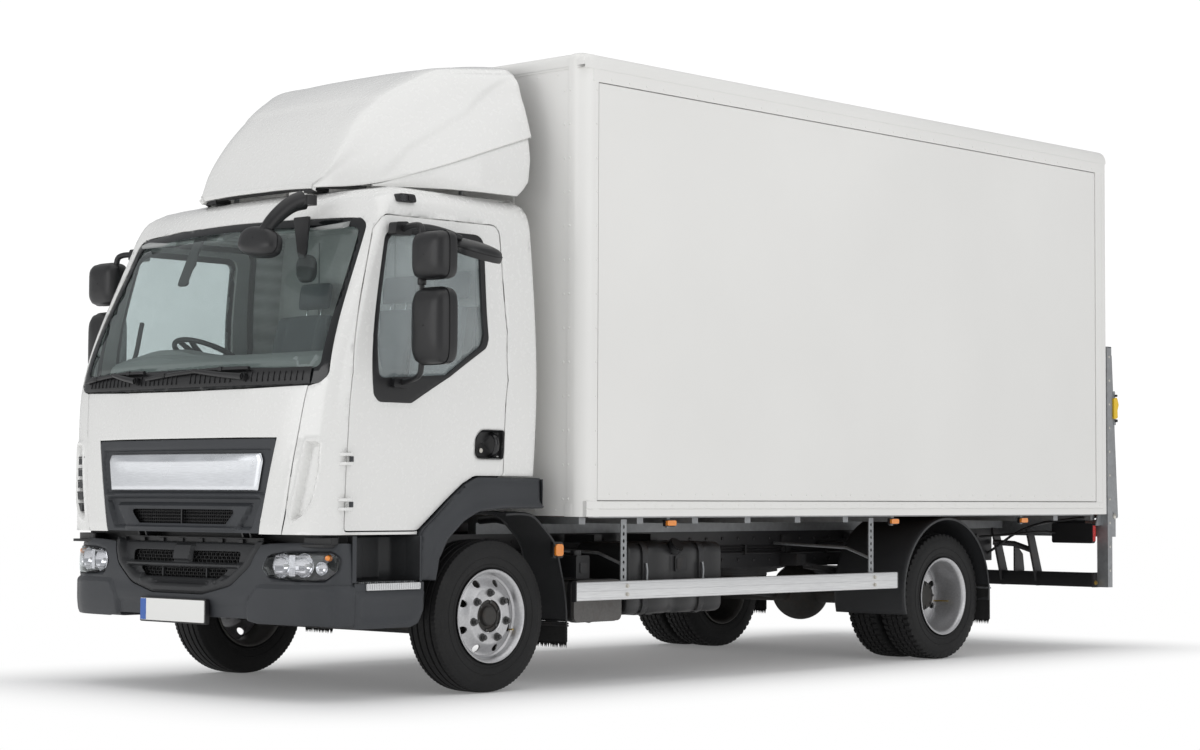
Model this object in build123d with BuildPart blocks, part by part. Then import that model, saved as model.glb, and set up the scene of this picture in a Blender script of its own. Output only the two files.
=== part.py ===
from build123d import *
import math
import os

os.makedirs("parts", exist_ok=True)

# ---------------------------------------------------------------- driving sizes, mm
# +X is the truck's left side, -Y is forward, +Z is up, z = 0 is the ground.
# Lengths along Y below are given from the front axle line and moved by FRONT_AXLE_Y.
FRONT_AXLE_Y = -2317.5
WHEELBASE = 3900.0
TYRE_R = 391.0            # 782 mm outside diameter
TYRE_W = 226.0
RIM_R = 222.0             # bead seat
FLANGE_R = 237.6
FRONT_WHEEL_X = 962.0     # wheel centre plane
KINGPIN_X = 800.0
REAR_OUT_X = 1023.0       # twin wheels
REAR_IN_X = 773.0

BOX_HW = 1250.0           # load body half width
BOX_Y0, BOX_Y1 = 489.0, 5640.0
BOX_Z0, BOX_ZS, BOX_Z1 = 897.0, 3263.0, 3350.0
WALL = 25.0

CAB_REAR = 345.0
CAB_HW = 1065.0
CAB_WALL = 38.0
GAP = 7.5                 # round the doors

TILT_Y, TILT_Z, TILT_R = -1100.0, 870.0, 14.0    # cab tilt axis and its pins
DOOR_HINGE_X, DOOR_HINGE_Y = 1066.0, -950.0
HINGE_Z = (930.0, 1150.0)              # underside of each door hinge
LIFT_Y, LIFT_Z = 5740.0, 885.0         # platform hinge axis

RAIL_X, RAIL_Z0, RAIL_Z1 = 425.0, 575.0, 795.0   # chassis rails, outer web and height
COUPLING_X, COUPLING_Z, COUPLING_R = 120.0, 55.0, 7.5   # drawbar coupling hole pattern


def Y(v):
    return FRONT_AXLE_Y + v


def block(x, y, z, mode=Mode.ADD, rotation=(0, 0, 0)):
    # a box from its low and high sides, y from the front axle
    with Locations(((x[0] + x[1]) / 2, Y((y[0] + y[1]) / 2), (z[0] + z[1]) / 2)):
        Box(abs(x[1] - x[0]), abs(y[1] - y[0]), abs(z[1] - z[0]), rotation=rotation, mode=mode)


def both(x, y, z, mode=Mode.ADD):
    # the same box on the left and on the right
    block((x[0], x[1]), y, z, mode)
    block((-x[1], -x[0]), y, z, mode)


def rod(p, q, r, mode=Mode.ADD):
    # a round bar between two points given from the front axle
    a, b = Vector(p[0], Y(p[1]), p[2]), Vector(q[0], Y(q[1]), q[2])
    with BuildSketch(Plane(origin=a, z_dir=b - a)) as profile:
        Circle(r)
    extrude(profile.sketch, amount=(b - a).length, mode=mode)


def side_plate(points, x0, x1, mode=Mode.ADD, grow=0):
    # an outline in the (y, z) plane drawn out from x0 to x1, made larger all round by grow
    with BuildSketch(Plane.YZ.offset(x0)) as profile:
        Polygon(*[(Y(y), z) for y, z in points], align=None)
        if grow:
            offset(amount=grow, kind=Kind.INTERSECTION)
    extrude(profile.sketch, amount=x1 - x0, mode=mode)


def finish(part, name):
    part.part.label = name
    export_step(part.part, "parts/" + name + ".step")


# ================================================================ chassis
with BuildPart() as chassis_frame:
    for s in (1, -1):
        xs = (RAIL_X - 6, RAIL_X) if s > 0 else (-RAIL_X, -RAIL_X + 6)
        xf = (RAIL_X - 70, RAIL_X) if s > 0 else (-RAIL_X, -RAIL_X + 70)
        block(xs, (-1010, 5486), (RAIL_Z0, RAIL_Z1))
        block(xf, (-1010, 5486), (RAIL_Z0, RAIL_Z0 + 7))
        block(xf, (-1010, 5486), (RAIL_Z1 - 7, RAIL_Z1))
    # cross members: y centre, width, low, high
    for y, w, z0, z1 in ((-980, 60, 600, 770), (1250, 70, 640, 780), (2350, 70, 640, 780),
                         (3150, 80, 600, 770), (4650, 80, 600, 770), (5440, 80, 590, 780)):
        block((-RAIL_X + 6, RAIL_X - 6), (y - w / 2, y + w / 2), (z0, z1))
    # drawbar coupling holes in the rear cross member
    with BuildSketch(Plane.XZ.offset(-Y(5490))):
        with Locations((0, 685)):
            with GridLocations(COUPLING_X, COUPLING_Z, 2, 2):
                Circle(COUPLING_R)
    extrude(amount=100, mode=Mode.SUBTRACT)
    # cab tilt brackets at the front ends of the rails
    for s in (1, -1):
        for x in (395, 455):
            side_plate([(-1118, 853), (-1118, 890), (-1080, 893), (-1040, 812), (-994, 806), (-994, 596), (-1056, 596),
                        (-1066, 780), (-1090, 845)], s * x - 6, s * x + 6)
        block((min(s * 392, s * 458), max(s * 392, s * 458)), (-1050, -1002), (620, 700))
    for s in (1, -1):
        rod((s * 386, TILT_Y, TILT_Z), (s * 464, TILT_Y, TILT_Z), TILT_R)
finish(chassis_frame, "chassis_frame")

with BuildPart() as front_axle:
    block((-560, 560), (-45, 45), (300, 392))
    for s in (1, -1):
        side_plate([(-42, 345), (42, 345), (42, 436), (-42, 436)], s * 700, s * 790) if s > 0 else \
            side_plate([(-42, 345), (42, 345), (42, 436), (-42, 436)], -790, -700)
        with BuildSketch(Plane.XZ.offset(-Y(42))):
            Polygon((s * 555, 300), (s * 555, 392), (s * 705, 436), (s * 705, 345), align=None)
        extrude(amount=84)
        with Locations((s * KINGPIN_X, Y(0), 391)):
            Cylinder(40, 100)
        with Locations((s * KINGPIN_X, Y(0), 391)):
            Cylinder(22, 200, mode=Mode.SUBTRACT)
        block((min(s * 480, s * 560), max(s * 480, s * 560)), (-75, 75), (392, 412))
finish(front_axle, "front_axle")

with BuildPart() as leaf_springs:
    # x, axle y, half length, underside at the axle, leaf count
    for x, y, half, z, n in ((520, 0, 640, 412, 3), (-520, 0, 640, 412, 3),
                             (520, WHEELBASE, 700, 470, 5), (-520, WHEELBASE, 700, 470, 5)):
        for k in range(n):
            h = half * (1 - 0.16 * k)
            zz = z + 16 * (n - 1 - k)
            rise = 60 * (h / half) ** 2
            with BuildSketch(Plane.YZ.offset(x - 35)):
                with BuildLine():
                    ThreePointArc((Y(y - h), zz + rise), (Y(y), zz), (Y(y + h), zz + rise))
                    Line((Y(y + h), zz + rise), (Y(y + h), zz + rise + 15.5))
                    ThreePointArc((Y(y + h), zz + rise + 15.5), (Y(y), zz + 15.5), (Y(y - h), zz + rise + 15.5))
                    Line((Y(y - h), zz + rise + 15.5), (Y(y - h), zz + rise))
                make_face()
            extrude(amount=70)
        top = z + 16 * n
        block((x - 45, x + 45), (y - 70, y + 70), (top - 1, top + 20))
        # hangers that carry the spring's ends on the rail's web
        xa, xb = (RAIL_X, x + 40) if x > 0 else (x - 40, -RAIL_X)
        for e in (-1, 1):
            zt = z + 16 * (n - 1) + 60
            block((xa, xb), (y + e * half - 45, y + e * half + 45), (zt - 12, zt + 60))
            block((xa, xa + 14) if x > 0 else (xb - 14, xb), (y + e * half - 45, y + e * half + 45), (zt, 770))
finish(leaf_springs, "leaf_springs")

with BuildPart() as rear_axle:
    ry = WHEELBASE
    rod((-640, ry, 391), (640, ry, 391), 70)
    with Locations((0, Y(ry), 391)):
        Sphere(185)
    rod((0, ry - 300, 400), (0, ry, 391), 60)
    for s in (1, -1):
        block((min(s * 480, s * 560), max(s * 480, s * 560)), (ry - 70, ry + 70), (440, 470))
        rod((s * 600, ry, 391), (s * 980, ry, 391), 45)
finish(rear_axle, "rear_axle")

with BuildPart() as engine:
    # one plain block: engine with its sump and cooling pack
    block((-300, 300), (-200, 450), (560, 1000))
    block((-300, 300), (449, 620), (560, 780))
    block((-210, 210), (-160, 350), (440, 562))
    block((-330, 330), (-560, -470), (500, 860))
    block((-150, 150), (-472, -198), (640, 800))
finish(engine, "engine")

with BuildPart() as driveline:
    # gearbox behind the engine and the shaft to the rear axle
    with BuildSketch(Plane.XZ.offset(-Y(620))):
        with Locations((0, 600)):
            Circle(230)
    with BuildSketch(Plane.XZ.offset(-Y(1120))):
        with Locations((0, 580)):
            Circle(120)
    loft()
    rod((0, 1118, 580), (0, 2300, 545), 45)
    rod((0, 2299, 545), (0, WHEELBASE - 312, 403), 45)
    block((-120, 120), (2260, 2310), (490, 620))
finish(driveline, "driveline")

with BuildPart() as fuel_tank:
    block((640, 1062), (1058, 1861), (352, 762))
    fillet(fuel_tank.edges().filter_by(Axis.Y), 70)
    fillet(fuel_tank.faces().sort_by(Axis.Y)[0].edges(), 12)
    fillet(fuel_tank.faces().sort_by(Axis.Y)[-1].edges(), 12)
    for y in (1199, 1670):
        block((RAIL_X, 680), (y - 35, y + 35), (600, 700))
finish(fuel_tank, "fuel_tank")

with BuildPart() as battery_box:
    block((-1060, -560), (900, 1560), (380, 760))
    fillet(battery_box.edges().filter_by(Axis.Y), 24)
    for y in (1000, 1460):
        block((-600, -RAIL_X), (y - 35, y + 35), (600, 700))
finish(battery_box, "battery_box")

with BuildPart() as silencer:
    block((600, 1040), (650, 1035), (330, 560))
    fillet(silencer.edges().filter_by(Axis.X), 60)
    block((RAIL_X, 660), (710, 760), (552, 660))
    block((RAIL_X, 660), (900, 950), (552, 660))
finish(silencer, "silencer")

with BuildPart() as step_boxes:
    for s in (1, -1):
        def sx(a, b):
            return (min(s * a, s * b), max(s * a, s * b))
        # step box: outer panel, tread and the well's back wall
        with BuildSketch(Plane.YZ.offset(s * 850 if s > 0 else -1095)):
            Polygon((Y(-918), 352), (Y(-560), 352), (Y(-508), 372), (Y(-474), 437), (Y(-468), 577), (Y(-918), 577), align=None)
        extrude(amount=245)
        block(sx(862, 1083), (-906, -490), (364, 565), Mode.SUBTRACT)
        block(sx(850, 862), (-918, -510), (577, 800))
        block(sx(RAIL_X, 862), (-760, -700), (600, 660))
finish(step_boxes, "step_boxes")

with BuildPart() as mudguards:
    # front wheel: rear half of the guard; outline in (y, z)
    front_guard = [(112, 925), (306, 925), (340, 905), (484, 781), (530, 657), (588, 409), (588, 343),
                   (566, 343), (564, 409), (507, 650), (464, 768), (326, 888), (300, 908), (112, 908)]
    for s in (1, -1):
        a, b = (800, 1062) if s > 0 else (-1062, -800)
        side_plate(front_guard, a, b)
        fa, fb = (820, 1040) if s > 0 else (-1040, -820)
        block((fa, fb), (568, 576), (205, 345))
        block((min(s * RAIL_X, s * 810), max(s * RAIL_X, s * 810)), (520, 550), (640, 690))
    # rear twin wheels: full arch over both tyres
    for s in (1, -1):
        a, b = (640, 1180) if s > 0 else (-1180, -640)
        cy, cz, ro = WHEELBASE - 15, 420, 470
        with BuildSketch(Plane.YZ.offset(a)):
            with Locations((Y(cy), cz)):
                Circle(ro)
                Circle(ro - 8, mode=Mode.SUBTRACT)
            with Locations((Y(cy), cz - 500)):
                Rectangle(1200, 1000, mode=Mode.SUBTRACT)
        extrude(amount=b - a)
        block((a, b), (cy + ro - 8, cy + ro), (219, 421))
        block((a, b), (cy - ro, cy - ro + 8), (380, 421))
        for y in (WHEELBASE - 300, WHEELBASE + 300):
            block((min(s * RAIL_X, s * 660), max(s * RAIL_X, s * 660)), (y - 15, y + 15), (745, 775))
finish(mudguards, "mudguards")

with BuildPart() as side_guards:
    for s in (1, -1):
        a, b = (1185, 1212) if s > 0 else (-1212, -1185)
        block((a, b), (620, 3318), (456, 556))
        # front end turned in
        block((1100, 1212) if s > 0 else (-1212, -1100), (480, 622), (456, 556))
        block((1090, 1185) if s > 0 else (-1185, -1090), (478, 593), (455, 557), Mode.SUBTRACT)
        for y in (880, 3080):
            block((a, b), (y - 25, y + 25), (550, 872))
            block((min(s * RAIL_X, s * 1212), max(s * RAIL_X, s * 1212)), (y - 25, y + 25), (835, 872))
            block((min(s * RAIL_X, s * 460), max(s * RAIL_X, s * 460)), (y - 25, y + 25), (700, 872))
finish(side_guards, "side_guards")

with BuildPart() as underrun_frame:
    # beam across the rear, two arms up to the rails and the lift's columns
    block((-1165, 1165), (5600, 5680), (405, 505))
    for s in (1, -1):
        def sx(a, b):
            return (min(s * a, s * b), max(s * a, s * b))
        side_plate([(5480, 560), (5480, 790), (5200, 790), (5200, 640), (5420, 420), (5610, 420), (5610, 500)],
                   *sx(426, 442))
        # column: a channel open to the rear
        block(sx(1165, 1250), (5644, 5700), (405, 2028))
        block(sx(1177, 1238), (5656, 5702), (404, 2029), Mode.SUBTRACT)
        block(sx(1165, 1250), (5640, 5646), (900, 2000))
finish(underrun_frame, "underrun_frame")

with BuildPart() as rear_lamps:
    for s in (1, -1):
        a, b = (870, 1192) if s > 0 else (-1192, -870)
        block((a, b), (5545, 5600), (700, 838))
    fillet(rear_lamps.edges().filter_by(Axis.Y), 26)
    for s in (1, -1):
        a, b = (975, 1040) if s > 0 else (-1040, -975)
        block((a, b), (5550, 5562), (836, 857))
        a, b = (880, 1150) if s > 0 else (-1150, -880)
        block((a, b), (5560, 5568), (562, 690))
        a, b = (950, 1060) if s > 0 else (-1060, -950)
        block((a, b), (5560, 5568), (688, 702))
finish(rear_lamps, "rear_lamps")

# ---------------------------------------------------------------- front bumper
def bumper_face(off, z0, z1, half, ycorner, mode=Mode.ADD):
    # plan outline of the bumper: a flat curve across the front, round corners, short returns
    w = 1075 - off
    with BuildSketch(Plane.XY.offset(z0)) as outline:
        with BuildLine():
            ThreePointArc((-half, Y(-1128 + off)), (0, Y(-1180 + off)), (half, Y(-1128 + off)))
            ThreePointArc((half, Y(-1128 + off)), (half + 0.76 * (w - half), Y(-1128 + off + 0.30 * (ycorner + 1128 - off))),
                          (w, Y(ycorner)))
            Line((w, Y(ycorner)), (w, Y(-930)))
            Line((w, Y(-930)), (-w, Y(-930)))
            Line((-w, Y(-930)), (-w, Y(ycorner)))
            ThreePointArc((-w, Y(ycorner)), (-half - 0.76 * (w - half), Y(-1128 + off + 0.30 * (ycorner + 1128 - off))),
                          (-half, Y(-1128 + off)))
        make_face()
    extrude(outline.sketch, amount=z1 - z0, mode=mode)


with BuildPart() as front_bumper:
    bumper_face(0, 372, 772, 840, -990)
    bumper_face(60, 370, 774, 800, -960, Mode.SUBTRACT)
    block((-1100, 1100), (-931, -900), (300, 900), Mode.SUBTRACT)
    # raised shoulders over the lamps
    for s in (1, -1):
        block((min(s * 850, s * 1030), max(s * 850, s * 1030)), (-1060, -1000), (770, 800))
    # openings for the two head lamps and the lower grille
    for s in (1, -1):
        block((min(s * 660, s * 1040), max(s * 660, s * 1040)), (-1200, -940), (592, 728), Mode.SUBTRACT)
    with BuildSketch(Plane.XZ.offset(-Y(-1060))):
        Polygon((-586, 773), (-530, 654), (-402, 559), (-200, 511), (200, 511), (402, 559), (530, 654), (586, 773), align=None)
    extrude(amount=200, mode=Mode.SUBTRACT)
    # brackets to the rails
    for s in (1, -1):
        block((min(s * 380, s * 420), max(s * 380, s * 420)), (-1122, -940), (420, 500))
        block((min(s * 380, s * 420), max(s * 380, s * 420)), (-1000, -940), (420, 575))
finish(front_bumper, "front_bumper")

with BuildPart() as lower_grille:
    with BuildSketch(Plane.XZ.offset(-Y(-1110))):
        Polygon((-583, 770), (-527, 656), (-400, 562), (-199, 514), (199, 514), (400, 562), (527, 656), (583, 770), align=None)
    extrude(amount=50)
    for z0, z1, half in ((668, 736, 430), (588, 640, 320)):
        block((-half, half), (-1170, -1128), (z0, z1), Mode.SUBTRACT)
finish(lower_grille, "lower_grille")

with BuildPart() as head_lamps:
    for s in (1, -1):
        a, b = (661, 1039) if s > 0 else (-1039, -661)
        with BuildSketch(Plane.XY.offset(594)):
            with BuildLine():
                Polyline((s * 661, Y(-1142)), (s * 840, Y(-1124)), (s * 960, Y(-1085)), (s * 1039, Y(-1010)),
                         (s * 1039, Y(-960)), (s * 661, Y(-1030)), close=True)
            make_face()
        extrude(amount=132)
    fillet(head_lamps.edges().filter_by(Axis.Z), 10)
finish(head_lamps, "head_lamps")

# ================================================================ load body
with BuildPart() as body_subframe:
    for s in (1, -1):
        block((min(s * 360, s * 424), max(s * 360, s * 424)), (520, 5620), (RAIL_Z1, 856.9))
    for k in range(12):
        y = 560 + k * 455
        # shorter over the rear wheels' mudguards
        half = 630 if 3380 < y < 4400 else 1180
        block((-half, half), (y - 25, y + 25), (857, BOX_Z0))
finish(body_subframe, "body_subframe")

with BuildPart() as box_floor:
    block((-1222, 1222), (BOX_Y0 + 28, 5559), (BOX_Z0, 985))
finish(box_floor, "box_floor")

for s, side in ((1, "left"), (-1, "right")):
    with BuildPart() as box_wall:
        a, b = (BOX_HW - WALL, BOX_HW) if s > 0 else (-BOX_HW, -BOX_HW + WALL)
        block((a, b), (601, 5506), (976, BOX_ZS))
        a, b = (1222, BOX_HW + 3) if s > 0 else (-BOX_HW - 3, -1222)
        block((a, b), (601, 5506), (BOX_Z0, 977))
    finish(box_wall, "box_" + side + "_wall")

with BuildPart() as box_front_wall:
    block((-1138, 1138), (BOX_Y0 + 3, BOX_Y0 + WALL), (BOX_Z0, BOX_ZS))
    # corner posts
    for s in (1, -1):
        px = (s * 1138, s * BOX_HW)
        with BuildSketch(Plane.XY.offset(BOX_Z0)):
            Polygon((s * 1138, Y(489)), (s * 1250, Y(489)), (s * 1250, Y(601)), (s * 1222, Y(601)), (s * 1222, Y(517)),
                    (s * 1138, Y(517)), align=None)
        extrude(amount=BOX_ZS - BOX_Z0)
    fillet(box_front_wall.edges().filter_by(Axis.Z).filter_by(lambda e: abs(abs(e.center().X) - 1250) < 1 and abs(e.center().Y - Y(489)) < 1), 26)
finish(box_front_wall, "box_front_wall")

with BuildPart() as box_roof:
    block((-BOX_HW, BOX_HW), (BOX_Y0, BOX_Y1), (BOX_ZS, BOX_Z1))
    fillet(box_roof.edges().group_by(Axis.Z)[-1], 62)
    fillet(box_roof.edges().filter_by(Axis.Z), 26)
    block((-1222, 1222), (BOX_Y0 + 28, BOX_Y1 - 28), (BOX_ZS - 1, 3322), Mode.SUBTRACT)
finish(box_roof, "box_roof")

with BuildPart() as box_rear_frame:
    block((-BOX_HW, BOX_HW), (5506, BOX_Y1), (BOX_Z0, BOX_ZS))
    block((-1120, 1120), (5500, BOX_Y1 + 5), (985, 3080), Mode.SUBTRACT)
    block((-1222, 1222), (5500, 5559), (BOX_Z0 - 1, 986), Mode.SUBTRACT)
    block((-1222, 1222), (5500, 5560), (985, 3230), Mode.SUBTRACT)
finish(box_rear_frame, "box_rear_frame")

with BuildPart() as roller_shutter:
    block((-1120, 1120), (5585, 5605), (985, 3080))
    for k in range(19):
        z = 1030 + k * 105
        block((-1116, 1116), (5602, 5610), (z, z + 90))
    block((-90, 90), (5604, 5622), (1040, 1080))
finish(roller_shutter, "roller_shutter")

# ================================================================ tail lift
with BuildPart() as lift_carriage:
    for s in (1, -1):
        def sx(a, b):
            return (min(s * a, s * b), max(s * a, s * b))
        # slider inside the channel, and the back plate that hangs from it outside
        block(sx(1182.5, 1232.5), (5661, 5707), (1160, 1420))
        block(sx(1182.5, 1242), (5705.5, 5715), (745, 1420))
        # hinge lug beside the platform, with its pin
        block(sx(1230, 1242), (5705.5, 5757), (745, 902))
        rod((s * 1190, LIFT_Y, LIFT_Z), (s * 1238, LIFT_Y, LIFT_Z), 12)
    block((-1200, 1200), (5705.5, 5715), (745, 860))
finish(lift_carriage, "lift_carriage")

with BuildPart() as lift_platform:
    side_plate([(5725, 879), (5734, 869), (5806, 869), (5815, 880), (5815, 905), (5746, 1972), (5725, 1972)], -1225, 1225)
    for s in (1, -1):
        with BuildSketch(Plane.YZ.offset(s * 1185)) as bore:
            with Locations((Y(LIFT_Y), LIFT_Z)):
                Circle(12.05)
        extrude(bore.sketch, amount=s * 45, mode=Mode.SUBTRACT)
finish(lift_platform, "lift_platform")

# ================================================================ wheels
AXLE_F = Axis((0, Y(0), TYRE_R), (1, 0, 0))


def tyre(cx):
    # half section of the tyre about the axle line, centre plane at cx
    h = TYRE_W / 2
    with BuildSketch(Plane.XY.offset(TYRE_R)) as section:
        with BuildLine():
            Polyline((cx - 98, Y(0) + 240), (cx - 86.5, Y(0) + 239), (cx - 86.5, Y(0) + RIM_R + 0.5),
                     (cx + 86.5, Y(0) + RIM_R + 0.5), (cx + 86.5, Y(0) + 239), (cx + 98, Y(0) + 240))
            ThreePointArc((cx + 98, Y(0) + 240), (cx + h, Y(0) + 312), (cx + 98, Y(0) + 378))
            ThreePointArc((cx + 98, Y(0) + 378), (cx, Y(0) + TYRE_R), (cx - 98, Y(0) + 378))
            ThreePointArc((cx - 98, Y(0) + 378), (cx - h, Y(0) + 312), (cx - 98, Y(0) + 240))
        make_face()
    revolve(section.sketch, axis=AXLE_F)


def rim_section(cx, disc, lip):
    # barrel with two flanges, y is the radius; disc is the face of the wheel disc, lip its direction
    y0 = Y(0)
    Polygon((cx - 98, y0 + FLANGE_R), (cx - 90, y0 + FLANGE_R), (cx - 88, y0 + RIM_R), (cx + 88, y0 + RIM_R),
            (cx + 90, y0 + FLANGE_R), (cx + 98, y0 + FLANGE_R), (cx + 98, y0 + 212), (cx - 98, y0 + 212), align=None)


for s, side in ((1, "left"), (-1, "right")):
    with BuildPart() as front_tyre:
        tyre(s * FRONT_WHEEL_X)
    finish(front_tyre, "front_" + side + "_tyre")

    with BuildPart() as front_rim:
        cx = FRONT_WHEEL_X
        y0 = Y(0)
        with BuildSketch(Plane.XY.offset(TYRE_R)):
            rim_section(s * cx, 0, 0)
            # disc: from the barrel out to the nut face and in to the hub
            Polygon((s * (cx + 20), y0 + 214), (s * (cx + 60), y0 + 206), (s * (cx + 96), y0 + 150), (s * (cx + 100), y0 + 142),
                    (s * (cx + 100), y0 + 86), (s * (cx + 70), y0 + 84), (s * (cx + 70), y0 + 34), (s * (cx - 60), y0 + 34),
                    (s * (cx - 60), y0 + 100), (s * (cx + 86), y0 + 100), (s * (cx + 86), y0 + 138), (s * (cx + 50), y0 + 194),
                    (s * (cx + 14), y0 + 204), (s * (cx + 8), y0 + 214), align=None)
            # brake drum
            Polygon((s * (cx - 60), y0 + 90), (s * (cx - 60), y0 + 180), (s * (cx - 20), y0 + 180), (s * (cx - 20), y0 + 90), align=None)
        revolve(axis=AXLE_F)
        # hub bore that runs on the stub axle
        with BuildSketch(Plane.YZ.offset(s * (cx - 61))):
            with Locations((y0, TYRE_R)):
                Circle(30.05)
        extrude(amount=s * 161, mode=Mode.SUBTRACT)
        # vent holes in the disc
        with BuildSketch(Plane.YZ.offset(s * (cx + 20))):
            with Locations((y0, TYRE_R)):
                with PolarLocations(177, 8):
                    Circle(20)
        extrude(amount=s * 80, mode=Mode.SUBTRACT)
    finish(front_rim, "front_" + side + "_rim")

    with BuildPart() as rear_tyres:
        for cx in (REAR_OUT_X, REAR_IN_X):
            tyre(s * cx)
    moved = rear_tyres.part.moved(Location((0, WHEELBASE, 0)))
    with BuildPart() as rear_tyres_placed:
        add(moved)
    finish(rear_tyres_placed, "rear_" + side + "_tyres")

    with BuildPart() as rear_rims:
        y0 = Y(0)
        mid = (REAR_OUT_X + REAR_IN_X) / 2
        with BuildSketch(Plane.XY.offset(TYRE_R)):
            for cx, e in ((REAR_OUT_X, 1), (REAR_IN_X, -1)):
                rim_section(s * cx, 0, 0)
                # disc dished to the middle plane between the twins
                Polygon((s * (cx - e * 20), y0 + 214), (s * (cx - e * 60), y0 + 206), (s * (mid + e * 14), y0 + 150), (s * mid, y0 + 150),
                        (s * mid, y0 + 100), (s * (mid + e * 14), y0 + 100), (s * (mid + e * 14), y0 + 132), (s * (cx - e * 50), y0 + 190),
                        (s * (cx - e * 14), y0 + 202), (s * (cx - e * 8), y0 + 214), align=None)
            # hub barrel
            Polygon((s * 700, y0 + 46), (s * 700, y0 + 102), (s * 960, y0 + 102), (s * 960, y0 + 84), (s * 1000, y0 + 78), (s * 1000, y0 + 46), align=None)
            # drum
            Polygon((s * 690, y0 + 46), (s * 690, y0 + 186), (s * 860, y0 + 186), (s * 860, y0 + 172), (s * 720, y0 + 172), (s * 720, y0 + 46), align=None)
        revolve(axis=AXLE_F)
        with BuildSketch(Plane.YZ.offset(s * 680)):
            with Locations((y0, TYRE_R)):
                Circle(45.05)
        extrude(amount=s * 305, mode=Mode.SUBTRACT)
    moved = rear_rims.part.moved(Location((0, WHEELBASE, 0)))
    with BuildPart() as rear_rims_placed:
        add(moved)
    finish(rear_rims_placed, "rear_" + side + "_rims")

    # ------------------------------------------------------------ steering knuckle
    with BuildPart() as knuckle:
        def sx(a, b):
            return (min(s * a, s * b), max(s * a, s * b))
        # fork over and under the axle's eye
        block(sx(762, 868), (-38, 38), (446, 478))
        block(sx(762, 868), (-38, 38), (304, 336))
        block(sx(848, 888), (-60, 60), (304, 478))
        # kingpin
        with Locations((s * KINGPIN_X, Y(0), 391)):
            Cylinder(21.95, 174)
        # stub axle
        with BuildSketch(Plane.YZ.offset(s * 887)):
            with Locations((Y(0), TYRE_R)):
                Circle(30)
        extrude(amount=s * 130)
        # steering arm to the rear
        block(sx(782, 818), (30, 178), (304, 322))
        block(sx(782, 818), (30, 60), (304, 336))
        with Locations((s * KINGPIN_X, Y(160), 313)):
            Cylinder(24, 18)
            Cylinder(10.05, 20, mode=Mode.SUBTRACT)
    finish(knuckle, "knuckle_" + side)

with BuildPart() as tie_rod:
    rod((-768, 160, 280), (768, 160, 280), 15)
    for s in (1, -1):
        with Locations((s * KINGPIN_X, Y(160), 281)):
            Cylinder(26, 36)
        with Locations((s * KINGPIN_X, Y(160), 308)):
            Cylinder(10, 24)
        rod((s * 740, 160, 280), (s * 786, 160, 280), 18)
finish(tie_rod, "tie_rod")

# ================================================================ cab
# Horizontal sections of the outside: z, half width, side front end y, corner x, corner y, centre front y
CAB_SECTIONS = [
    (812, 1035, -985, 779, -1148, -1170),
    (1100, 1043, -975, 838, -1130, -1174),
    (1280, 1055, -965, 860, -1115, -1174),
    (1550, 1065, -950, 900, -1082, -1148),
    (2385, 1010, -690, 905, -735, -850),
    (2475, 985, -640, 860, -700, -795),
    (2535, 930, -560, 780, -620, -690),
    (2568, 850, -470, 680, -520, -570),
]


def cab_solid(inset, z_low, z_high, mode=Mode.ADD):
    rows = [r for r in CAB_SECTIONS]

    def at(z):
        for a, b in zip(rows, rows[1:]):
            if z <= b[0] or b is rows[-1]:
                t = (z - a[0]) / (b[0] - a[0])
                return tuple(p + t * (q - p) for p, q in zip(a, b))
    zs = [z_low] + [r[0] for r in rows if z_low + 5 < r[0] < z_high - 5] + [z_high]
    sections = []
    for z in zs:
        _, w, ys, xc, yk, yc = at(z)
        w, xc, ys, yk, yc = w - inset, xc - 0.6 * inset, ys + 0.4 * inset, yk + 0.9 * inset, yc + inset
        rear = CAB_REAR - inset
        with BuildSketch(Plane.XY.offset(z)) as section:
            with BuildLine():
                Line((-w, Y(rear)), (w, Y(rear)))
                Line((w, Y(rear)), (w, Y(ys)))
                ThreePointArc((w, Y(ys)), (xc + 0.74 * (w - xc), Y(ys + 0.70 * (yk - ys))), (xc, Y(yk)))
                ThreePointArc((xc, Y(yk)), (0, Y(yc)), (-xc, Y(yk)))
                ThreePointArc((-xc, Y(yk)), (-xc - 0.74 * (w - xc), Y(ys + 0.70 * (yk - ys))), (-w, Y(ys)))
                Line((-w, Y(ys)), (-w, Y(rear)))
            make_face()
        sections.append(section.sketch)
    loft(sections, ruled=True, mode=mode)


DOOR_OUTLINE = [(-964, 832), (-487, 832), (-399, 898), (-295, 984), (-182, 1067), (-110, 1100), (-74, 1107), (102, 1107),
                (117, 1600), (117, 1852), (98, 2350), (82, 2388), (50, 2402), (-690, 2396), (-712, 2384), (-752, 2330),
                (-948, 1568), (-960, 1200)]
WINDOW_OUTLINE = [(-776, 1462), (-556, 1462), (-290, 1605), (-60, 1760), (-20, 1800), (-14, 2290), (-40, 2350),
                  (-610, 2345), (-665, 2325), (-700, 2290), (-812, 1790), (-812, 1500)]


WINDSCREEN_FRONT = [(-960, 1548), (0, 1535), (960, 1548), (1000, 1575), (925, 2365), (905, 2385), (0, 2402),
                    (-905, 2385), (-925, 2365), (-1000, 1575)]
ARCH_UNDER = [(-487, 700), (-487, 812), (-399, 898), (-295, 984), (-182, 1067), (-110, 1100), (-74, 1107), (500, 1107), (500, 700)]

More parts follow.
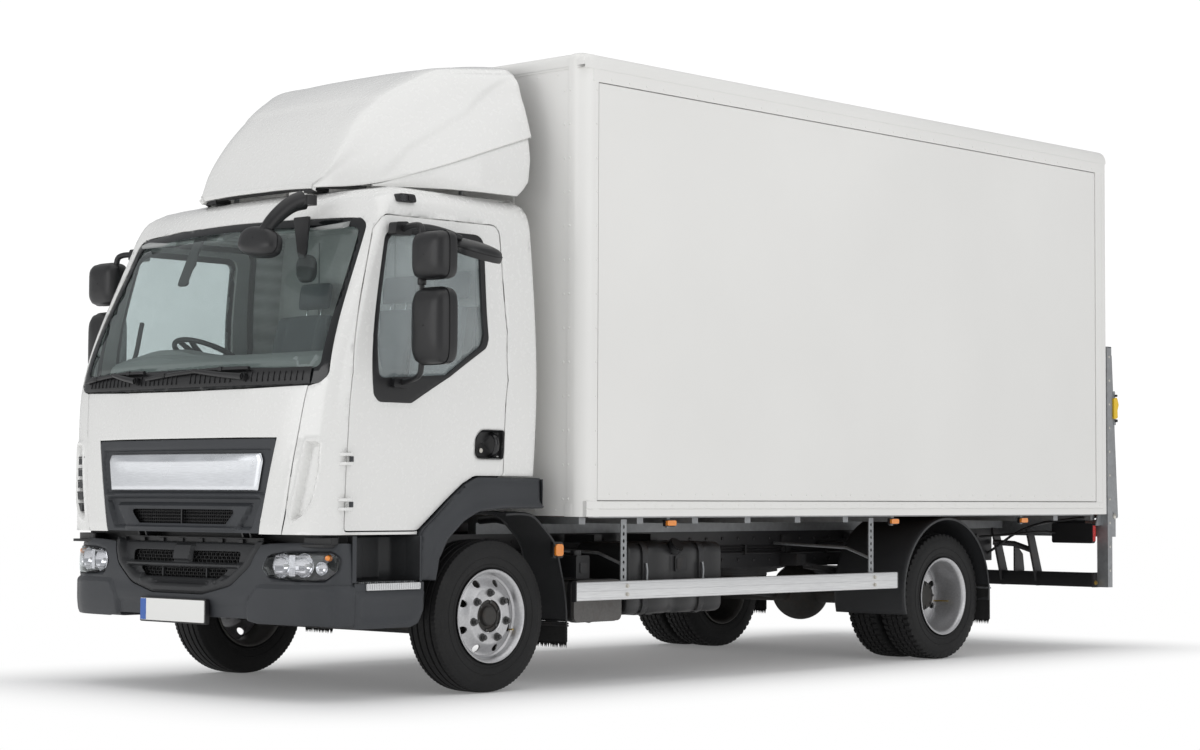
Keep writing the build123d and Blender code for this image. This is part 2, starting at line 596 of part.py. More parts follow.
with BuildPart() as cab_shell:
    cab_solid(0, 812, 2568)
    cab_solid(CAB_WALL, 900, 2530, Mode.SUBTRACT)
    # wheel arches cut up into the cab's underside, outside the engine tunnel
    for s in (1, -1):
        a, b = (640, 1100) if s > 0 else (-1100, -640)
        side_plate([(-487, 700), (-487, 832), (-399, 898), (-295, 984), (-182, 1067), (-110, 1100), (-74, 1107), (500, 1107), (500, 700)],
                   a, b, Mode.SUBTRACT)
    block((-641, 641), (-340, 400), (700, 1100), Mode.SUBTRACT)
    block((-641, 641), (-600, -330), (700, 890), Mode.SUBTRACT)
    # raised floor over the arches and the engine
    block((-1020, 1020), (-120, CAB_REAR - 10), (1107, 1135))
    side_plate([(-487, 900), (-487, 870), (-470, 870), (-110, 1108), (-110, 1135), (-120, 1135)], -1020, 1020)
    # door openings, windscreen opening
    for s in (1, -1):
        a, b = (880, 1200) if s > 0 else (-1200, -880)
        side_plate(DOOR_OUTLINE, a, b, Mode.SUBTRACT, grow=GAP)
    # sill and floor edge behind the door's inner face
    for s in (1, -1):
        a, b = (870, 978) if s > 0 else (-978, -870)
        block((a, b), (-960, -520), (838, 900))
        block((a, b), (-100, 110), (1107, 1135))
        side_plate([(-487, 900), (-487, 870), (-470, 870), (-110, 1108), (-110, 1135), (-120, 1135)], a, b)
    # arms with the bores for the tilt pins
    for s in (1, -1):
        a, b = (406, 444) if s > 0 else (-444, -406)
        block((a, b), (-1128, -1015), (842, 898))
        with BuildSketch(Plane.YZ.offset(a - 2)):
            with Locations((Y(TILT_Y), TILT_Z)):
                Circle(TILT_R + 0.05)
        extrude(amount=b - a + 4, mode=Mode.SUBTRACT)
    # door hinges: a pin with a lug above and below, reached from the corner ahead of the door
    for s in (1, -1):
        for z in HINGE_Z:
            for zl in (z, z + 45):
                block((min(s * 1005, s * 1074), max(s * 1005, s * 1074)), (-1008, -986), (zl, zl + 15))
                block((min(s * 1058, s * 1074), max(s * 1058, s * 1074)), (-990, -942), (zl, zl + 15))
            with Locations((s * DOOR_HINGE_X, Y(DOOR_HINGE_Y), z + 30)):
                Cylinder(5, 60)
    with BuildSketch(Plane.XZ.offset(-Y(-700))):
        Polygon(*WINDSCREEN_FRONT, align=None)
    extrude(amount=600, mode=Mode.SUBTRACT)
    # front panel zone is a separate panel
    block((-1200, 1200), (-1300, -1129), (700, 1536), Mode.SUBTRACT)
    for a, b in ((-1200, -445), (-405, 405), (445, 1200)):
        block((a, b), (-1130, -1020), (700, 1536), Mode.SUBTRACT)
    for a, b in ((-446, -404), (404, 446)):
        block((a, b), (-1130, -1020), (900, 1536), Mode.SUBTRACT)
        block((a, b), (-1130, -1020), (700, 841), Mode.SUBTRACT)
finish(cab_shell, "cab_shell")

with BuildPart() as windscreen:
    cab_solid(2, 1500, 2500)
    cab_solid(8, 1490, 2510, Mode.SUBTRACT)
    with BuildSketch(Plane.XZ.offset(-Y(-700))):
        Polygon(*WINDSCREEN_FRONT, align=None)
    extrude(amount=600, mode=Mode.INTERSECT)
    for a, b in ((880, 1200), (-1200, -880)):
        side_plate(DOOR_OUTLINE, a, b, Mode.SUBTRACT, grow=GAP)
finish(windscreen, "windscreen")

GRILLE_FRONT = [(-612, 800), (612, 800), (719, 1280), (-719, 1280)]
with BuildPart() as front_panel:
    cab_solid(0, 812, 1534)
    cab_solid(CAB_WALL, 800, 1540, Mode.SUBTRACT)
    block((-1200, 1200), (-1020, 500), (700, 1600), Mode.SUBTRACT)
    with BuildSketch(Plane.XZ.offset(-Y(-1000))):
        Polygon(*GRILLE_FRONT, align=None)
    extrude(amount=300, mode=Mode.SUBTRACT)
finish(front_panel, "front_panel")

with BuildPart() as upper_grille:
    cab_solid(3, 816, 1276)
    cab_solid(30, 806, 1286, Mode.SUBTRACT)
    with BuildSketch(Plane.XZ.offset(-Y(-1000))):
        Polygon((-614, 810), (614, 810), (717, 1278), (-717, 1278), align=None)
    extrude(amount=300, mode=Mode.INTERSECT)
    block((-400, 400), (-1200, -1100), (858, 930), Mode.SUBTRACT)
finish(upper_grille, "upper_grille")

for s, side in ((1, "left"), (-1, "right")):
    a, b = (880, 1200) if s > 0 else (-1200, -880)
    with BuildPart() as door:
        cab_solid(0, 815, 2450)
        cab_solid(46, 810, 2460, Mode.SUBTRACT)
        side_plate(DOOR_OUTLINE, a, b, Mode.INTERSECT)
        side_plate(WINDOW_OUTLINE, a, b, Mode.SUBTRACT)
        # hinge knuckles on the door
        for z in HINGE_Z:
            block((min(s * 1025, s * 1066), max(s * 1025, s * 1066)), (-958, -930), (z + 20, z + 40))
            with Locations((s * DOOR_HINGE_X, Y(DOOR_HINGE_Y), z + 30)):
                Cylinder(10, 20)
                Cylinder(5.05, 22, mode=Mode.SUBTRACT)
    finish(door, "door_" + side)

    with BuildPart() as door_glass:
        cab_solid(18, 1400, 2420)
        cab_solid(23, 1390, 2430, Mode.SUBTRACT)
        side_plate(WINDOW_OUTLINE, a, b, Mode.INTERSECT)
    finish(door_glass, "door_" + side + "_glass")

    with BuildPart() as mirrors:
        def sx(p, q):
            return (min(s * p, s * q), max(s * p, s * q))
        # wide-angle head over the main head, arm and kerb mirror
        block(sx(1235, 1435), (-700, -620), (2082, 2290))
        block(sx(1235, 1435), (-700, -620), (1664, 2040))
        fillet(mirrors.edges().filter_by(Axis.Y), 26)
        fillet(mirrors.faces().sort_by(Axis.Y)[0].edges(), 18)
        block(sx(1215, 1236), (-680, -650), (1650, 2300))
        side_plate([(-680, 1700), (-650, 1660), (-790, 1530), (-820, 1560)], *sx(1040, 1232))
        side_plate([(-680, 2280), (-650, 2310), (-600, 2392), (-640, 2392)], *sx(1000, 1232))
        cab_solid(-0.3, 1400, 2450, Mode.SUBTRACT)
    finish(mirrors, "mirrors_" + side)

with BuildPart() as arch_flares:
    flare = [(-498, 584), (-496, 700), (-484, 823), (-392, 891), (-288, 977), (-176, 1059), (-106, 1091), (-74, 1098), (363, 1098),
             (363, 943), (77, 943), (-107, 926), (-214, 877), (-326, 786), (-380, 690), (-402, 584)]
    for s in (1, -1):
        a, b = (1000, 1092) if s > 0 else (-1092, -1000)
        side_plate(flare, a, b)
        a, b = (650, 1010) if s > 0 else (-1010, -650)
        # inner liner over the tyre
        side_plate([(-440, 860), (-399, 890), (-290, 975), (-180, 1058), (-74, 1098), (340, 1098), (340, 1088), (-72, 1088),
                    (-176, 1048), (-284, 966), (-396, 880), (-436, 850)], a, b)
finish(arch_flares, "arch_flares")

# roof air deflector: cross sections at y: half width low, half width at shoulder, shoulder z, crown z, low z
FAIRING = [(-690, 480, 440, 2600, 2610, 2585),
           (-591, 573, 500, 2750, 2765, 2590),
           (-478, 677, 520, 2900, 2925, 2592),
           (-313, 829, 560, 3050, 3080, 2592),
           (-141, 930, 620, 3160, 3195, 2592),
           (14, 965, 680, 3235, 3265, 2592),
           (345, 1005, 800, 3271, 3330, 2592)]
with BuildPart() as roof_fairing:
    for y, wl, wsh, zs, zc, zl in FAIRING:
        with BuildSketch(Plane.XZ.offset(-Y(y))):
            with BuildLine():
                Line((-wl, zl), (wl, zl))
                Line((wl, zl), (wsh, zs))
                ThreePointArc((wsh, zs), (0, zc), (-wsh, zs))
                Line((-wsh, zs), (-wl, zl))
            make_face()
    loft(ruled=True)
    for y, wl, wsh, zs, zc, zl in [(-650, 516, 462, 2650, 2662, 2587)] + FAIRING[1:-1] + [(350, 1005, 800, 3271, 3330, 2592)]:
        t = 14
        with BuildSketch(Plane.XZ.offset(-Y(y))):
            with BuildLine():
                Line((-wl + t, zl - 3), (wl - t, zl - 3))
                Line((wl - t, zl - 3), (wsh - t, zs - t))
                ThreePointArc((wsh - t, zs - t), (0, zc - t), (-wsh + t, zs - t))
                Line((-wsh + t, zs - t), (-wl + t, zl - 3))
            make_face()
    loft(ruled=True, mode=Mode.SUBTRACT)
    # feet to the roof
    for s in (1, -1):
        block((min(s * 560, s * 620), max(s * 560, s * 620)), (-440, -400), (2569, 2790))
        block((min(s * 560, s * 985), max(s * 560, s * 985)), (240, 320), (2592, 2606))
        block((min(s * 560, s * 620), max(s * 560, s * 620)), (240, 320), (2569, 2606))
finish(roof_fairing, "roof_fairing")

with BuildPart() as dashboard:
    side_plate([(-1050, 1500), (-1020, 1600), (-980, 1690), (-880, 1722), (-740, 1735), (-690, 1700), (-700, 1560), (-735, 1400),
                (-820, 1180), (-1000, 1100), (-1050, 1100)], -860, 860)
finish(dashboard, "dashboard")

with BuildPart() as steering_wheel:
    # column and wheel on the right-hand side
    d = Vector(0, 0.45, 0.893)
    c = Vector(-535, Y(-560), 1741)
    with BuildSketch(Plane(origin=c - d * 268, z_dir=d)):
        Circle(32)
    extrude(amount=258)
    pl = Plane(origin=c, z_dir=d)
    with BuildSketch(Plane(origin=c, x_dir=(1, 0, 0), z_dir=d)):
        Circle(62)
    extrude(amount=30, both=True)
    with BuildSketch(Plane(origin=c, x_dir=d, z_dir=(1, 0, 0))):
        with Locations((0, 215)):
            Circle(15)
    revolve(axis=Axis(c, d))
    for ang in (0, 90, 180):
        with BuildSketch(Plane(origin=c - d * 9, x_dir=(1, 0, 0), z_dir=d).rotated((0, 0, ang))):
            with Locations((135, 0)):
                Rectangle(150, 34)
        extrude(amount=18)
finish(steering_wheel, "steering_wheel")

for name, x0, x1 in (("driver_seat", -790, -280), ("passenger_seats", -60, 800)):
    with BuildPart() as seat:
        block((x0, x1), (-430, 60), (1360, 1480))
        fillet(seat.edges().filter_by(Axis.X), 40)
        block((x0 + 60, x1 - 60), (-330, 20), (1136, 1362))
        side_plate([(0, 1420), (110, 1400), (215, 2010), (120, 2025)], x0 + 10, x1 - 10)
        block((x0 + 120, x0 + 390), (150, 240), (2040, 2200))
        block((x0 + 240, x0 + 270), (170, 200), (1960, 2060))
        if x1 > 0:
            block((x1 - 390, x1 - 120), (150, 240), (2040, 2200))
            block((x1 - 270, x1 - 240), (170, 200), (1960, 2060))
    finish(seat, name)

with BuildPart() as front_mirror:
    block((385, 665), (-1130, -1070), (2205, 2325))
    fillet(front_mirror.edges().filter_by(Axis.Y), 30)
    rod((570, -1090, 2305), (615, -830, 2440), 12)
    block((575, 655), (-850, -790), (2390, 2470))
    cab_solid(-0.3, 2300, 2540, Mode.SUBTRACT)
finish(front_mirror, "front_mirror")
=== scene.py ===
import bpy, bmesh, math, random
import numpy as np
from mathutils import Vector, Matrix, geometry


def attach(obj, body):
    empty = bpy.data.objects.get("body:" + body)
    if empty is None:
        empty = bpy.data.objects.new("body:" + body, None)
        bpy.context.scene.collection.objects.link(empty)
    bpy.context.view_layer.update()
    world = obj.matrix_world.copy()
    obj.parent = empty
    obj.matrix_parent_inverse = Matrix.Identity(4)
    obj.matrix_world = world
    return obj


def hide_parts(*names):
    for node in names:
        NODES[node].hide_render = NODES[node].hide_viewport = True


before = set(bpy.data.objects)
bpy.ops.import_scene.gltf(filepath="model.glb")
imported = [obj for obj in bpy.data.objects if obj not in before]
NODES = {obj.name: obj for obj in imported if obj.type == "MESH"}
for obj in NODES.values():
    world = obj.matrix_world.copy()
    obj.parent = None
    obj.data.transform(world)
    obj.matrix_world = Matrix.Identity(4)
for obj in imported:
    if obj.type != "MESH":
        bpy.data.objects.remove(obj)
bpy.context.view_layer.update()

FRONT_AXLE = -2.3175          # y of the front axle, metres
random.seed(7)


def mp(x, y, z):
    # a point given in millimetres, y from the front axle line, to metres in the frame
    return (x / 1000.0, FRONT_AXLE + y / 1000.0, z / 1000.0)


# ------------------------------------------------------------------ materials
def new_mat(name):
    m = bpy.data.materials.new(name)
    m.use_nodes = True
    nt = m.node_tree
    bsdf = nt.nodes["Principled BSDF"]
    return m, nt, bsdf


def coords(nt, scale=(1, 1, 1)):
    tc = nt.nodes.new("ShaderNodeTexCoord")
    mpn = nt.nodes.new("ShaderNodeMapping")
    mpn.inputs["Scale"].default_value = scale
    nt.links.new(tc.outputs["Object"], mpn.inputs["Vector"])
    return mpn.outputs["Vector"]


def noise(nt, vec, scale, detail=3.0, rough=0.5):
    n = nt.nodes.new("ShaderNodeTexNoise")
    n.inputs["Scale"].default_value = scale
    n.inputs["Detail"].default_value = detail
    n.inputs["Roughness"].default_value = rough
    nt.links.new(vec, n.inputs["Vector"])
    return n.outputs["Fac"]


def ramp(nt, fac, a, b, ca, cb):
    r = nt.nodes.new("ShaderNodeValToRGB")
    r.color_ramp.elements[0].position = a
    r.color_ramp.elements[1].position = b
    r.color_ramp.elements[0].color = tuple(ca) + (1,) if len(ca) == 3 else ca
    r.color_ramp.elements[1].color = tuple(cb) + (1,) if len(cb) == 3 else cb
    nt.links.new(fac, r.inputs["Fac"])
    return r.outputs["Color"]


def mrange(nt, fac, a, b, lo, hi):
    r = nt.nodes.new("ShaderNodeMapRange")
    r.inputs["From Min"].default_value = a
    r.inputs["From Max"].default_value = b
    r.inputs["To Min"].default_value = lo
    r.inputs["To Max"].default_value = hi
    nt.links.new(fac, r.inputs["Value"])
    return r.outputs["Result"]


def bump(nt, bsdf, height, strength, distance, after=None):
    b = nt.nodes.new("ShaderNodeBump")
    b.inputs["Strength"].default_value = strength
    b.inputs["Distance"].default_value = distance
    nt.links.new(height, b.inputs["Height"])
    if after is not None:
        nt.links.new(after, b.inputs["Normal"])
    nt.links.new(b.outputs["Normal"], bsdf.inputs["Normal"])
    return b.outputs["Normal"]


def mixc(nt, fac, a, b):
    m = nt.nodes.new("ShaderNodeMix")
    m.data_type = "RGBA"
    nt.links.new(fac, m.inputs[0])
    for sock, v in ((m.inputs[6], a), (m.inputs[7], b)):
        if isinstance(v, tuple):
            sock.default_value = v if len(v) == 4 else v + (1,)
        else:
            nt.links.new(v, sock)
    return m.outputs[2]


def height_of(nt):
    # height above the ground, for dirt near the wheels
    g = nt.nodes.new("ShaderNodeTexCoord")
    s = nt.nodes.new("ShaderNodeSeparateXYZ")
    nt.links.new(g.outputs["Object"], s.inputs[0])
    return s.outputs["Z"]


def paint(name, col, rough=0.28, coat=0.5, dirt=0.25, metal=0.0, peel=0.0006):
    m, nt, b = new_mat(name)
    v = coords(nt)
    big = noise(nt, v, 0.9, 4)
    fine = noise(nt, v, 38, 4, 0.6)
    dark = tuple(c * 0.965 for c in col)
    base = ramp(nt, big, 0.35, 0.7, dark, col)
    low = mrange(nt, height_of(nt), 0.25, 1.15, dirt, 0.0)
    mul = nt.nodes.new("ShaderNodeMath"); mul.operation = "MULTIPLY"
    nt.links.new(low, mul.inputs[0]); nt.links.new(fine, mul.inputs[1])
    c = mixc(nt, mul.outputs[0], base, (col[0] * 0.62, col[1] * 0.60, col[2] * 0.56))
    nt.links.new(c, b.inputs["Base Color"])
    nt.links.new(mrange(nt, fine, 0.3, 0.75, rough * 0.96, rough * 1.05), b.inputs["Roughness"])
    b.inputs["Metallic"].default_value = metal
    b.inputs["Coat Weight"].default_value = coat
    b.inputs["Coat Roughness"].default_value = 0.16
    bump(nt, b, noise(nt, v, 70, 2), 0.012, peel * 0.05)
    return m


def plastic(name, col, rough=0.55, grain=900, depth=0.0004, spec=0.4, wear=0.12, strength=0.25):
    m, nt, b = new_mat(name)
    v = coords(nt)
    big = noise(nt, v, 2.2, 5, 0.6)
    fine = noise(nt, v, 90, 5, 0.65)
    base = ramp(nt, big, 0.3, 0.75, tuple(c * 0.85 for c in col), tuple(c * 1.12 for c in col))
    dust = mrange(nt, fine, 0.45, 0.8, 0.0, wear)
    c = mixc(nt, dust, base, tuple(min(1.0, c * 1.5 + 0.03) for c in col))
    nt.links.new(c, b.inputs["Base Color"])
    nt.links.new(mrange(nt, fine, 0.25, 0.8, rough * 0.85, min(1.0, rough * 1.18)), b.inputs["Roughness"])
    b.inputs["Specular IOR Level"].default_value = spec
    vo = nt.nodes.new("ShaderNodeTexVoronoi"); vo.inputs["Scale"].default_value = grain
    nt.links.new(v, vo.inputs["Vector"])
    bump(nt, b, vo.outputs["Distance"], strength, depth)
    return m


def metal(name, col, rough=0.35, brush=(1, 1, 1), brush_scale=220, spots=0.0, spot_col=(0.2, 0.17, 0.14), aniso=0.0, metallic=1.0, depth=0.0002):
    m, nt, b = new_mat(name)
    v = coords(nt)
    vb = coords(nt, brush)
    streak = noise(nt, vb, brush_scale, 3, 0.6)
    big = noise(nt, v, 3.0, 5, 0.6)
    base = ramp(nt, streak, 0.3, 0.75, tuple(c * 0.86 for c in col), tuple(min(1, c * 1.06) for c in col))
    if spots:
        base = mixc(nt, mrange(nt, noise(nt, v, 14, 6, 0.7), 0.5, 0.75, 0.0, spots), base, spot_col)
    nt.links.new(base, b.inputs["Base Color"])
    nt.links.new(mrange(nt, big, 0.3, 0.75, rough * 0.8, min(1, rough * 1.3)), b.inputs["Roughness"])
    b.inputs["Metallic"].default_value = metallic
    if aniso:
        b.inputs["Anisotropic"].default_value = aniso
    bump(nt, b, streak, 0.15, depth)
    return m


def rubber(name, col=(0.022, 0.022, 0.023), rough=0.72):
    m, nt, b = new_mat(name)
    v = coords(nt)
    big = noise(nt, v, 5, 5, 0.65)
    fine = noise(nt, v, 160, 4, 0.6)
    base = ramp(nt, big, 0.3, 0.75, tuple(c * 0.8 for c in col), tuple(c * 1.5 for c in col))
    dusty = mrange(nt, noise(nt, v, 22, 6, 0.7), 0.5, 0.8, 0.0, 0.18)
    c = mixc(nt, dusty, base, (0.035, 0.033, 0.030))
    nt.links.new(c, b.inputs["Base Color"])
    nt.links.new(mrange(nt, fine, 0.3, 0.7, rough * 0.9, min(1, rough * 1.15)), b.inputs["Roughness"])
    b.inputs["Specular IOR Level"].default_value = 0.35
    bump(nt, b, fine, 0.3, 0.0006)
    return m


def glass(name, col, rough=0.0, ior=1.45, alpha_film=0.0):
    m, nt, b = new_mat(name)
    v = coords(nt)
    b.inputs["Transmission Weight"].default_value = 1.0
    b.inputs["IOR"].default_value = ior
    b.inputs["Roughness"].default_value = rough
    smear = noise(nt, v, 2.5, 5, 0.7)
    c = ramp(nt, smear, 0.3, 0.8, tuple(x * 0.985 for x in col), col)
    nt.links.new(c, b.inputs["Base Color"])
    return m


def thin_glass(name, tint, painted_reflection_amount=0.0):
    # a pane seen through in both directions, with a mirror-like reflection on it and a whitish diffuse layer mixed in
    # as painted reflection
    m = bpy.data.materials.new(name)
    m.use_nodes = True
    nt = m.node_tree
    nt.nodes.remove(nt.nodes["Principled BSDF"])
    out = nt.nodes["Material Output"]
    v = coords(nt)
    tr = nt.nodes.new("ShaderNodeBsdfTransparent")
    c = ramp(nt, noise(nt, v, 1.8, 5, 0.7), 0.3, 0.8, tuple(x * 0.97 for x in tint), tint)
    nt.links.new(c, tr.inputs["Color"])
    gl = nt.nodes.new("ShaderNodeBsdfGlossy")
    gl.inputs["Roughness"].default_value = 0.02
    gl.inputs["Color"].default_value = (0.9, 0.95, 0.95, 1)
    fr = nt.nodes.new("ShaderNodeFresnel")
    fr.inputs["IOR"].default_value = 1.5
    # the mirror reflection is on the front side of each face only
    ge = nt.nodes.new("ShaderNodeNewGeometry")
    on = nt.nodes.new("ShaderNodeMath"); on.operation = "SUBTRACT"; on.inputs[0].default_value = 1.0
    nt.links.new(ge.outputs["Backfacing"], on.inputs[1])
    fm = nt.nodes.new("ShaderNodeMath"); fm.operation = "MULTIPLY"
    nt.links.new(fr.outputs[0], fm.inputs[0]); nt.links.new(on.outputs[0], fm.inputs[1])
    mx = nt.nodes.new("ShaderNodeMixShader")
    nt.links.new(fm.outputs[0], mx.inputs[0])
    # painted reflection: a whitish diffuse layer mixed into the see-through part stands in for the bright surroundings
    # mirrored in the pane
    if painted_reflection_amount:
        df = nt.nodes.new("ShaderNodeBsdfDiffuse"); df.inputs["Color"].default_value = (0.78, 0.83, 0.83, 1)
        painted_reflection_mix = nt.nodes.new("ShaderNodeMixShader")
        nt.links.new(mrange(nt, noise(nt, v, 1.1, 4, 0.6), 0.3, 0.7, painted_reflection_amount * 0.8, painted_reflection_amount * 1.2), painted_reflection_mix.inputs[0])
        nt.links.new(tr.outputs[0], painted_reflection_mix.inputs[1]); nt.links.new(df.outputs[0], painted_reflection_mix.inputs[2])
        tr = painted_reflection_mix
    nt.links.new(tr.outputs[0], mx.inputs[1])
    nt.links.new(gl.outputs[0], mx.inputs[2])
    nt.links.new(mx.outputs[0], out.inputs["Surface"])
    return m


def fabric(name, col, scale=1400, rough=0.9):
    m, nt, b = new_mat(name)
    v = coords(nt)
    w1 = nt.nodes.new("ShaderNodeTexWave"); w1.inputs["Scale"].default_value = scale / 20; w1.bands_direction = "X"
    w2 = nt.nodes.new("ShaderNodeTexWave"); w2.inputs["Scale"].default_value = scale / 20; w2.bands_direction = "Z"
    for w in (w1, w2):
        w.inputs["Distortion"].default_value = 0.6
        nt.links.new(v, w.inputs["Vector"])
    mul = nt.nodes.new("ShaderNodeMath"); mul.operation = "MULTIPLY"
    nt.links.new(w1.outputs["Fac"], mul.inputs[0]); nt.links.new(w2.outputs["Fac"], mul.inputs[1])
    big = noise(nt, v, 6, 5, 0.6)
    base = ramp(nt, big, 0.3, 0.75, tuple(c * 0.8 for c in col), tuple(c * 1.2 for c in col))
    c = mixc(nt, mul.outputs[0], base, tuple(min(1, c * 1.8 + 0.01) for c in col))
    nt.links.new(c, b.inputs["Base Color"])
    b.inputs["Roughness"].default_value = rough
    b.inputs["Sheen Weight"].default_value = 0.3
    bump(nt, b, mul.outputs[0], 0.4, 0.0008)
    return m


M = {}
M["white"] = paint("white_paint", (0.78, 0.78, 0.765), 0.27, 0.5, 0.05)
M["white_box"] = paint("white_body_panel", (0.80, 0.795, 0.775), 0.40, 0.15, 0.08)
M["white_in"] = paint("white_inner", (0.70, 0.69, 0.66), 0.55, 0.0, 0.05)
M["chassis"] = paint("chassis_paint", (0.018, 0.018, 0.020), 0.42, 0.2, 0.9)
M["grey"] = plastic("grey_plastic", (0.040, 0.043, 0.048), 0.50, 700, 0.0005, 0.35, 0.10)
M["grey_dark"] = plastic("grey_plastic_dark", (0.028, 0.029, 0.031), 0.48, 700, 0.0004, 0.35, 0.08)
M["black"] = plastic("black_plastic", (0.012, 0.012, 0.013), 0.38, 900, 0.0003, 0.45, 0.05)
M["gloss_black"] = plastic("gloss_black", (0.010, 0.010, 0.011), 0.16, 900, 0.0001, 0.5, 0.02, 0.05)
M["frit"] = plastic("black_glass_edge", (0.008, 0.009, 0.010), 0.10, 900, 0.00005, 0.5, 0.02, 0.03)
M["seal"] = rubber("rubber_seal", (0.012, 0.012, 0.012), 0.6)
M["tyre"] = rubber("tyre_rubber", (0.0065, 0.0065, 0.0068), 0.64)
M["rim"] = metal("wheel_silver", (0.56, 0.56, 0.57), 0.36, (1, 1, 1), 90, 0.10, (0.30, 0.27, 0.24), 0.0, 0.75)
M["rim_dark"] = metal("wheel_inner", (0.16, 0.155, 0.15), 0.55, (1, 1, 1), 60, 0.35, (0.09, 0.07, 0.055), 0.0, 0.6)
M["nut"] = metal("wheel_nut", (0.10, 0.10, 0.10), 0.4, (1, 1, 1), 120, 0.2, (0.05, 0.045, 0.04), 0.0, 0.8)
M["alu"] = metal("aluminium", (0.74, 0.745, 0.75), 0.38, (1, 0.03, 1), 260, 0.05, (0.5, 0.49, 0.47), 0.3)
M["alu_panel"] = metal("brushed_panel", (0.80, 0.82, 0.85), 0.30, (0.02, 1, 1), 420, 0.0, (0, 0, 0), 0.08)
M["galv"] = metal("galvanised_steel", (0.36, 0.37, 0.38), 0.48, (1, 1, 1), 30, 0.25, (0.22, 0.21, 0.20), 0.0, 0.85)
M["steel_dark"] = metal("dark_steel", (0.05, 0.05, 0.052), 0.45, (1, 1, 1), 60, 0.35, (0.07, 0.045, 0.03), 0.0, 0.6)
M["iron"] = metal("cast_iron_rough", (0.06, 0.058, 0.055), 0.62, (1, 1, 1), 40, 0.3, (0.085, 0.05, 0.032), 0.0, 0.5, 0.001)
M["zinc"] = metal("bright_zinc", (0.62, 0.60, 0.55), 0.34, (1, 1, 1), 200, 0.1, (0.3, 0.27, 0.22))
M["brass"] = metal("yellow_zinc", (0.55, 0.40, 0.14), 0.36, (1, 1, 1), 200, 0.2, (0.25, 0.17, 0.07))
M["chrome"] = metal("mirror_chrome", (0.85, 0.86, 0.87), 0.07, (1, 1, 1), 20)
M["mirror"] = metal("mirror_face", (0.62, 0.66, 0.69), 0.03, (1, 1, 1), 6)
# the last number sets the painted reflection in each pane
M["windscreen"] = thin_glass("windscreen_glass", (0.88, 0.92, 0.91), 0.02)
M["door_glass"] = thin_glass("door_glass", (0.91, 0.945, 0.955), 0.20)
M["lens"] = thin_glass("lamp_lens", (0.93, 0.93, 0.94))
M["tank"] = plastic("tank_black", (0.016, 0.016, 0.017), 0.34, 500, 0.0004, 0.5, 0.05)


def lamp_mat(name, col, rough=0.16):
    # coloured moulded lens with fine ribs inside
    m, nt, b = new_mat(name)
    v = coords(nt)
    w = nt.nodes.new("ShaderNodeTexWave"); w.inputs["Scale"].default_value = 60; w.bands_direction = "Z"
    nt.links.new(v, w.inputs["Vector"])
    c = mixc(nt, w.outputs["Fac"], tuple(x * 0.75 for x in col), col)
    nt.links.new(c, b.inputs["Base Color"])
    nt.links.new(mrange(nt, noise(nt, v, 60, 3), 0.3, 0.7, rough, rough * 1.8), b.inputs["Roughness"])
    b.inputs["Coat Weight"].default_value = 0.7
    b.inputs["Coat Roughness"].default_value = 0.05
    bump(nt, b, w.outputs["Fac"], 0.25, 0.0008)
    return m


M["amber"] = lamp_mat("amber_lens", (0.95, 0.30, 0.03))
M["red"] = lamp_mat("red_lens", (0.60, 0.015, 0.015))
M["white_lens"] = lamp_mat("white_lens", (0.80, 0.80, 0.78))
M["plate"] = paint("plate_white", (0.82, 0.82, 0.80), 0.35, 0.4, 0.05)
M["plate_blue"] = paint("plate_band", (0.015, 0.10, 0.42), 0.35, 0.4, 0.05)
M["yellow"] = plastic("yellow_plastic", (0.80, 0.52, 0.02), 0.4, 500, 0.0003, 0.45, 0.15)
M["dash"] = plastic("dash_plastic", (0.24, 0.25, 0.25), 0.6, 1200, 0.0004, 0.3, 0.05)
M["trim"] = plastic("trim_plastic", (0.36, 0.37, 0.365), 0.7, 1200, 0.0004, 0.3, 0.05)
M["liner"] = fabric("headliner_fabric", (0.56, 0.57, 0.56), 900)
M["seat"] = fabric("seat_fabric", (0.13, 0.14, 0.15), 1300)
M["seat_side"] = fabric("seat_side_fabric", (0.035, 0.037, 0.042), 1300)
M["flap"] = rubber("mud_flap", (0.014, 0.014, 0.014), 0.8)


def wood_mat():
    m, nt, b = new_mat("plywood_floor")
    v = coords(nt, (1, 0.12, 1))
    w = noise(nt, v, 40, 6, 0.65)
    c = ramp(nt, w, 0.3, 0.7, (0.07, 0.045, 0.03), (0.16, 0.10, 0.065))
    nt.links.new(c, b.inputs["Base Color"])
    b.inputs["Roughness"].default_value = 0.55
    bump(nt, b, noise(nt, coords(nt), 400, 2), 0.5, 0.001)
    return m


M["wood"] = wood_mat()


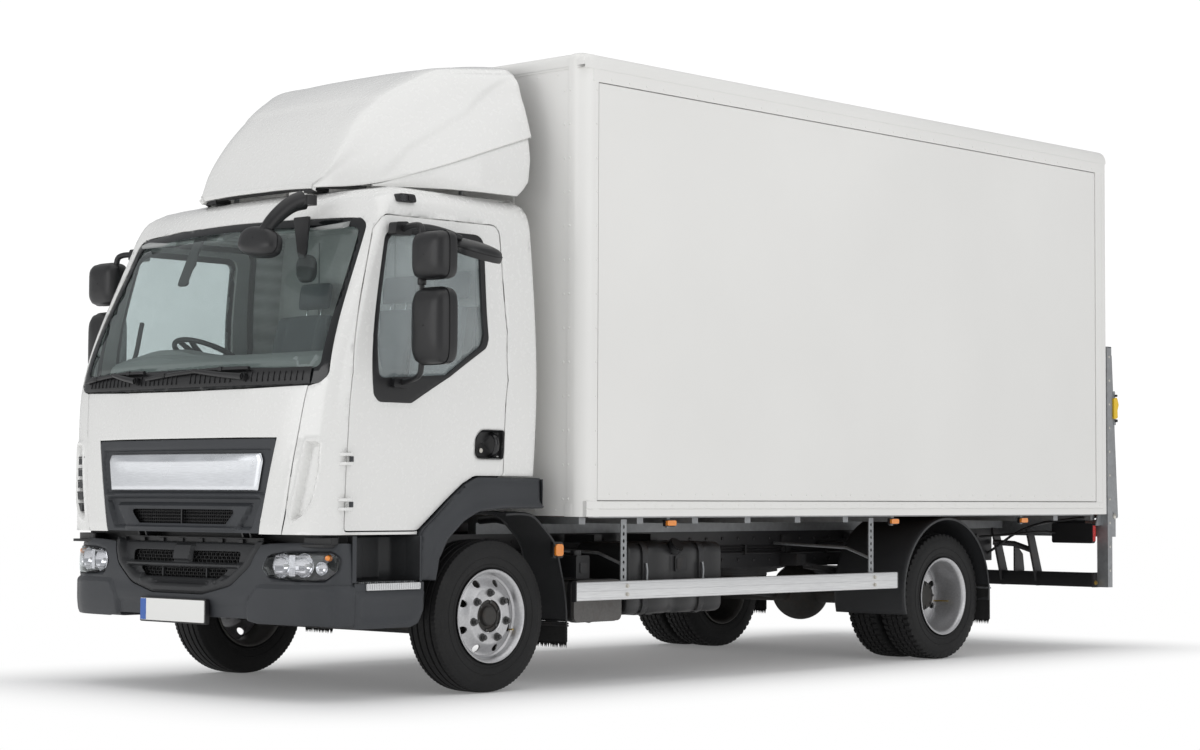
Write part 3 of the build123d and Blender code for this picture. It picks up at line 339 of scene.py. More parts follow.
# ------------------------------------------------------------------ mesh kit, millimetres, y from the front axle
class Kit:
    """Collects faces of one piece. Points are (x, y, z) in millimetres."""

    def __init__(self):
        self.v, self.f, self.m = [], [], []
        self.mats = []

    def mat(self, key):
        if key not in self.mats:
            self.mats.append(key)
        return self.mats.index(key)

    def add(self, verts, faces, key):
        b = len(self.v)
        self.v.extend([tuple(float(c) for c in p) for p in verts])
        i = self.mat(key)
        for f in faces:
            self.f.append(tuple(b + k for k in f))
            self.m.append(i)
        return self

    def box(self, x, y, z, key, taper=None):
        x0, x1 = sorted(x); y0, y1 = sorted(y); z0, z1 = sorted(z)
        vs = [(x0, y0, z0), (x1, y0, z0), (x1, y1, z0), (x0, y1, z0), (x0, y0, z1), (x1, y0, z1), (x1, y1, z1), (x0, y1, z1)]
        if taper:
            cx, cy = (x0 + x1) / 2, (y0 + y1) / 2
            vs = vs[:4] + [(cx + (p[0] - cx) * taper, cy + (p[1] - cy) * taper, p[2]) for p in vs[4:]]
        return self.add(vs, [(3, 2, 1, 0), (4, 5, 6, 7), (0, 1, 5, 4), (1, 2, 6, 5), (2, 3, 7, 6), (3, 0, 4, 7)], key)

    def prism(self, pts, axis, a, b, key):
        # pts: outline in the plane across the axis: x -> (y, z); y -> (x, z); z -> (x, y)
        pts = [tuple(p) for p in pts]
        area = sum(p[0] * q[1] - q[0] * p[1] for p, q in zip(pts, pts[1:] + pts[:1]))
        if area < 0:
            pts.reverse()
        n = len(pts)

        def at(p, t):
            return {"x": (t, p[0], p[1]), "y": (p[0], t, p[1]), "z": (p[0], p[1], t)}[axis]
        lo, hi = (a, b) if a < b else (b, a)
        vs = [at(p, lo) for p in pts] + [at(p, hi) for p in pts]
        side = [(i, (i + 1) % n, (i + 1) % n + n, i + n) for i in range(n)]
        caps = [tuple(reversed(range(n))), tuple(range(n, 2 * n))]
        faces = side + caps
        if axis == "y":
            faces = [tuple(reversed(f)) for f in faces]
        return self.add(vs, faces, key)

    def lathe(self, prof, axis_pt, axis, key, n=64, closed=False, start=0.0, sweep=2 * math.pi):
        # prof: (along, radius) pairs, turned about the axis; outward when 'along' rises and the outside is on the left
        ax = Vector(axis).normalized()
        u = ax.orthogonal().normalized()
        w = ax.cross(u)
        c = Vector(axis_pt)
        full = abs(sweep - 2 * math.pi) < 1e-6
        cols = n if full else n + 1
        vs = []
        for k in range(cols):
            t = start + sweep * k / n
            d = u * math.cos(t) + w * math.sin(t)
            for a, r in prof:
                vs.append(tuple(c + ax * a + d * r))
        m = len(prof)
        faces = []
        for k in range(n):
            k2 = (k + 1) % cols if full else k + 1
            for i in range(m if closed else m - 1):
                j = (i + 1) % m
                faces.append((k * m + i, k * m + j, k2 * m + j, k2 * m + i))
        return self.add(vs, faces, key)

    def disc(self, c, axis, r, key, n=32, h=0.0):
        # flat or domed round cap
        ax = Vector(axis).normalized()
        if h:
            prof = [(0, r), (h * 0.55, r * 0.85), (h * 0.9, r * 0.5), (h, 0.001)]
        else:
            prof = [(0, r), (0, 0.001)]
        prof = [(a, q) for a, q in prof]
        return self.lathe(prof, c, ax, key, n)

    def cyl(self, p, q, r, key, n=24, r2=None, caps=True):
        a, b = Vector(p), Vector(q)
        L = (b - a).length
        r2 = r if r2 is None else r2
        prof = [(0, 0.001), (0, r), (L, r2), (L, 0.001)] if caps else [(0, r), (L, r2)]
        return self.lathe(prof, a, (b - a), key, n)

    def tube(self, path, r, key, n=12, caps=True, smooth=0):
        pts = [Vector(p) for p in path]
        for _ in range(smooth):
            new = [pts[0]]
            for a, b in zip(pts, pts[1:]):
                new += [a.lerp(b, 0.25), a.lerp(b, 0.75)]
            new.append(pts[-1])
            pts = new
        t0 = (pts[1] - pts[0]).normalized()
        nrm = t0.orthogonal().normalized()
        rings, vs = len(pts), []
        radii = r if isinstance(r, (list, tuple)) else [r] * rings
        if len(radii) != rings:
            radii = [radii[0] + (radii[-1] - radii[0]) * i / (rings - 1) for i in range(rings)]
        for i, p in enumerate(pts):
            t = (pts[min(i + 1, rings - 1)] - pts[max(i - 1, 0)]).normalized()
            nrm = (nrm - t * nrm.dot(t)).normalized()
            bi = t.cross(nrm)
            for k in range(n):
                a = 2 * math.pi * k / n
                vs.append(tuple(p + (nrm * math.cos(a) + bi * math.sin(a)) * radii[i]))
        faces = [(i * n + k, i * n + (k + 1) % n, (i + 1) * n + (k + 1) % n, (i + 1) * n + k) for i in range(rings - 1) for k in range(n)]
        if caps:
            faces += [tuple(reversed(range(n))), tuple(range((rings - 1) * n, rings * n))]
        return self.add(vs, faces, key)

    def grid(self, rows, key, closed_u=False, closed_v=False, flip=False):
        # rows: list of equal-length point lists
        nr, nc = len(rows), len(rows[0])
        vs = [p for r in rows for p in r]
        faces = []
        for i in range(nr if closed_v else nr - 1):
            for j in range(nc if closed_u else nc - 1):
                a, b = i * nc + j, i * nc + (j + 1) % nc
                c, d = ((i + 1) % nr) * nc + (j + 1) % nc, ((i + 1) % nr) * nc + j
                faces.append((a, d, c, b) if flip else (a, b, c, d))
        return self.add(vs, faces, key)

    def mirrored(self):
        k = Kit()
        k.v = [(-x, y, z) for x, y, z in self.v]
        k.f = [tuple(reversed(f)) for f in self.f]
        k.m = list(self.m); k.mats = list(self.mats)
        return k

    def merge(self, other, shift=(0, 0, 0)):
        b = len(self.v)
        self.v.extend([(x + shift[0], y + shift[1], z + shift[2]) for x, y, z in other.v])
        idx = [self.mat(k) for k in other.mats]
        self.f.extend([tuple(b + k for k in f) for f in other.f])
        self.m.extend([idx[i] for i in other.m])
        return self

    def make(self, name, body, slot=None, angle=38, bevel=0, seg=2, replaces=(), subsurf=0, solid=0, weld=0.0, offset=-1.0, rim_mat=0, in_mat=0, bevel_angle=40, fix=True):
        me = bpy.data.meshes.new(name)
        me.from_pydata([mp(*p) for p in self.v], [], self.f)
        for k in self.mats:
            me.materials.append(M[k])
        for p, i in zip(me.polygons, self.m):
            p.material_index = i
        me.update()
        bm = bmesh.new(); bm.from_mesh(me)
        bmesh.ops.remove_doubles(bm, verts=bm.verts, dist=max(weld, 0.02) / 1000)
        dead = [f for f in bm.faces if f.calc_area() < 1e-12]
        if dead:
            bmesh.ops.delete(bm, geom=dead, context="FACES_ONLY")
        loose = [v for v in bm.verts if not v.link_faces]
        if loose:
            bmesh.ops.delete(bm, geom=loose, context="VERTS")
        if fix:
            bmesh.ops.recalc_face_normals(bm, faces=bm.faces)
        lim = math.radians(angle)
        for f in bm.faces:
            f.smooth = True
        for e in bm.edges:
            e.smooth = not (len(e.link_faces) == 2 and e.calc_face_angle(0) > lim)
        bm.to_mesh(me); bm.free()
        ob = bpy.data.objects.new(name, me)
        bpy.context.scene.collection.objects.link(ob)
        if solid:
            md = ob.modifiers.new("thick", "SOLIDIFY")
            md.thickness = solid / 1000; md.offset = offset; md.use_even_offset = False
            md.use_quality_normals = True
            md.material_offset = in_mat; md.material_offset_rim = rim_mat
            md.thickness_clamp = 0
        if bevel:
            md = ob.modifiers.new("edge", "BEVEL")
            md.width = bevel / 1000; md.segments = seg; md.limit_method = "ANGLE"
            md.angle_limit = math.radians(bevel_angle); md.harden_normals = False
            md.use_clamp_overlap = True
        if subsurf:
            md = ob.modifiers.new("sub", "SUBSURF"); md.levels = subsurf; md.render_levels = subsurf
        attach(ob, body)
        if replaces:
            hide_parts(*replaces)
        return ob


def both(c, k):
    k.merge(c); k.merge(c.mirrored())


def paint_node(name, key):
    o = NODES[name]
    o.data.materials.clear()
    o.data.materials.append(M[key])


def bar(k, p, q, w, h, key, up=(0, 0, 1)):
    # straight bar of section w x h between two points
    a, b = Vector(p), Vector(q)
    t = (b - a).normalized()
    s = t.cross(Vector(up)).normalized()
    u = s.cross(t)
    vs = []
    for c in (a, b):
        for i, j in ((-1, -1), (1, -1), (1, 1), (-1, 1)):
            vs.append(tuple(c + s * (i * w / 2) + u * (j * h / 2)))
    k.add(vs, [(3, 2, 1, 0), (4, 5, 6, 7), (0, 1, 5, 4), (1, 2, 6, 5), (2, 3, 7, 6), (3, 0, 4, 7)], key)


def rounded(pts, r, n=5):
    # polygon with its corners turned into arcs; r may be one number or a list
    out = []
    N = len(pts)
    for i in range(N):
        p0, p1, p2 = (Vector(pts[(i + d) % N]).to_2d() for d in (-1, 0, 1))
        rr = r[i] if isinstance(r, (list, tuple)) else r
        a, b = p0 - p1, p2 - p1
        la, lb = a.length, b.length
        if rr <= 0 or la < 1e-6 or lb < 1e-6:
            out.append(tuple(p1)); continue
        a.normalize(); b.normalize()
        ang = a.angle(b)
        if ang > math.radians(176):
            out.append(tuple(p1)); continue
        d = min(rr / math.tan(ang / 2), la * 0.48, lb * 0.48)
        q0, q2 = p1 + a * d, p1 + b * d
        for k in range(n + 1):
            t = k / n
            out.append(tuple((1 - t) ** 2 * q0 + 2 * t * (1 - t) * p1 + t * t * q2))
    return out


def resample(pts, step, closed=True):
    out = []
    P = list(pts)
    n = len(P)
    for i in range(n if closed else n - 1):
        a, b = P[i], P[(i + 1) % n]
        L = math.dist(a, b)
        k = max(1, int(round(L / step)))
        for j in range(k):
            out.append(tuple(a[d] + (b[d] - a[d]) * j / k for d in range(len(a))))
    if not closed:
        out.append(tuple(P[-1]))
    return out


def inside(px, py, poly):
    # numpy even-odd test
    poly = np.asarray(poly, float)
    x, y = np.asarray(px, float), np.asarray(py, float)
    c = np.zeros(x.shape, bool)
    xj, yj = poly[-1]
    for xi, yi in poly:
        if yi != yj:
            cond = ((yi > y) != (yj > y)) & (x < (xj - xi) * (y - yi) / (yj - yi) + xi)
            c ^= cond
        xj, yj = xi, yi
    return c


def sdist(px, py, poly):
    # signed distance to a closed outline, positive inside
    poly = np.asarray(poly, float)
    x, y = np.asarray(px, float), np.asarray(py, float)
    best = np.full(x.shape, 1e18)
    a = poly
    b = np.roll(poly, -1, axis=0)
    for (ax, ay), (bx, by) in zip(a, b):
        dx, dy = bx - ax, by - ay
        L = dx * dx + dy * dy
        if L < 1e-9:
            continue
        t = np.clip(((x - ax) * dx + (y - ay) * dy) / L, 0, 1)
        d = (x - ax - t * dx) ** 2 + (y - ay - t * dy) ** 2
        best = np.minimum(best, d)
    d = np.sqrt(best)
    return np.where(inside(x, y, poly), d, -d)


def sstep(x, a, b):
    t = np.clip((np.asarray(x, float) - a) / (b - a), 0, 1)
    return t * t * (3 - 2 * t)


def grow(poly, d):
    # outline moved outwards by d (mitred)
    P = [Vector(p).to_2d() for p in poly]
    n = len(P)
    area = sum(P[i].x * P[(i + 1) % n].y - P[(i + 1) % n].x * P[i].y for i in range(n))
    s = 1 if area > 0 else -1
    out = []
    for i in range(n):
        a, b, c = P[i - 1], P[i], P[(i + 1) % n]
        t1, t2 = (b - a), (c - b)
        if t1.length < 1e-9 or t2.length < 1e-9:
            out.append(tuple(b)); continue
        t1.normalize(); t2.normalize()
        n1, n2 = Vector((t1.y, -t1.x)) * s, Vector((t2.y, -t2.x)) * s
        m = n1 + n2
        if m.length < 1e-6:
            m = n1
        m.normalize()
        out.append(tuple(b + m * (d / max(0.35, m.dot(n1)))))
    return out


def fill(outline, holes, step, extra=()):
    # fine triangles inside an outline with holes; returns points and triangles in the plane
    loops = [resample(outline, step)] + [resample(h, step * 0.8) for h in holes]
    pts, edges = [], []
    for lp in loops:
        b = len(pts)
        pts.extend(lp)
        edges.extend([(b + i, b + (i + 1) % len(lp)) for i in range(len(lp))])
    arr = np.array(outline, float)
    x0, y0 = arr.min(0); x1, y1 = arr.max(0)
    gx, gy = np.meshgrid(np.arange(x0 + step / 2, x1, step), np.arange(y0 + step / 2, y1, step * 0.9))
    gx = gx + (np.arange(gx.shape[0])[:, None] % 2) * step / 2
    gx, gy = gx.ravel(), gy.ravel()
    keep = sdist(gx, gy, outline) > step * 0.45
    for h in holes:
        keep &= sdist(gx, gy, h) < -step * 0.45
    pts.extend(zip(gx[keep], gy[keep]))
    pts.extend(extra)
    v, _, f, *_ = geometry.delaunay_2d_cdt([Vector(p) for p in pts], edges, [], 0, 1e-4)
    V = np.array([(p.x, p.y) for p in v])
    T = np.array([tuple(t) for t in f if len(t) == 3])
    c = V[T].mean(1)
    ok = inside(c[:, 0], c[:, 1], loops[0])
    for lp in loops[1:]:
        ok &= ~inside(c[:, 0], c[:, 1], lp)
    T = T[ok]
    return V, T


def pchip(xs, ys, x):
    # monotone cubic interpolation
    xs, ys = np.asarray(xs, float), np.asarray(ys, float)
    h = np.diff(xs); d = np.diff(ys) / h
    m = np.zeros_like(ys)
    m[1:-1] = np.where(d[:-1] * d[1:] > 0, 2 * d[:-1] * d[1:] / np.where(d[:-1] + d[1:] == 0, 1, d[:-1] + d[1:]), 0)
    m[0], m[-1] = d[0], d[-1]
    x = np.asarray(x, float)
    i = np.clip(np.searchsorted(xs, x) - 1, 0, len(xs) - 2)
    t = (x - xs[i]) / h[i]
    return ((1 + 2 * t) * (1 - t) ** 2 * ys[i] + t * (1 - t) ** 2 * h[i] * m[i] + t * t * (3 - 2 * t) * ys[i + 1] + t * t * (t - 1) * h[i] * m[i + 1])


# ------------------------------------------------------------------ camera, floor and light
def stage():
    sc = bpy.context.scene
    cam = bpy.data.cameras.new("camera")
    ob = bpy.data.objects.new("camera", cam)
    sc.collection.objects.link(ob)
    sc.camera = ob
    a, e, r = math.radians(42.874), math.radians(-2.757), math.radians(0.261)
    back = Vector((math.sin(a) * math.cos(e), -math.cos(a) * math.cos(e), math.sin(e)))
    fwd = -back
    right = fwd.cross(Vector((0, 0, 1))).normalized()
    up = right.cross(fwd)
    r0 = right * math.cos(r) + up * math.sin(r)
    r1 = -right * math.sin(r) + up * math.cos(r)
    m = Matrix(((r0.x, r1.x, back.x, 10.1625), (r0.y, r1.y, back.y, -11.2993), (r0.z, r1.z, back.z, 1.0116), (0, 0, 0, 1)))
    ob.matrix_world = m
    cam.sensor_width = 36
    cam.lens = 2491.406 / 1200 * 36
    cam.clip_start, cam.clip_end = 0.1, 400

    # floor
    fm = bpy.data.materials.new("floor")
    fm.use_nodes = True
    nt = fm.node_tree
    b = nt.nodes["Principled BSDF"]
    n = noise(nt, coords(nt), 0.6, 4)
    nt.links.new(ramp(nt, n, 0.2, 0.8, (0.92, 0.92, 0.92), (0.94, 0.94, 0.94)), b.inputs["Base Color"])
    b.inputs["Roughness"].default_value = 0.75
    b.inputs["Specular IOR Level"].default_value = 0.12
    # away from the object the floor goes over into the white of the studio
    tc = nt.nodes.new("ShaderNodeTexCoord")
    prev = tc.outputs["Object"]
    for op, val in (("ABSOLUTE", None), ("SUBTRACT", (1.1, 3.4, 5.0)), ("MAXIMUM", (0.0, 0.0, 0.0))):
        v = nt.nodes.new("ShaderNodeVectorMath"); v.operation = op
        nt.links.new(prev, v.inputs[0])
        if val:
            v.inputs[1].default_value = val
        prev = v.outputs[0]
    v = nt.nodes.new("ShaderNodeVectorMath"); v.operation = "LENGTH"
    nt.links.new(prev, v.inputs[0])
    r = nt.nodes.new("ShaderNodeMapRange"); r.interpolation_type = "SMOOTHSTEP"
    r.inputs["From Min"].default_value = -0.4; r.inputs["From Max"].default_value = 1.25
    nt.links.new(v.outputs["Value"], r.inputs["Value"])
    em = nt.nodes.new("ShaderNodeEmission"); em.inputs["Strength"].default_value = 1.0
    ms = nt.nodes.new("ShaderNodeMixShader")
    nt.links.new(r.outputs["Result"], ms.inputs[0])
    nt.links.new(b.outputs[0], ms.inputs[1]); nt.links.new(em.outputs[0], ms.inputs[2])
    nt.links.new(ms.outputs[0], nt.nodes["Material Output"].inputs["Surface"])
    me = bpy.data.meshes.new("floor")
    S = 120.0
    me.from_pydata([(-S, -S, 0), (S, -S, 0), (S, S, 0), (-S, S, 0)], [], [(0, 1, 2, 3)])
    me.materials.append(fm)
    fl = bpy.data.objects.new("floor", me)
    sc.collection.objects.link(fl)

    w = bpy.data.worlds.new("studio")
    sc.world = w
    w.use_nodes = True
    nt = w.node_tree
    bg = nt.nodes["Background"]
    tc = nt.nodes.new("ShaderNodeTexCoord")
    sp = nt.nodes.new("ShaderNodeSeparateXYZ")
    nt.links.new(tc.outputs["Generated"], sp.inputs[0])
    cr = nt.nodes.new("ShaderNodeValToRGB")
    cr.color_ramp.elements[0].position = 0.48; cr.color_ramp.elements[0].color = (1.0, 1.0, 1.0, 1)
    cr.color_ramp.elements[1].position = 0.62; cr.color_ramp.elements[1].color = (0.62, 0.63, 0.65, 1)
    e2 = cr.color_ramp.elements.new(1.0); e2.color = (0.95, 0.95, 0.95, 1)
    mr = nt.nodes.new("ShaderNodeMapRange")
    mr.inputs["From Min"].default_value = -1.0; mr.inputs["From Max"].default_value = 1.0
    nt.links.new(sp.outputs["Z"], mr.inputs["Value"])
    nt.links.new(mr.outputs["Result"], cr.inputs["Fac"])
    # what the camera sees beyond the floor is plain white, what lights the object is the graded sky
    lp = nt.nodes.new("ShaderNodeLightPath")
    bg2 = nt.nodes.new("ShaderNodeBackground")
    bg2.inputs["Color"].default_value = (1, 1, 1, 1); bg2.inputs["Strength"].default_value = 1.05
    nt.links.new(cr.outputs["Color"], bg.inputs["Color"])
    bg.inputs["Strength"].default_value = WORLD
    mx = nt.nodes.new("ShaderNodeMixShader")
    mm = nt.nodes.new("ShaderNodeMath"); mm.operation = "MAXIMUM"
    nt.links.new(lp.outputs["Is Camera Ray"], mm.inputs[0]); nt.links.new(lp.outputs["Is Transmission Ray"], mm.inputs[1])
    nt.links.new(mm.outputs[0], mx.inputs[0])
    nt.links.new(bg.outputs[0], mx.inputs[1])
    nt.links.new(bg2.outputs[0], mx.inputs[2])
    nt.links.new(mx.outputs[0], nt.nodes["World Output"].inputs["Surface"])

    def area(name, loc, target, size, size_y, power, col=(1, 1, 1)):
        l = bpy.data.lights.new(name, "AREA")
        l.shape = "RECTANGLE"; l.size = size; l.size_y = size_y; l.energy = power; l.color = col
        o = bpy.data.objects.new(name, l)
        sc.collection.objects.link(o)
        o.location = loc
        d = Vector(target) - Vector(loc)
        o.rotation_mode = "QUATERNION"
        o.rotation_quaternion = d.to_track_quat("-Z", "Y")
        o.visible_camera = False
    area("key_top", (2.0, -2.0, 9.5), (0, 0, 1.0), 12, 12, KEY)
    area("side_soft", (12.0, -2.0, 4.5), (0, 0.5, 1.5), 9, 6, SIDE)
    area("front_soft", (-2.0, -13.0, 4.0), (0, -2, 1.4), 8, 5, FRONT)
    vs = sc.view_settings
    vs.view_transform = "Standard"
    vs.look = "None"
    vs.exposure = 0.0
    vs.gamma = 1.0


WORLD, KEY, SIDE, FRONT = 0.66, 300.0, 190.0, 235.0
stage()


# ------------------------------------------------------------------ the cab's skin
# z, half width, side front end y, corner x, corner y, centre front y
SEC = [(700, 1031, -988, 765, -1152, -1169), (812, 1035, -985, 779, -1148, -1170), (1100, 1043, -975, 838, -1130, -1174),
       (1280, 1055, -965, 860, -1115, -1174), (1550, 1065, -950, 900, -1082, -1148),
       (2385, 1010, -690, 905, -735, -850), (2475, 985, -640, 860, -700, -795),
       (2535, 930, -560, 780, -620, -690), (2568, 850, -470, 680, -520, -570)]
SZ = [r[0] for r in SEC]
CAB_REAR = 345.0
NS = 220
_cache = {}


def section(z):
    # half outline of the cab at height z: arrays x, y and length from the centre of the front
    key = round(z * 2)
    if key in _cache:
        return _cache[key]
    zz = min(max(z, SZ[0]), SZ[-1])
    # straight between the sections in the middle of the cab, rounded near the roof
    w, ys, xc, yk, yc = (float(pchip(SZ, [r[i] for r in SEC], zz)) for i in range(1, 6))
    mx, my = xc + 0.74 * (w - xc), ys + 0.70 * (yk - ys)
    q = lambda x: yc + (yk - yc) * (x / xc) ** 2
    ctrl = [(-0.5 * xc, q(0.5 * xc)), (0, yc), (0.33 * xc, q(0.33 * xc)), (0.66 * xc, q(0.66 * xc)), (xc, yk), (mx, my), (w - 1.0, ys - 12), (w, ys + 60), (w, CAB_REAR), (w, CAB_REAR + 100)]
    P = [Vector(p) for p in ctrl]
    pts = []
    for i in range(1, len(P) - 2):
        p0, p1, p2, p3 = P[i - 1], P[i], P[i + 1], P[i + 2]
        t0, t1 = 0.0, max(1e-3, (p1 - p0).length ** 0.5)
        t2 = t1 + (p2 - p1).length ** 0.5
        t3 = t2 + (p3 - p2).length ** 0.5
        n = 60 if i < 7 else 40
        for k in range(n):
            t = t1 + (t2 - t1) * k / n
            a1 = (t1 - t) / (t1 - t0) * p0 + (t - t0) / (t1 - t0) * p1
            a2 = (t2 - t) / (t2 - t1) * p1 + (t - t1) / (t2 - t1) * p2
            a3 = (t3 - t) / (t3 - t2) * p2 + (t - t2) / (t3 - t2) * p3
            b1 = (t2 - t) / (t2 - t0) * a1 + (t - t0) / (t2 - t0) * a2
            b2 = (t3 - t) / (t3 - t1) * a2 + (t - t1) / (t3 - t1) * a3
            pts.append((t2 - t) / (t2 - t1) * b1 + (t - t1) / (t2 - t1) * b2)
    pts.append(P[-2])
    x = np.array([p.x for p in pts]); y = np.array([p.y for p in pts])
    x = np.minimum(np.maximum.accumulate(x), w)
    y = np.maximum.accumulate(y)
    s = np.concatenate([[0], np.cumsum(np.hypot(np.diff(x), np.diff(y)))])
    _cache[key] = (x, y, s)
    return _cache[key]


class Surf:
    """A wall given by its half outline at each height; s is the length along it from the middle of the front."""

    def __init__(self, sec):
        self.sec = sec

    def at(self, s, z):
        x, y, L = self.sec(z)
        a = abs(s)
        return (math.copysign(float(np.interp(a, L, x)), s) if s else 0.0, float(np.interp(a, L, y)), z)

    def s_y(self, y, z):
        X, Yv, L = self.sec(z)
        return float(np.interp(y, Yv, L))

    def s_x(self, x, z):
        X, Yv, L = self.sec(z)
        return math.copysign(float(np.interp(abs(x), X + np.arange(len(X)) * 1e-6, L)), x)

    def nrm(self, s, z, d=4.0):
        a, b = Vector(self.at(s - d, z)), Vector(self.at(s + d, z))
        c, e = Vector(self.at(s, z - d)), Vector(self.at(s, z + d))
        n = (b - a).cross(e - c)
        return n.normalized() if n.length > 1e-9 else Vector((0, -1, 0))

    def skin(self, outline, holes=(), step=26, inset=0.0, bulge=None, extra=()):
        V, T = fill(outline, holes, step, extra)
        off = np.zeros(len(V)) if bulge is None else bulge(V[:, 0], V[:, 1])
        out = []
        for (s, z), o in zip(V, off):
            p = Vector(self.at(s, z))
            d = o - inset
            if abs(d) > 1e-6:
                p = p + self.nrm(s, z) * d
            out.append(tuple(p))
        return out, [tuple(t) for t in T]

    def side(self, pts):
        return [(self.s_y(y, z), z) for y, z in pts]

    def front(self, pts):
        return [(self.s_x(x, z), z) for x, z in pts]

    def point(self, s, z, out=0.0):
        p = Vector(self.at(s, z))
        return tuple(p + self.nrm(s, z) * out) if out else tuple(p)


CAB = Surf(section)
S_of, s_from_y, s_from_x, normal_at = CAB.at, CAB.s_y, CAB.s_x, CAB.nrm


def side_xyz(y, z):
    X, Yv, L = section(z)
    return (float(np.interp(y, Yv, X)), y, z)


def front_xyz(x, z):
    X, Yv, L = section(z)
    return (x, float(np.interp(abs(x), X + np.arange(len(X)) * 1e-6, Yv)), z)


def skin(outline, holes=(), step=26, inset=0.0, bulge=None, extra=()):
    return CAB.skin(outline, holes, step, inset, bulge, extra)


def to_sz_side(pts):
    return [(s_from_y(y, z), z) for y, z in pts]


def to_sz_front(pts):
    return [(s_from_x(x, z), z) for x, z in pts]


DOOR = [(-964, 832), (-487, 832), (-399, 898), (-295, 984), (-182, 1067), (-110, 1100), (-74, 1107), (102, 1107),
        (117, 1600), (117, 1852), (98, 2350), (82, 2388), (50, 2402), (-690, 2396), (-712, 2384), (-752, 2330),
        (-948, 1568), (-960, 1200)]
DOOR_R = rounded([(-964, 832), (-487, 832), (-295, 984), (-182, 1067), (-100, 1107), (104, 1107), (117, 1600), (117, 1852), (96, 2402),
                  (-702, 2396), (-752, 2320), (-948, 1568), (-962, 1200)],
                 [16, 60, 60, 120, 90, 24, 500, 500, 62, 60, 120, 300, 300], 8)
WINDOW = rounded([(-776, 1462), (-556, 1462), (-290, 1605), (-30, 1762), (-14, 1810), (-14, 2345), (-640, 2345), (-705, 2290), (-812, 1790), (-812, 1500)],
                 [50, 60, 60, 60, 60, 70, 60, 60, 200, 45], 8)
GLASS_IN = rounded([(-772, 1580), (-316, 1612), (-66, 1772), (-46, 1830), (-46, 2312), (-634, 2312), (-682, 2270), (-780, 1790)],
                   [40, 40, 60, 60, 44, 60, 60, 200], 8)
SCREEN = rounded([(0, 1535), (500, 1539), (960, 1548), (1004, 1590), (966, 2000), (930, 2350), (880, 2386), (450, 2398), (0, 2403),
                  (-450, 2398), (-880, 2386), (-930, 2350), (-966, 2000), (-1004, 1590), (-960, 1548), (-500, 1539)],
                 [600, 600, 60, 50, 900, 60, 60, 600, 600, 600, 60, 60, 900, 50, 60, 600], 6)

door_sz = to_sz_side(DOOR_R)
window_sz = to_sz_side(WINDOW)
glass_sz = to_sz_side(GLASS_IN)
screen_sz = to_sz_front(SCREEN)
# seam between the lift-up front panel and the corner panels
SEAM = [(779, 812), (800, 900), (838, 1180), (862, 1330), (884, 1480), (893, 1534)]
panel_sz = to_sz_front([(x, z) for x, z in SEAM]) + to_sz_front([(893, 1536), (500, 1527), (0, 1523), (-500, 1527), (-893, 1536)]) + \
    to_sz_front([(-x, z) for x, z in reversed(SEAM)]) + to_sz_front([(-500, 812), (0, 812), (500, 812)])
GRILLE = rounded([(-612, 800), (612, 800), (719, 1280), (-719, 1280)], [0, 0, 10, 10])
grille_sz = to_sz_front(GRILLE)

# arch line of the cab's side, where the skin ends above the wheel
ARCH = [(-487, 700), (-487, 832), (-399, 898), (-295, 984), (-182, 1067), (-110, 1100), (-74, 1107), (345, 1107)]
REAR_S = lambda z: s_from_y(CAB_REAR - 26, z)


def neg(pts):
    return [(-s, z) for s, z in reversed(list(pts))]


# ---- main skin with door openings and a notch for the screen and front panel, up to the shoulder of the roof
top_z = 2560.0
under = to_sz_side([(-1060, 812), (-975, 812), (-800, 812), (-640, 812), (-487, 812), (-487, 832), (-399, 898), (-295, 984), (-182, 1067), (-110, 1100),
                    (-74, 1107), (150, 1107)])
seam_out = [(s + 5, z) for s, z in to_sz_front(SEAM)]
rear_up = [(REAR_S(z), z) for z in np.linspace(1107, top_z, 40)]
right_half = [seam_out[0]] + under + rear_up
top_edge = [(t * REAR_S(top_z), top_z) for t in np.linspace(1, -1, 61)][1:-1]
notch = [p for p in grow(SCREEN, 3) if p[1] > 1700 or abs(p[0]) > 925]
notch_sz = to_sz_front(notch)[::-1]
outline = right_half + top_edge + neg(right_half) + [(-s, z) for s, z in seam_out[1:]] + notch_sz + seam_out[::-1][:-1]


def guide_outline():
    # the air guide pressed into the corner panel
    pts = rounded([(918, 1262), (984, 1262), (980, 1120), (955, 985), (905, 905), (838, 872), (852, 930), (880, 1050), (905, 1180)],
                  [10, 16, 60, 60, 60, 30, 60, 60, 60], 4)
    return to_sz_front(pts)


GUIDE = guide_outline()


def corner_relief(s, z):
    a = np.abs(s)
    d = sdist(a, z, GUIDE)
    hollow = -34 * sstep(d, -3, 15)
    lip = 9 * np.exp(-((d + 13) / 10.0) ** 2)
    return hollow + lip


door_hole = grow(door_sz, 7)


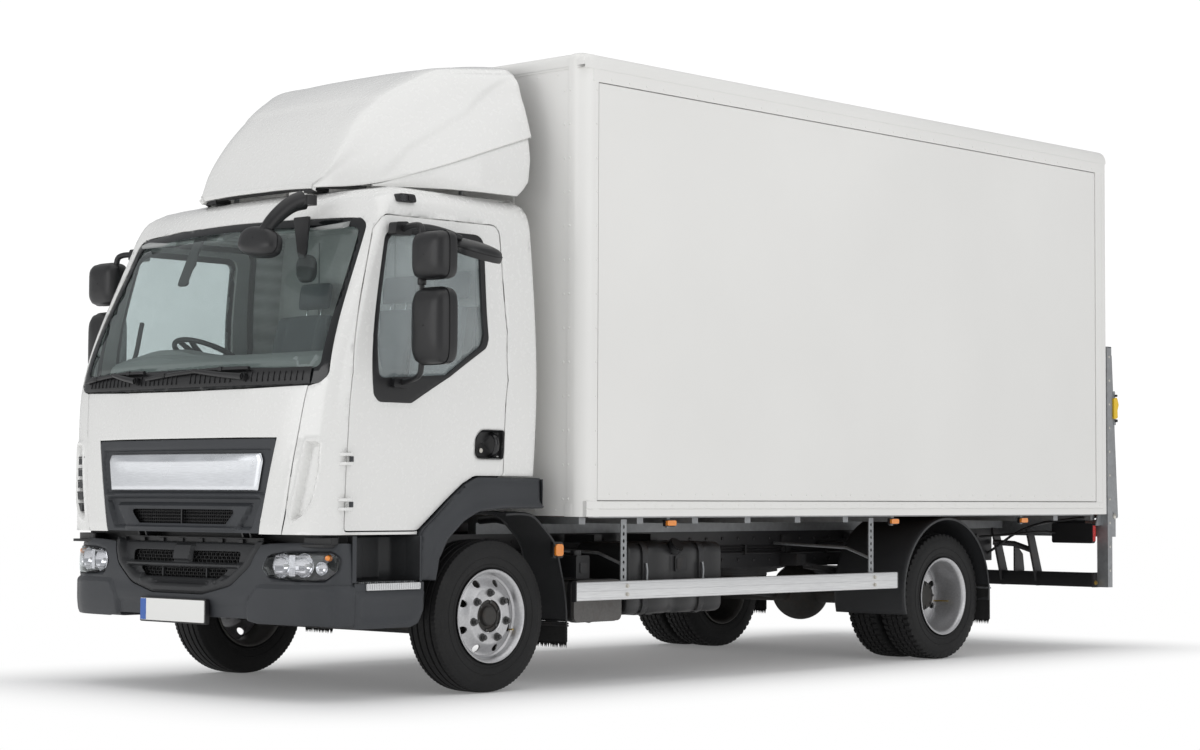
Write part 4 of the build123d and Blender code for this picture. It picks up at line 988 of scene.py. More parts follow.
def cab_skin():
    k = Kit()
    gx = [p[0] for p in GUIDE]; gz = [p[1] for p in GUIDE]
    fine = [(x, z) for x in np.arange(min(gx) - 36, max(gx) + 36, 8.5) for z in np.arange(min(gz) - 36, max(gz) + 36, 12.0)]
    fa = np.array(fine)
    okf = (np.abs(sdist(fa[:, 0], fa[:, 1], GUIDE)) < 34) & (sdist(fa[:, 0], fa[:, 1], outline) > 6) & (sdist(fa[:, 0], fa[:, 1], door_hole) < -6)
    fine = [tuple(p) for p in fa[okf]]
    pts, tris = skin(outline, [door_hole, neg(door_hole)], 28, bulge=corner_relief, extra=fine + [(-x, z) for x, z in fine])
    k.add(pts, tris, "white")
    # roof cap with a low crown
    N = 80
    edge = [S_of(t * REAR_S(top_z), top_z)[:2] for t in np.linspace(-1, 1, N)]
    w = edge[-1][0]
    ring = [(-(w - 26), CAB_REAR)] + [(-(w - 26 + 26 * math.cos(a)), CAB_REAR - 26 + 26 * math.sin(a)) for a in np.linspace(math.pi / 2, 0, 6)][1:-1] + edge + \
        [(w - 26 + 26 * math.cos(a), CAB_REAR - 26 + 26 * math.sin(a)) for a in np.linspace(0, math.pi / 2, 6)][1:-1] + [(w - 26, CAB_REAR)]
    V, T = fill(ring, [], 55)
    far = [(-w, 3000)] + edge + [(w, 3000)]

    def crown(x, y):
        return top_z + 0.42 * 46 * (1 - np.exp(-np.maximum(sdist(x, y, far), 0) / 46.0))
    zz = crown(V[:, 0], V[:, 1])
    k.add([(x, y, z) for (x, y), z in zip(V, zz)], [tuple(t) for t in T], "white")
    # rounded rear edge and the back wall
    prof_z = list(np.linspace(1107, top_z, 40))
    rows = []
    for a in np.linspace(0, math.pi / 2, 7):
        row = []
        for z in prof_z:
            x, y, _ = S_of(REAR_S(z), z)
            row.append((x - 26 * (1 - math.cos(a)), CAB_REAR - 26 + 26 * math.sin(a), z))
        rows.append(row)
    k.grid(rows, "white")
    k.grid([[(-x, y, z) for x, y, z in r] for r in rows], "white", flip=True)
    last = rows[-1]
    wall = [(p[0], p[2]) for p in last] + [(-p[0], p[2]) for p in last[::-1]]
    V, T = fill(wall, [], 80)
    k.add([(x, CAB_REAR, z) for x, z in V], [tuple(t) for t in T], "white")
    xs = np.linspace(-last[-1][0], last[-1][0], 60)
    top = crown(xs, np.full(60, CAB_REAR))
    k.grid([[(x, CAB_REAR, top_z) for x in xs], [(x, CAB_REAR, z) for x, z in zip(xs, top)]], "white")
    k.mat("liner")
    ob = k.make("cab_skin", "cab", "white_paint", angle=32, solid=26, offset=-1, in_mat=1, rim_mat=0, bevel=1.6, bevel_angle=60, weld=0.3,
                replaces=("cab_shell",))
    return ob


cab_skin()


def panel(name, body, outl, holes, mat, inset=0.0, thick=4.0, step=28, bulge=None, bev=1.5, slot=None, replaces=(), inner=None, mirror=False, weld=0.05, angle=32, surf=None):
    if mirror:
        outl = neg(outl); holes = [neg(h) for h in holes]
    k = Kit()
    pts, tris = (surf or CAB).skin(outl, holes, step, inset=inset, bulge=bulge)
    k.add(pts, tris, mat)
    if inner:
        k.mat(inner)
    return k.make(name, body, slot, angle=angle, solid=thick, offset=-1, in_mat=1 if inner else 0, rim_mat=0, bevel=bev, bevel_angle=60, weld=weld, replaces=replaces)


# outward direction of the skin is the solidify's outside: triangles must look outwards
for side, s in (("left", 1), ("right", -1)):
    body = "door_%s_body" % side
    hole = to_sz_side(rounded([(-96, 1196), (96, 1196), (98, 1338), (-60, 1338), (-96, 1300)], [40, 14, 14, 46, 40], 6))

    def door_relief(ss, zz):
        # dished edge round the handle
        a = np.abs(ss)
        d = sdist(a, zz, hole)
        return -7 * np.exp(-(np.minimum(d + 2, 0) / 9.0) ** 2) * (d < 6)
    panel("door_%s_skin" % side, body, door_sz, [window_sz, hole], "white", 0, 34, 26, bulge=door_relief, slot="white_paint", replaces=("door_" + side,), inner="trim", mirror=s < 0)
    panel("door_%s_window_frame" % side, body, window_sz, [glass_sz], "black", 3, 16, 24, slot="dark_plastic", mirror=s < 0)
    panel("door_%s_pane" % side, body, grow(glass_sz, 6), [], "door_glass", 14, 5, 40, bev=0, slot="glass", replaces=("door_%s_glass" % side,), mirror=s < 0)
    # seal behind the door's edge
    ring_o, ring_i = grow(door_sz, 13), grow(door_sz, -22)
    panel("door_seal_" + side, "cab", ring_o, [ring_i], "seal", 40, 6, 40, bev=0, slot="dark_plastic", mirror=s < 0)
    # handle: a black cup let into the door, and its grip
    k = Kit()
    cup = [S_of(a, z) for a, z in grow(hole, 1.0)]
    n = len(cup)
    c = (np.mean([p[0] for p in cup]), np.mean([p[1] for p in cup]), np.mean([p[2] for p in cup]))
    rows = []
    for sc, dp in ((1.035, -1.5), (1.0, 2.0), (0.97, 14), (0.93, 28), (0.86, 36), (0.6, 39), (0.3, 40), (0.02, 40)):
        rows.append([(p[0] - dp, c[1] + (p[1] - c[1]) * sc, c[2] + (p[2] - c[2]) * sc) for p in cup])
    k.grid(rows, "black", closed_u=True)
    # grip bar standing in the cup, bent outwards at its middle
    path = [(c[0] - 30, 40, 1212), (c[0] - 10, 42, 1222), (c[0] + 3, 44, 1240), (c[0] + 6, 45, 1268), (c[0] + 3, 44, 1296), (c[0] - 10, 42, 1314), (c[0] - 30, 40, 1324)]
    rowsg = []
    P = [Vector(p) for p in path]
    for i, p in enumerate(P):
        t = (P[min(i + 1, len(P) - 1)] - P[max(i - 1, 0)]).normalized()
        u = Vector((0, 1, 0)); nn = t.cross(u).normalized()
        rowsg.append([tuple(p + u * (17 * math.cos(a)) + nn * (9 * math.sin(a))) for a in np.linspace(0, 2 * math.pi, 17)[:-1]])
    k.grid(rowsg, "gloss_black", closed_u=True, flip=True)
    # lock cylinder
    k.cyl((c[0] - 26, -48, 1236), (c[0] - 14, -48, 1236), 12, "zinc", 24)
    if s < 0:
        k = k.mirrored()
    k.make("door_%s_handle" % side, body, "dark_plastic", angle=40, bevel=0)


# ------------------------------------------------------------------ front of the cab: panel, screen, grille
SEAM_PTS = SEAM
panel_out = to_sz_front(SEAM_PTS + [(893, 1538), (500, 1529), (0, 1525), (-500, 1529), (-893, 1538)] + [(-x, z) for x, z in reversed(SEAM_PTS)] +
                        [(-700, 812), (-618, 812), (-724, 1286), (-500, 1288), (0, 1288), (500, 1288), (724, 1286), (618, 812), (700, 812)])


def front_relief(s, z):
    # a soft fold that runs down both sides of the grille and a rolled lower edge
    a = np.abs(s)
    line = 705 + (z - 812) * 0.275 + 55
    fold = 5.0 * (1 - sstep(np.abs(a - line), 0, 55))
    return fold - 4 * (1 - sstep(z, 812, 850))


panel("front_panel_skin", "cab", panel_out, [], "white", 0, 5, 24, bulge=front_relief, slot="white_paint", replaces=("front_panel",), inner="white_in", bev=1.4)

# glass, its black edge and the black cowl under it
screen_in = to_sz_front(rounded([(0, 1640), (500, 1636), (905, 1622), (945, 1640), (925, 2000), (893, 2325), (850, 2345), (400, 2360), (0, 2364),
                                 (-400, 2360), (-850, 2345), (-893, 2325), (-925, 2000), (-945, 1640), (-905, 1622), (-500, 1636)],
                                [600, 600, 40, 30, 900, 50, 50, 600, 600, 600, 50, 50, 900, 30, 40, 600], 6))
panel("screen_edge", "cab", screen_sz, [screen_in], "frit", 3, 6, 22, slot="dark_plastic", bev=1.0)
panel("screen_pane", "cab", grow(screen_in, 8), [], "windscreen", 6.5, 5, 60, slot="glass", bev=0, replaces=("windscreen",))
# seal between the screen and the body
ringo, ringi = grow(screen_sz, 6), grow(screen_sz, -16)
panel("screen_seal", "cab", ringo, [ringi], "seal", 8, 14, 40, bev=0, slot="dark_plastic")
# camera and sensor cover behind the glass at the driver's side
k = Kit()
pts, tris = CAB.skin(to_sz_front(rounded([(-330, 2100), (-235, 2100), (-228, 2360), (-330, 2360)], [26, 26, 0, 0])), [], 30, inset=16)
k.add(pts, tris, "black")
k.make("sensor_cover", "cab", "dark_plastic", solid=10, bevel=2)

# cowl grid with wiper spindles
k = Kit()


def cowl_point(x, z, out):
    return CAB.point(s_from_x(x, z), z, out)


rows = []
for z, o in ((1546, 1.0), (1560, 5.0), (1592, 7.5), (1616, 6.0), (1630, 0.5)):
    rows.append([cowl_point(x, z - 12 * (1 - (x / 900.0) ** 2) * 0, o) for x in np.linspace(-905, 905, 90)])
k.grid(rows, "black")
for i in range(46):
    x = -860 + i * 38.2
    if abs(x) < 30 or abs(abs(x) - 430) < 40:
        continue
    a, b = cowl_point(x, 1562, 8.5), cowl_point(x, 1610, 9.5)
    bar(k, a, b, 5, 3, "black", up=(0, 1, 0))
k.make("cowl", "cab", "dark_plastic", bevel=0)

# wipers: spindle, arm, blade with its rubber
k = Kit()
for x0, x1, zb, xa in ((-905, -330, 1600, -395), (-300, 500, 1600, 470)):
    sp = Vector(cowl_point(xa, 1585, 6))
    tip = Vector(cowl_point((x0 + x1) / 2, 1622, 28))
    k.cyl(cowl_point(xa, 1585, 0), tuple(sp + Vector((0, -22, 6))), 19, "black", 24)
    k.cyl(tuple(sp + Vector((0, -22, 6))), tuple(sp + Vector((0, -30, 8))), 12, "gloss_black", 6)
    mid = sp.lerp(tip, 0.45) + Vector((0, -16, 0))
    k.tube([tuple(sp + Vector((0, -18, 4))), tuple(mid), tuple(tip)], [19, 10], "black", 10, smooth=2)
    # blade: a bridge of two bars and a rubber under it
    n = 17
    xs = np.linspace(x0, x1, n)
    back = [cowl_point(x, 1594 + 20 * math.sin((x - x0) / (x1 - x0) * math.pi) * 0.55 + (x - x0) / (x1 - x0) * 34, 20) for x in xs]
    foot = [cowl_point(x, 1594 + 20 * math.sin((x - x0) / (x1 - x0) * math.pi) * 0.55 + (x - x0) / (x1 - x0) * 34, 5) for x in xs]
    k.tube(back, 10.5, "black", 8)
    rows = []
    for p, q in zip(back, foot):
        p, q = Vector(p), Vector(q)
        rows.append([tuple(p + Vector((0, 0, 3))), tuple(q), tuple(p + Vector((0, 0, -3)))])
    k.grid(rows, "seal")
    for t in (0.22, 0.5, 0.78):
        i = int(t * (n - 1))
        k.box((back[i][0] - 14, back[i][0] + 14), (back[i][1] - 12, back[i][1] + 4), (back[i][2] - 8, back[i][2] + 12), "black")
k.make("wipers", "cab", "dark_plastic", angle=50)


# ---- honeycomb net laid on a wall
def net(k, surf, region, pitch, depth, inset, key="black", wall=0.26):
    xs = [p[0] for p in region]; zs = [p[1] for p in region]
    w = pitch * math.sqrt(3) / 2
    row = 0
    z = min(zs)
    while z < max(zs) + pitch:
        x = min(xs) + (w if row % 2 else 0)
        while x < max(xs) + pitch:
            if sdist(np.array([x]), np.array([z]), region)[0] > -pitch * 0.35:
                base = Vector(surf.point(surf.s_x(x, z), z, -inset))
                o, inn = [], []
                for i in range(6):
                    a = math.pi / 2 + i * math.pi / 3
                    o.append((x + pitch / 1.732 * math.cos(a) * 1.0, z + pitch / 1.732 * math.sin(a)))
                    inn.append((x + pitch / 1.732 * (1 - wall) * math.cos(a), z + pitch / 1.732 * (1 - wall) * math.sin(a)))
                vs = [(px, base.y, pz) for px, pz in o] + [(px, base.y, pz) for px, pz in inn] + [(px, base.y + depth, pz) for px, pz in inn]
                fs = []
                for i in range(6):
                    j = (i + 1) % 6
                    fs.append((i, j, 6 + j, 6 + i))
                    fs.append((6 + i, 6 + j, 12 + j, 12 + i))
                k.add(vs, fs, key)
            x += w * 2 * 1.0
        z += pitch * 0.866 * 1.0
        row += 1


# ---- upper grille
g_out = to_sz_front(rounded([(-614, 816), (614, 816), (719, 1281), (-719, 1281)], [8, 8, 14, 14]))
mesh_hole = [(-352, 858), (352, 858), (432, 930), (-432, 930)]
mesh_hole_sz = to_sz_front(rounded(mesh_hole, [12, 12, 18, 18]))
rec_poly = to_sz_front(rounded([(-652, 1006), (652, 1006), (680, 1160), (684, 1236), (-684, 1236), (-680, 1160)], 16))
low_poly = to_sz_front(rounded([(-560, 836), (560, 836), (636, 992), (-636, 992)], 22))
bar_poly = to_sz_front(rounded([(-452, 826), (452, 826), (566, 962), (-566, 962)], [30, 30, 18, 18]))


def grille_relief(s, z):
    r = -15 * sstep(sdist(s, z, rec_poly), -3, 9)
    r = r - 26 * sstep(sdist(s, z, low_poly), -3, 12)
    r = r + 24 * sstep(sdist(s, z, bar_poly), -2, 14)
    r = r - 12 * sstep(sdist(s, z, mesh_hole_sz), -26, 2)
    ledge = np.exp(-((z - 1000) / 9.0) ** 2) * (np.abs(s) < 640) * 12
    return r + ledge


panel("grille_surround", "cab", g_out, [mesh_hole_sz], "grey", 3, 4, 10, bulge=grille_relief, slot="grey_plastic", replaces=("upper_grille",), bev=1.0)
silver = to_sz_front(rounded([(-598, 1026), (598, 1026), (627, 1176), (606, 1210), (-606, 1210), (-627, 1176)], [8, 8, 10, 12, 12, 10]))


def silver_relief(s, z):
    # crease along the upper part, and a pillow towards the edges
    d = sdist(s, z, silver)
    crease = 9 * (1 - sstep(np.abs(z - (1168 + 10 * (s / 600.0) ** 2)), 0, 46)) * sstep(640 - np.abs(s), 20, 200)
    return crease + 3 * sstep(d, 0, 16)


k = Kit()
zz = [1024, 1027, 1034, 1050, 1080, 1110, 1135, 1152, 1160, 1166, 1172, 1178, 1190, 1202, 1208, 1211]
rows = []
for z in zz:
    half = 598 + (z - 1026) * 0.19 if z < 1176 else 627 - (z - 1176) * 0.55
    half -= 7 * (1 if z in (1024, 1211) else 0)
    r = []
    for q in np.concatenate([[-1, -0.994, -0.98], np.linspace(-0.95, 0.95, 48), [0.98, 0.994, 1]]):
        s0 = CAB.s_x(half * q, z)
        e = min(1.0, (1 - abs(q)) * half / 14.0) ** 0.5
        ez = min(1.0, (z - 1024) / 9.0, (1211 - z) / 9.0)
        ez = max(0.0, ez) ** 0.5
        crease_z = 1170 + 9 * q * q
        cr = 8.0 * max(0.0, 1 - abs(z - crease_z) / (46.0 if z < crease_z else 34.0)) * float(sstep(1 - abs(q), 0.02, 0.3))
        r.append(CAB.point(s0, z, -9 + 9 * min(e, ez) + cr))
    rows.append(r)
k.grid(rows, "alu_panel")
k.make("grille_bright_panel", "cab", "aluminium", angle=60)
k = Kit()
net(k, CAB, [(-430, 862), (430, 862), (430, 930), (-430, 930)], 19, 12, 38)
k.box((-4, 4), (-1150, -1138), (858, 932), "black")
rows = [[front_xyz(x, z) for x in np.linspace(-520, 520, 21)] for z in (838, 950)]
k.grid([[(x, y + 62, z) for x, y, z in r] for r in rows], "black")
k.make("grille_net", "cab", "dark_plastic", angle=30)


# ------------------------------------------------------------------ bumper
def bumper_section(z):
    key = ("b", round(z))
    if key in _cache:
        return _cache[key]
    lean = float(pchip([372, 400, 470, 600, 700, 772, 800], [16, 6, 0, 0, 8, 30, 44], z))
    w = 1075 - lean * 0.35
    c = [(-400, -1168), (0, -1180), (280, -1174.5), (560, -1157), (840, -1126), (960, -1084), (1040, -1035), (w, -960), (w, -930), (w, -905)]
    P = [Vector((min(x, w), y + lean)) if i < 7 else Vector((x, y)) for i, (x, y) in enumerate(c)]
    pts = []
    for i in range(1, len(P) - 2):
        p0, p1, p2, p3 = P[i - 1:i + 3]
        for j in range(40):
            t = j / 40
            pts.append(0.5 * ((2 * p1) + (-p0 + p2) * t + (2 * p0 - 5 * p1 + 4 * p2 - p3) * t * t + (-p0 + 3 * p1 - 3 * p2 + p3) * t ** 3))
    pts.append(P[-2])
    x = np.maximum.accumulate(np.minimum(np.array([p.x for p in pts]), w)); y = np.maximum.accumulate(np.array([p.y for p in pts]))
    s = np.concatenate([[0], np.cumsum(np.hypot(np.diff(x), np.diff(y)))])
    _cache[key] = (x, y, s)
    return _cache[key]


BMP = Surf(bumper_section)
U_OUT = rounded([(-602, 790), (-592, 760), (-540, 650), (-408, 552), (-205, 505), (205, 505), (408, 552), (540, 650), (592, 760), (602, 790)],
                [0, 60, 120, 160, 120, 120, 160, 120, 60, 0], 6)
LAMP = rounded([(624, 648), (668, 604), (860, 588), (1000, 590), (1054, 636), (1058, 700), (1020, 730), (800, 730), (654, 712)],
               [30, 40, 200, 60, 46, 40, 40, 200, 50], 6)
lamp_sz = BMP.front(LAMP)
end_s = lambda z: BMP.s_y(-931, z)
zs_up = np.linspace(372, 772, 22)
b_out = [(end_s(z), z) for z in zs_up] + BMP.front([(1040, 774), (960, 778), (850, 776), (700, 772)]) + BMP.front([p for p in U_OUT[::-1] if p[1] < 772]) + \
    BMP.front([(-700, 772), (-850, 776), (-960, 778), (-1040, 774)]) + [(-end_s(z), z) for z in zs_up[::-1]] + \
    BMP.front([(-900, 372), (-600, 374), (-520, 390), (0, 392), (520, 390), (600, 374), (900, 372)])
CAPP = rounded([(598, 562), (1500, 572), (1500, 360), (520, 360), (524, 470), (560, 520)], [26, 0, 0, 0, 30, 30], 5)
cap_sz = [(BMP.s_x(min(x, 1074), z) if x < 1100 else 1600, z) for x, z in CAPP]
lampr_sz = BMP.front(rounded([(640, 640), (676, 582), (860, 574), (1010, 578), (1058, 640), (1060, 716), (1020, 748), (800, 746), (672, 724)], 40, 4))


def bumper_relief(s, z):
    a = np.abs(s)
    cap = 15 * sstep(sdist(a, z, cap_sz), -2, 15)
    cap = cap - 3 * (1 - sstep(np.abs(sdist(a, z, cap_sz) + 5), 0, 6))
    lamp = -13 * sstep(sdist(a, z, lampr_sz), -4, 20)
    # step across the valance above the plate, groove to the side part
    val = (sdist(a, z, cap_sz) < 0) * (8 * sstep(z, 452, 472) * (1 - sstep(z, 500, 560)))
    seam_s = BMP.s_x(1048, 470)
    groove = -3.5 * np.exp(-((a - seam_s) / 4.0) ** 2) * (z < 560)
    return cap + lamp + val + groove - 12


panel("bumper_skin", "chassis", b_out, [lamp_sz, neg(lamp_sz)], "grey", 0, 6, 12.5, bulge=bumper_relief, slot="grey_plastic", replaces=("front_bumper",), surf=BMP, bev=1.6)

# lower grille: a U-shaped lip with two nets and a middle pad
u_sz = BMP.front([p for p in grow(U_OUT, -3) if p[1] < 800])
n1 = rounded([(-430, 670), (-75, 670), (-75, 735), (-440, 735)], [10, 6, 6, 26])
n1b = [(-x, z) for x, z in n1][::-1]
n2 = rounded([(-300, 588), (300, 588), (372, 640), (-372, 640)], [16, 16, 20, 20])
holes_u = [BMP.front(n1), BMP.front(n1b), BMP.front(n2)]
in_u = BMP.front(rounded([(-560, 800), (-548, 756), (-500, 668), (-384, 590), (-195, 548), (195, 548), (384, 590), (500, 668), (548, 756), (560, 800)],
                         [0, 40, 100, 140, 100, 100, 140, 100, 40, 0], 5))
barl = BMP.front(rounded([(-455, 640), (455, 640), (480, 668), (-480, 668)], [20, 20, 12, 12]))


def u_relief(s, z):
    lip = 10 * sstep(sdist(s, z, u_sz), 0, 16)
    well = -34 * sstep(sdist(s, z, in_u), -6, 16)
    r = lip + well
    r = r + 26 * sstep(sdist(s, z, barl), -4, 10) + 22 * (1 - sstep(np.abs(sdist(s, z, holes_u[2]) + 12), 2, 16)) * (z < 600)
    pad = BMP.front(rounded([(-70, 672), (70, 672), (78, 770), (-78, 770)], 10))
    r = r + 20 * sstep(sdist(s, z, pad), -2, 10)
    return r - 10


panel("lower_grille_skin", "chassis", u_sz, holes_u, "grey_dark", 6, 5, 10, bulge=u_relief, slot="grey_plastic", replaces=("lower_grille",), surf=BMP, bev=1.2)
k = Kit()
net(k, BMP, [(-440, 672), (-72, 672), (-72, 735), (-440, 735)], 19, 12, 60)
net(k, BMP, [(72, 672), (440, 672), (440, 735), (72, 735)], 19, 12, 60)
net(k, BMP, [(-372, 590), (372, 590), (372, 640), (-372, 640)], 19, 12, 60)
for x in (-178, 178):
    k.box((x - 5, x + 5), (-1128, -1112), (586, 642), "grey_dark")
rows = [[(x, -1180 + 95 + abs(x) * 0.02, z) for x in np.linspace(-560, 560, 21)] for z in (530, 790)]
k.grid(rows, "black")
# black shelf that closes the gap between the bumper and the cab: painted shade in that gap
k.box((-1020, 1020), (-1085, -960), (752, 766), "black")
for s in (1, -1):
    kk = Kit()
    kk.prism(rounded([(850, -1072), (1030, -1040), (1030, -985), (850, -1000)], 16), "z", 765, 798, "black")
    k.merge(kk if s > 0 else kk.mirrored())
for x in np.linspace(-560, 560, 8):
    k.box((x - 18, x + 18), (-1092, -1040), (764, 784), "black")
k.make("front_carrier", "chassis", "dark_plastic", bevel=1.5, angle=30)

# number plate: blank, with a plain band at its end
k = Kit()
k.prism(rounded([(-260, 366), (260, 366), (260, 477), (-260, 477)], 8), "y", -1205, -1200, "plate")
k.make("front_plate", "chassis", "white_paint", bevel=0.8)
k = Kit()
k.prism(rounded([(-258, 368), (-212, 368), (-212, 475), (-258, 475)], [6, 0, 0, 6]), "y", -1206.2, -1204.9, "plate_blue")
k.make("front_plate_band", "chassis", "white_paint", bevel=0)
k = Kit()
k.prism(rounded([(-268, 358), (268, 358), (268, 484), (-268, 484)], 10), "y", -1200.2, -1176, "black")
k.make("front_plate_holder", "chassis", "dark_plastic", bevel=1.5)

# head lamps
for side, s in (("left", 1), ("right", -1)):
    k = Kit()
    loop = resample(lamp_sz, 14)
    ring = [BMP.point(a, z, -11) for a, z in loop]
    cx = np.mean([p[0] for p in ring]); cz = np.mean([p[2] for p in ring])
    rows = []
    for sc, dp in ((1.02, 2), (1.0, 6), (0.97, 20), (0.93, 52), (0.7, 70), (0.35, 76), (0.02, 78)):
        rows.append([(cx + (p[0] - cx) * sc, p[1] + dp if sc > 0.9 else (p[1] * sc + (-1090 + 0) * (1 - sc)) + dp, cz + (p[2] - cz) * sc) for p in ring])
    k.grid(rows[:4], "black", closed_u=True)
    k.grid(rows[3:], "rim", closed_u=True)
    # two dished reflectors with a faceted look, and the bulbs
    for (x, z, r, y) in ((738, 660, 60, -1102), (880, 662, 58, -1084)):
        ax = Vector((0.10 if x < 800 else 0.2, -1, 0)).normalized()
        prof = [(0, r), (-14, r * 0.86), (-27, r * 0.62), (-36, r * 0.36), (-40, 10), (-40, 0.01)]
        k.lathe([(a, q) for a, q in prof], (x, y, z), tuple(ax), "chrome", 12)
        k.lathe([(2, r * 1.05), (4, r * 1.0), (0, r * 0.97)], (x, y, z), tuple(ax), "chrome", 32)
        k.lathe([(-40, 8), (-14, 8), (-8, 5), (-6, 0.01)], (x, y, z), tuple(ax), "white_lens", 16)
    # divider with ribs between them and the turn lamp at the outer end
    for i in range(7):
        x = 796 + i * 5.2
        k.cyl((x, -1104 + i, 610), (x, -1104 + i, 712), 2.6, "chrome", 8)
    k.lathe([(0, 34), (-10, 30), (-20, 18), (-24, 0.01)], (980, -1058, 650), (0.35, -1, 0), "chrome", 12)
    k.cyl((1004, -1044, 700), (990, -1020, 700), 13, "amber", 20, r2=17)
    k.disc((1004, -1044, 700), (0.4, -1, 0), 13, "amber", 20, 4)
    for z in (622, 706):
        k.cyl((700, -1112, z), (930, -1084, z), 4, "rim", 8)
    if s < 0:
        k = k.mirrored()
    k.make("head_lamp_inside_" + side, "chassis", "lamp_glass", angle=40, replaces=("head_lamps",))
    panel("head_lamp_lens_" + side, "chassis", grow(lamp_sz, -1.5), [], "lens", 8.5, 3, 30, slot="lamp_glass", surf=BMP, bev=0, mirror=s < 0,
          bulge=lambda a, z: 4 * sstep(sdist(np.abs(a), z, lamp_sz), 0, 40))


# ------------------------------------------------------------------ load body
BX, BY0, BY1 = 1250.0, 489.0, 5640.0


def rivets(k, pts, nrm, r=6.0, h=2.6, key="white_box", n=8):
    # low domed heads
    nv = Vector(nrm)
    for p in pts:
        k.lathe([(-0.5, r), (h * 0.55, r * 0.86), (h, r * 0.4), (h, 0.01)], p, nv, key, n)


def side_wall(mir):
    k = Kit()
    # outer sheet: bowed by a hair between its rails, so that the light runs softly along it
    ys = np.linspace(606, 5500, 60); zs = np.linspace(984, 3189, 26)
    def xo(y, z):
        t = math.sin((y - 606) / 4900 * math.pi) * math.sin((z - 984) / 2205 * math.pi)
        return 1246.0 + 0.9 * t + 0.35 * math.sin(y / 313.0) * math.sin(z / 270.0 + 1)
    k.grid([[(xo(y, z), y, z) for y in ys] for z in zs], "white_box", flip=True)
    k.grid([[(1225.5, y, z) for y in (560, 5560)] for z in (930, 3240)], "white_in")
    # folded edges of the sheet
    k.grid([[(1245.2, 606, z), (1234, 606, z)] for z in zs[::5]], "white_box"); k.grid([[(1245.2, 5500, z), (1234, 5500, z)] for z in zs[::5]], "white_box")
    k.grid([[(1245.2, y, 984), (1234, y, 984)] for y in ys[::6]], "white_box"); k.grid([[(1245.2, y, 3189), (1234, y, 3189)] for y in ys[::6]], "white_box")
    # bottom rail: a rolled section with a lip
    prof = rounded([(1226, 897), (1250, 897), (1253, 901), (1253, 934), (1249, 936), (1249, 940), (1253, 942), (1253, 974), (1250, 979), (1226, 979)], [1, 3, 3, 1, 0, 0, 1, 3, 3, 1], 3)
    k.prism(prof, "y", 516, 5585, "white_box")
    # top rail
    prof = rounded([(1226, 3194), (1249, 3194), (1251.4, 3197), (1251.4, 3258), (1249.6, 3262), (1226, 3262)], [1, 2, 2, 2, 1, 1], 3)
    k.prism(prof, "y", 560, 5600, "white_box")
    return k


for side, mir in (("left", False), ("right", True)):
    k = side_wall(mir)
    rivets(k, [(1251.2, y, 3216) for y in np.arange(700, 5500, 140)], (1, 0, 0), 7, 3.2)
    rivets(k, [(1252.8, y, 957) for y in np.arange(640, 5560, 140)], (1, 0, 0), 7, 3.2)
    rivets(k, [(1245.9, y, 1018) for y in np.arange(700, 5500, 140)], (1, 0, 0), 7, 3.2)
    if mir:
        k = k.mirrored()
    k.make("wall_" + side, "chassis", "white_paint", angle=30, replaces=(f"box_{side}_wall",))

# roof with rounded eaves, front edge rolled over
k = Kit()
R = 74.0


def eave(t):
    return (BX - 0.5 - R + R * math.sin(t), 3350 - R + R * math.cos(t))


half = [(0, 3349.6), (600, 3349.0), (1000, 3348.2)] + [eave(t) for t in np.linspace(0.0, math.pi / 2, 10)] + [(1249.5, 3262.5), (1246, 3261.8), (1226, 3262)]
prof = [(-x, z) for x, z in half[::-1]] + half[1:]
rows = []
for y, dz, dx in ((492, -74, 0), (493, -50, 0), (500, -30, 0), (512, -13, 0), (530, -4, 0), (560, 0, 0)) + tuple((y, 0, 0) for y in np.linspace(640, 5560, 34)) + ((5610, 0, 0), (5630, -1.5, 0), (5640, -8, 0)):
    rows.append([(x, y, min(z, 3350 + dz) if dz else z) for x, z in prof])
k.grid(rows, "white_box")
k.grid([[(x, y, 3262) for x in (-1226, 1226)] for y in (492, 5640)], "white_in")
for s in (1, -1):
    rivets(k, [(s * 1180, y, 3349.2 - 1.0) for y in np.arange(640, 5600, 180)], (0, 0, 1), 5, 2)
for y in (1400, 2300, 3200, 4100, 5000):
    k.prism([(y - 24, 3348.6), (y + 24, 3348.6), (y + 20, 3349.95), (y - 20, 3349.95)], "x", -1150, 1150, "white_box")
k.make("roof_skin", "chassis", "white_paint", angle=42, replaces=("box_roof",))

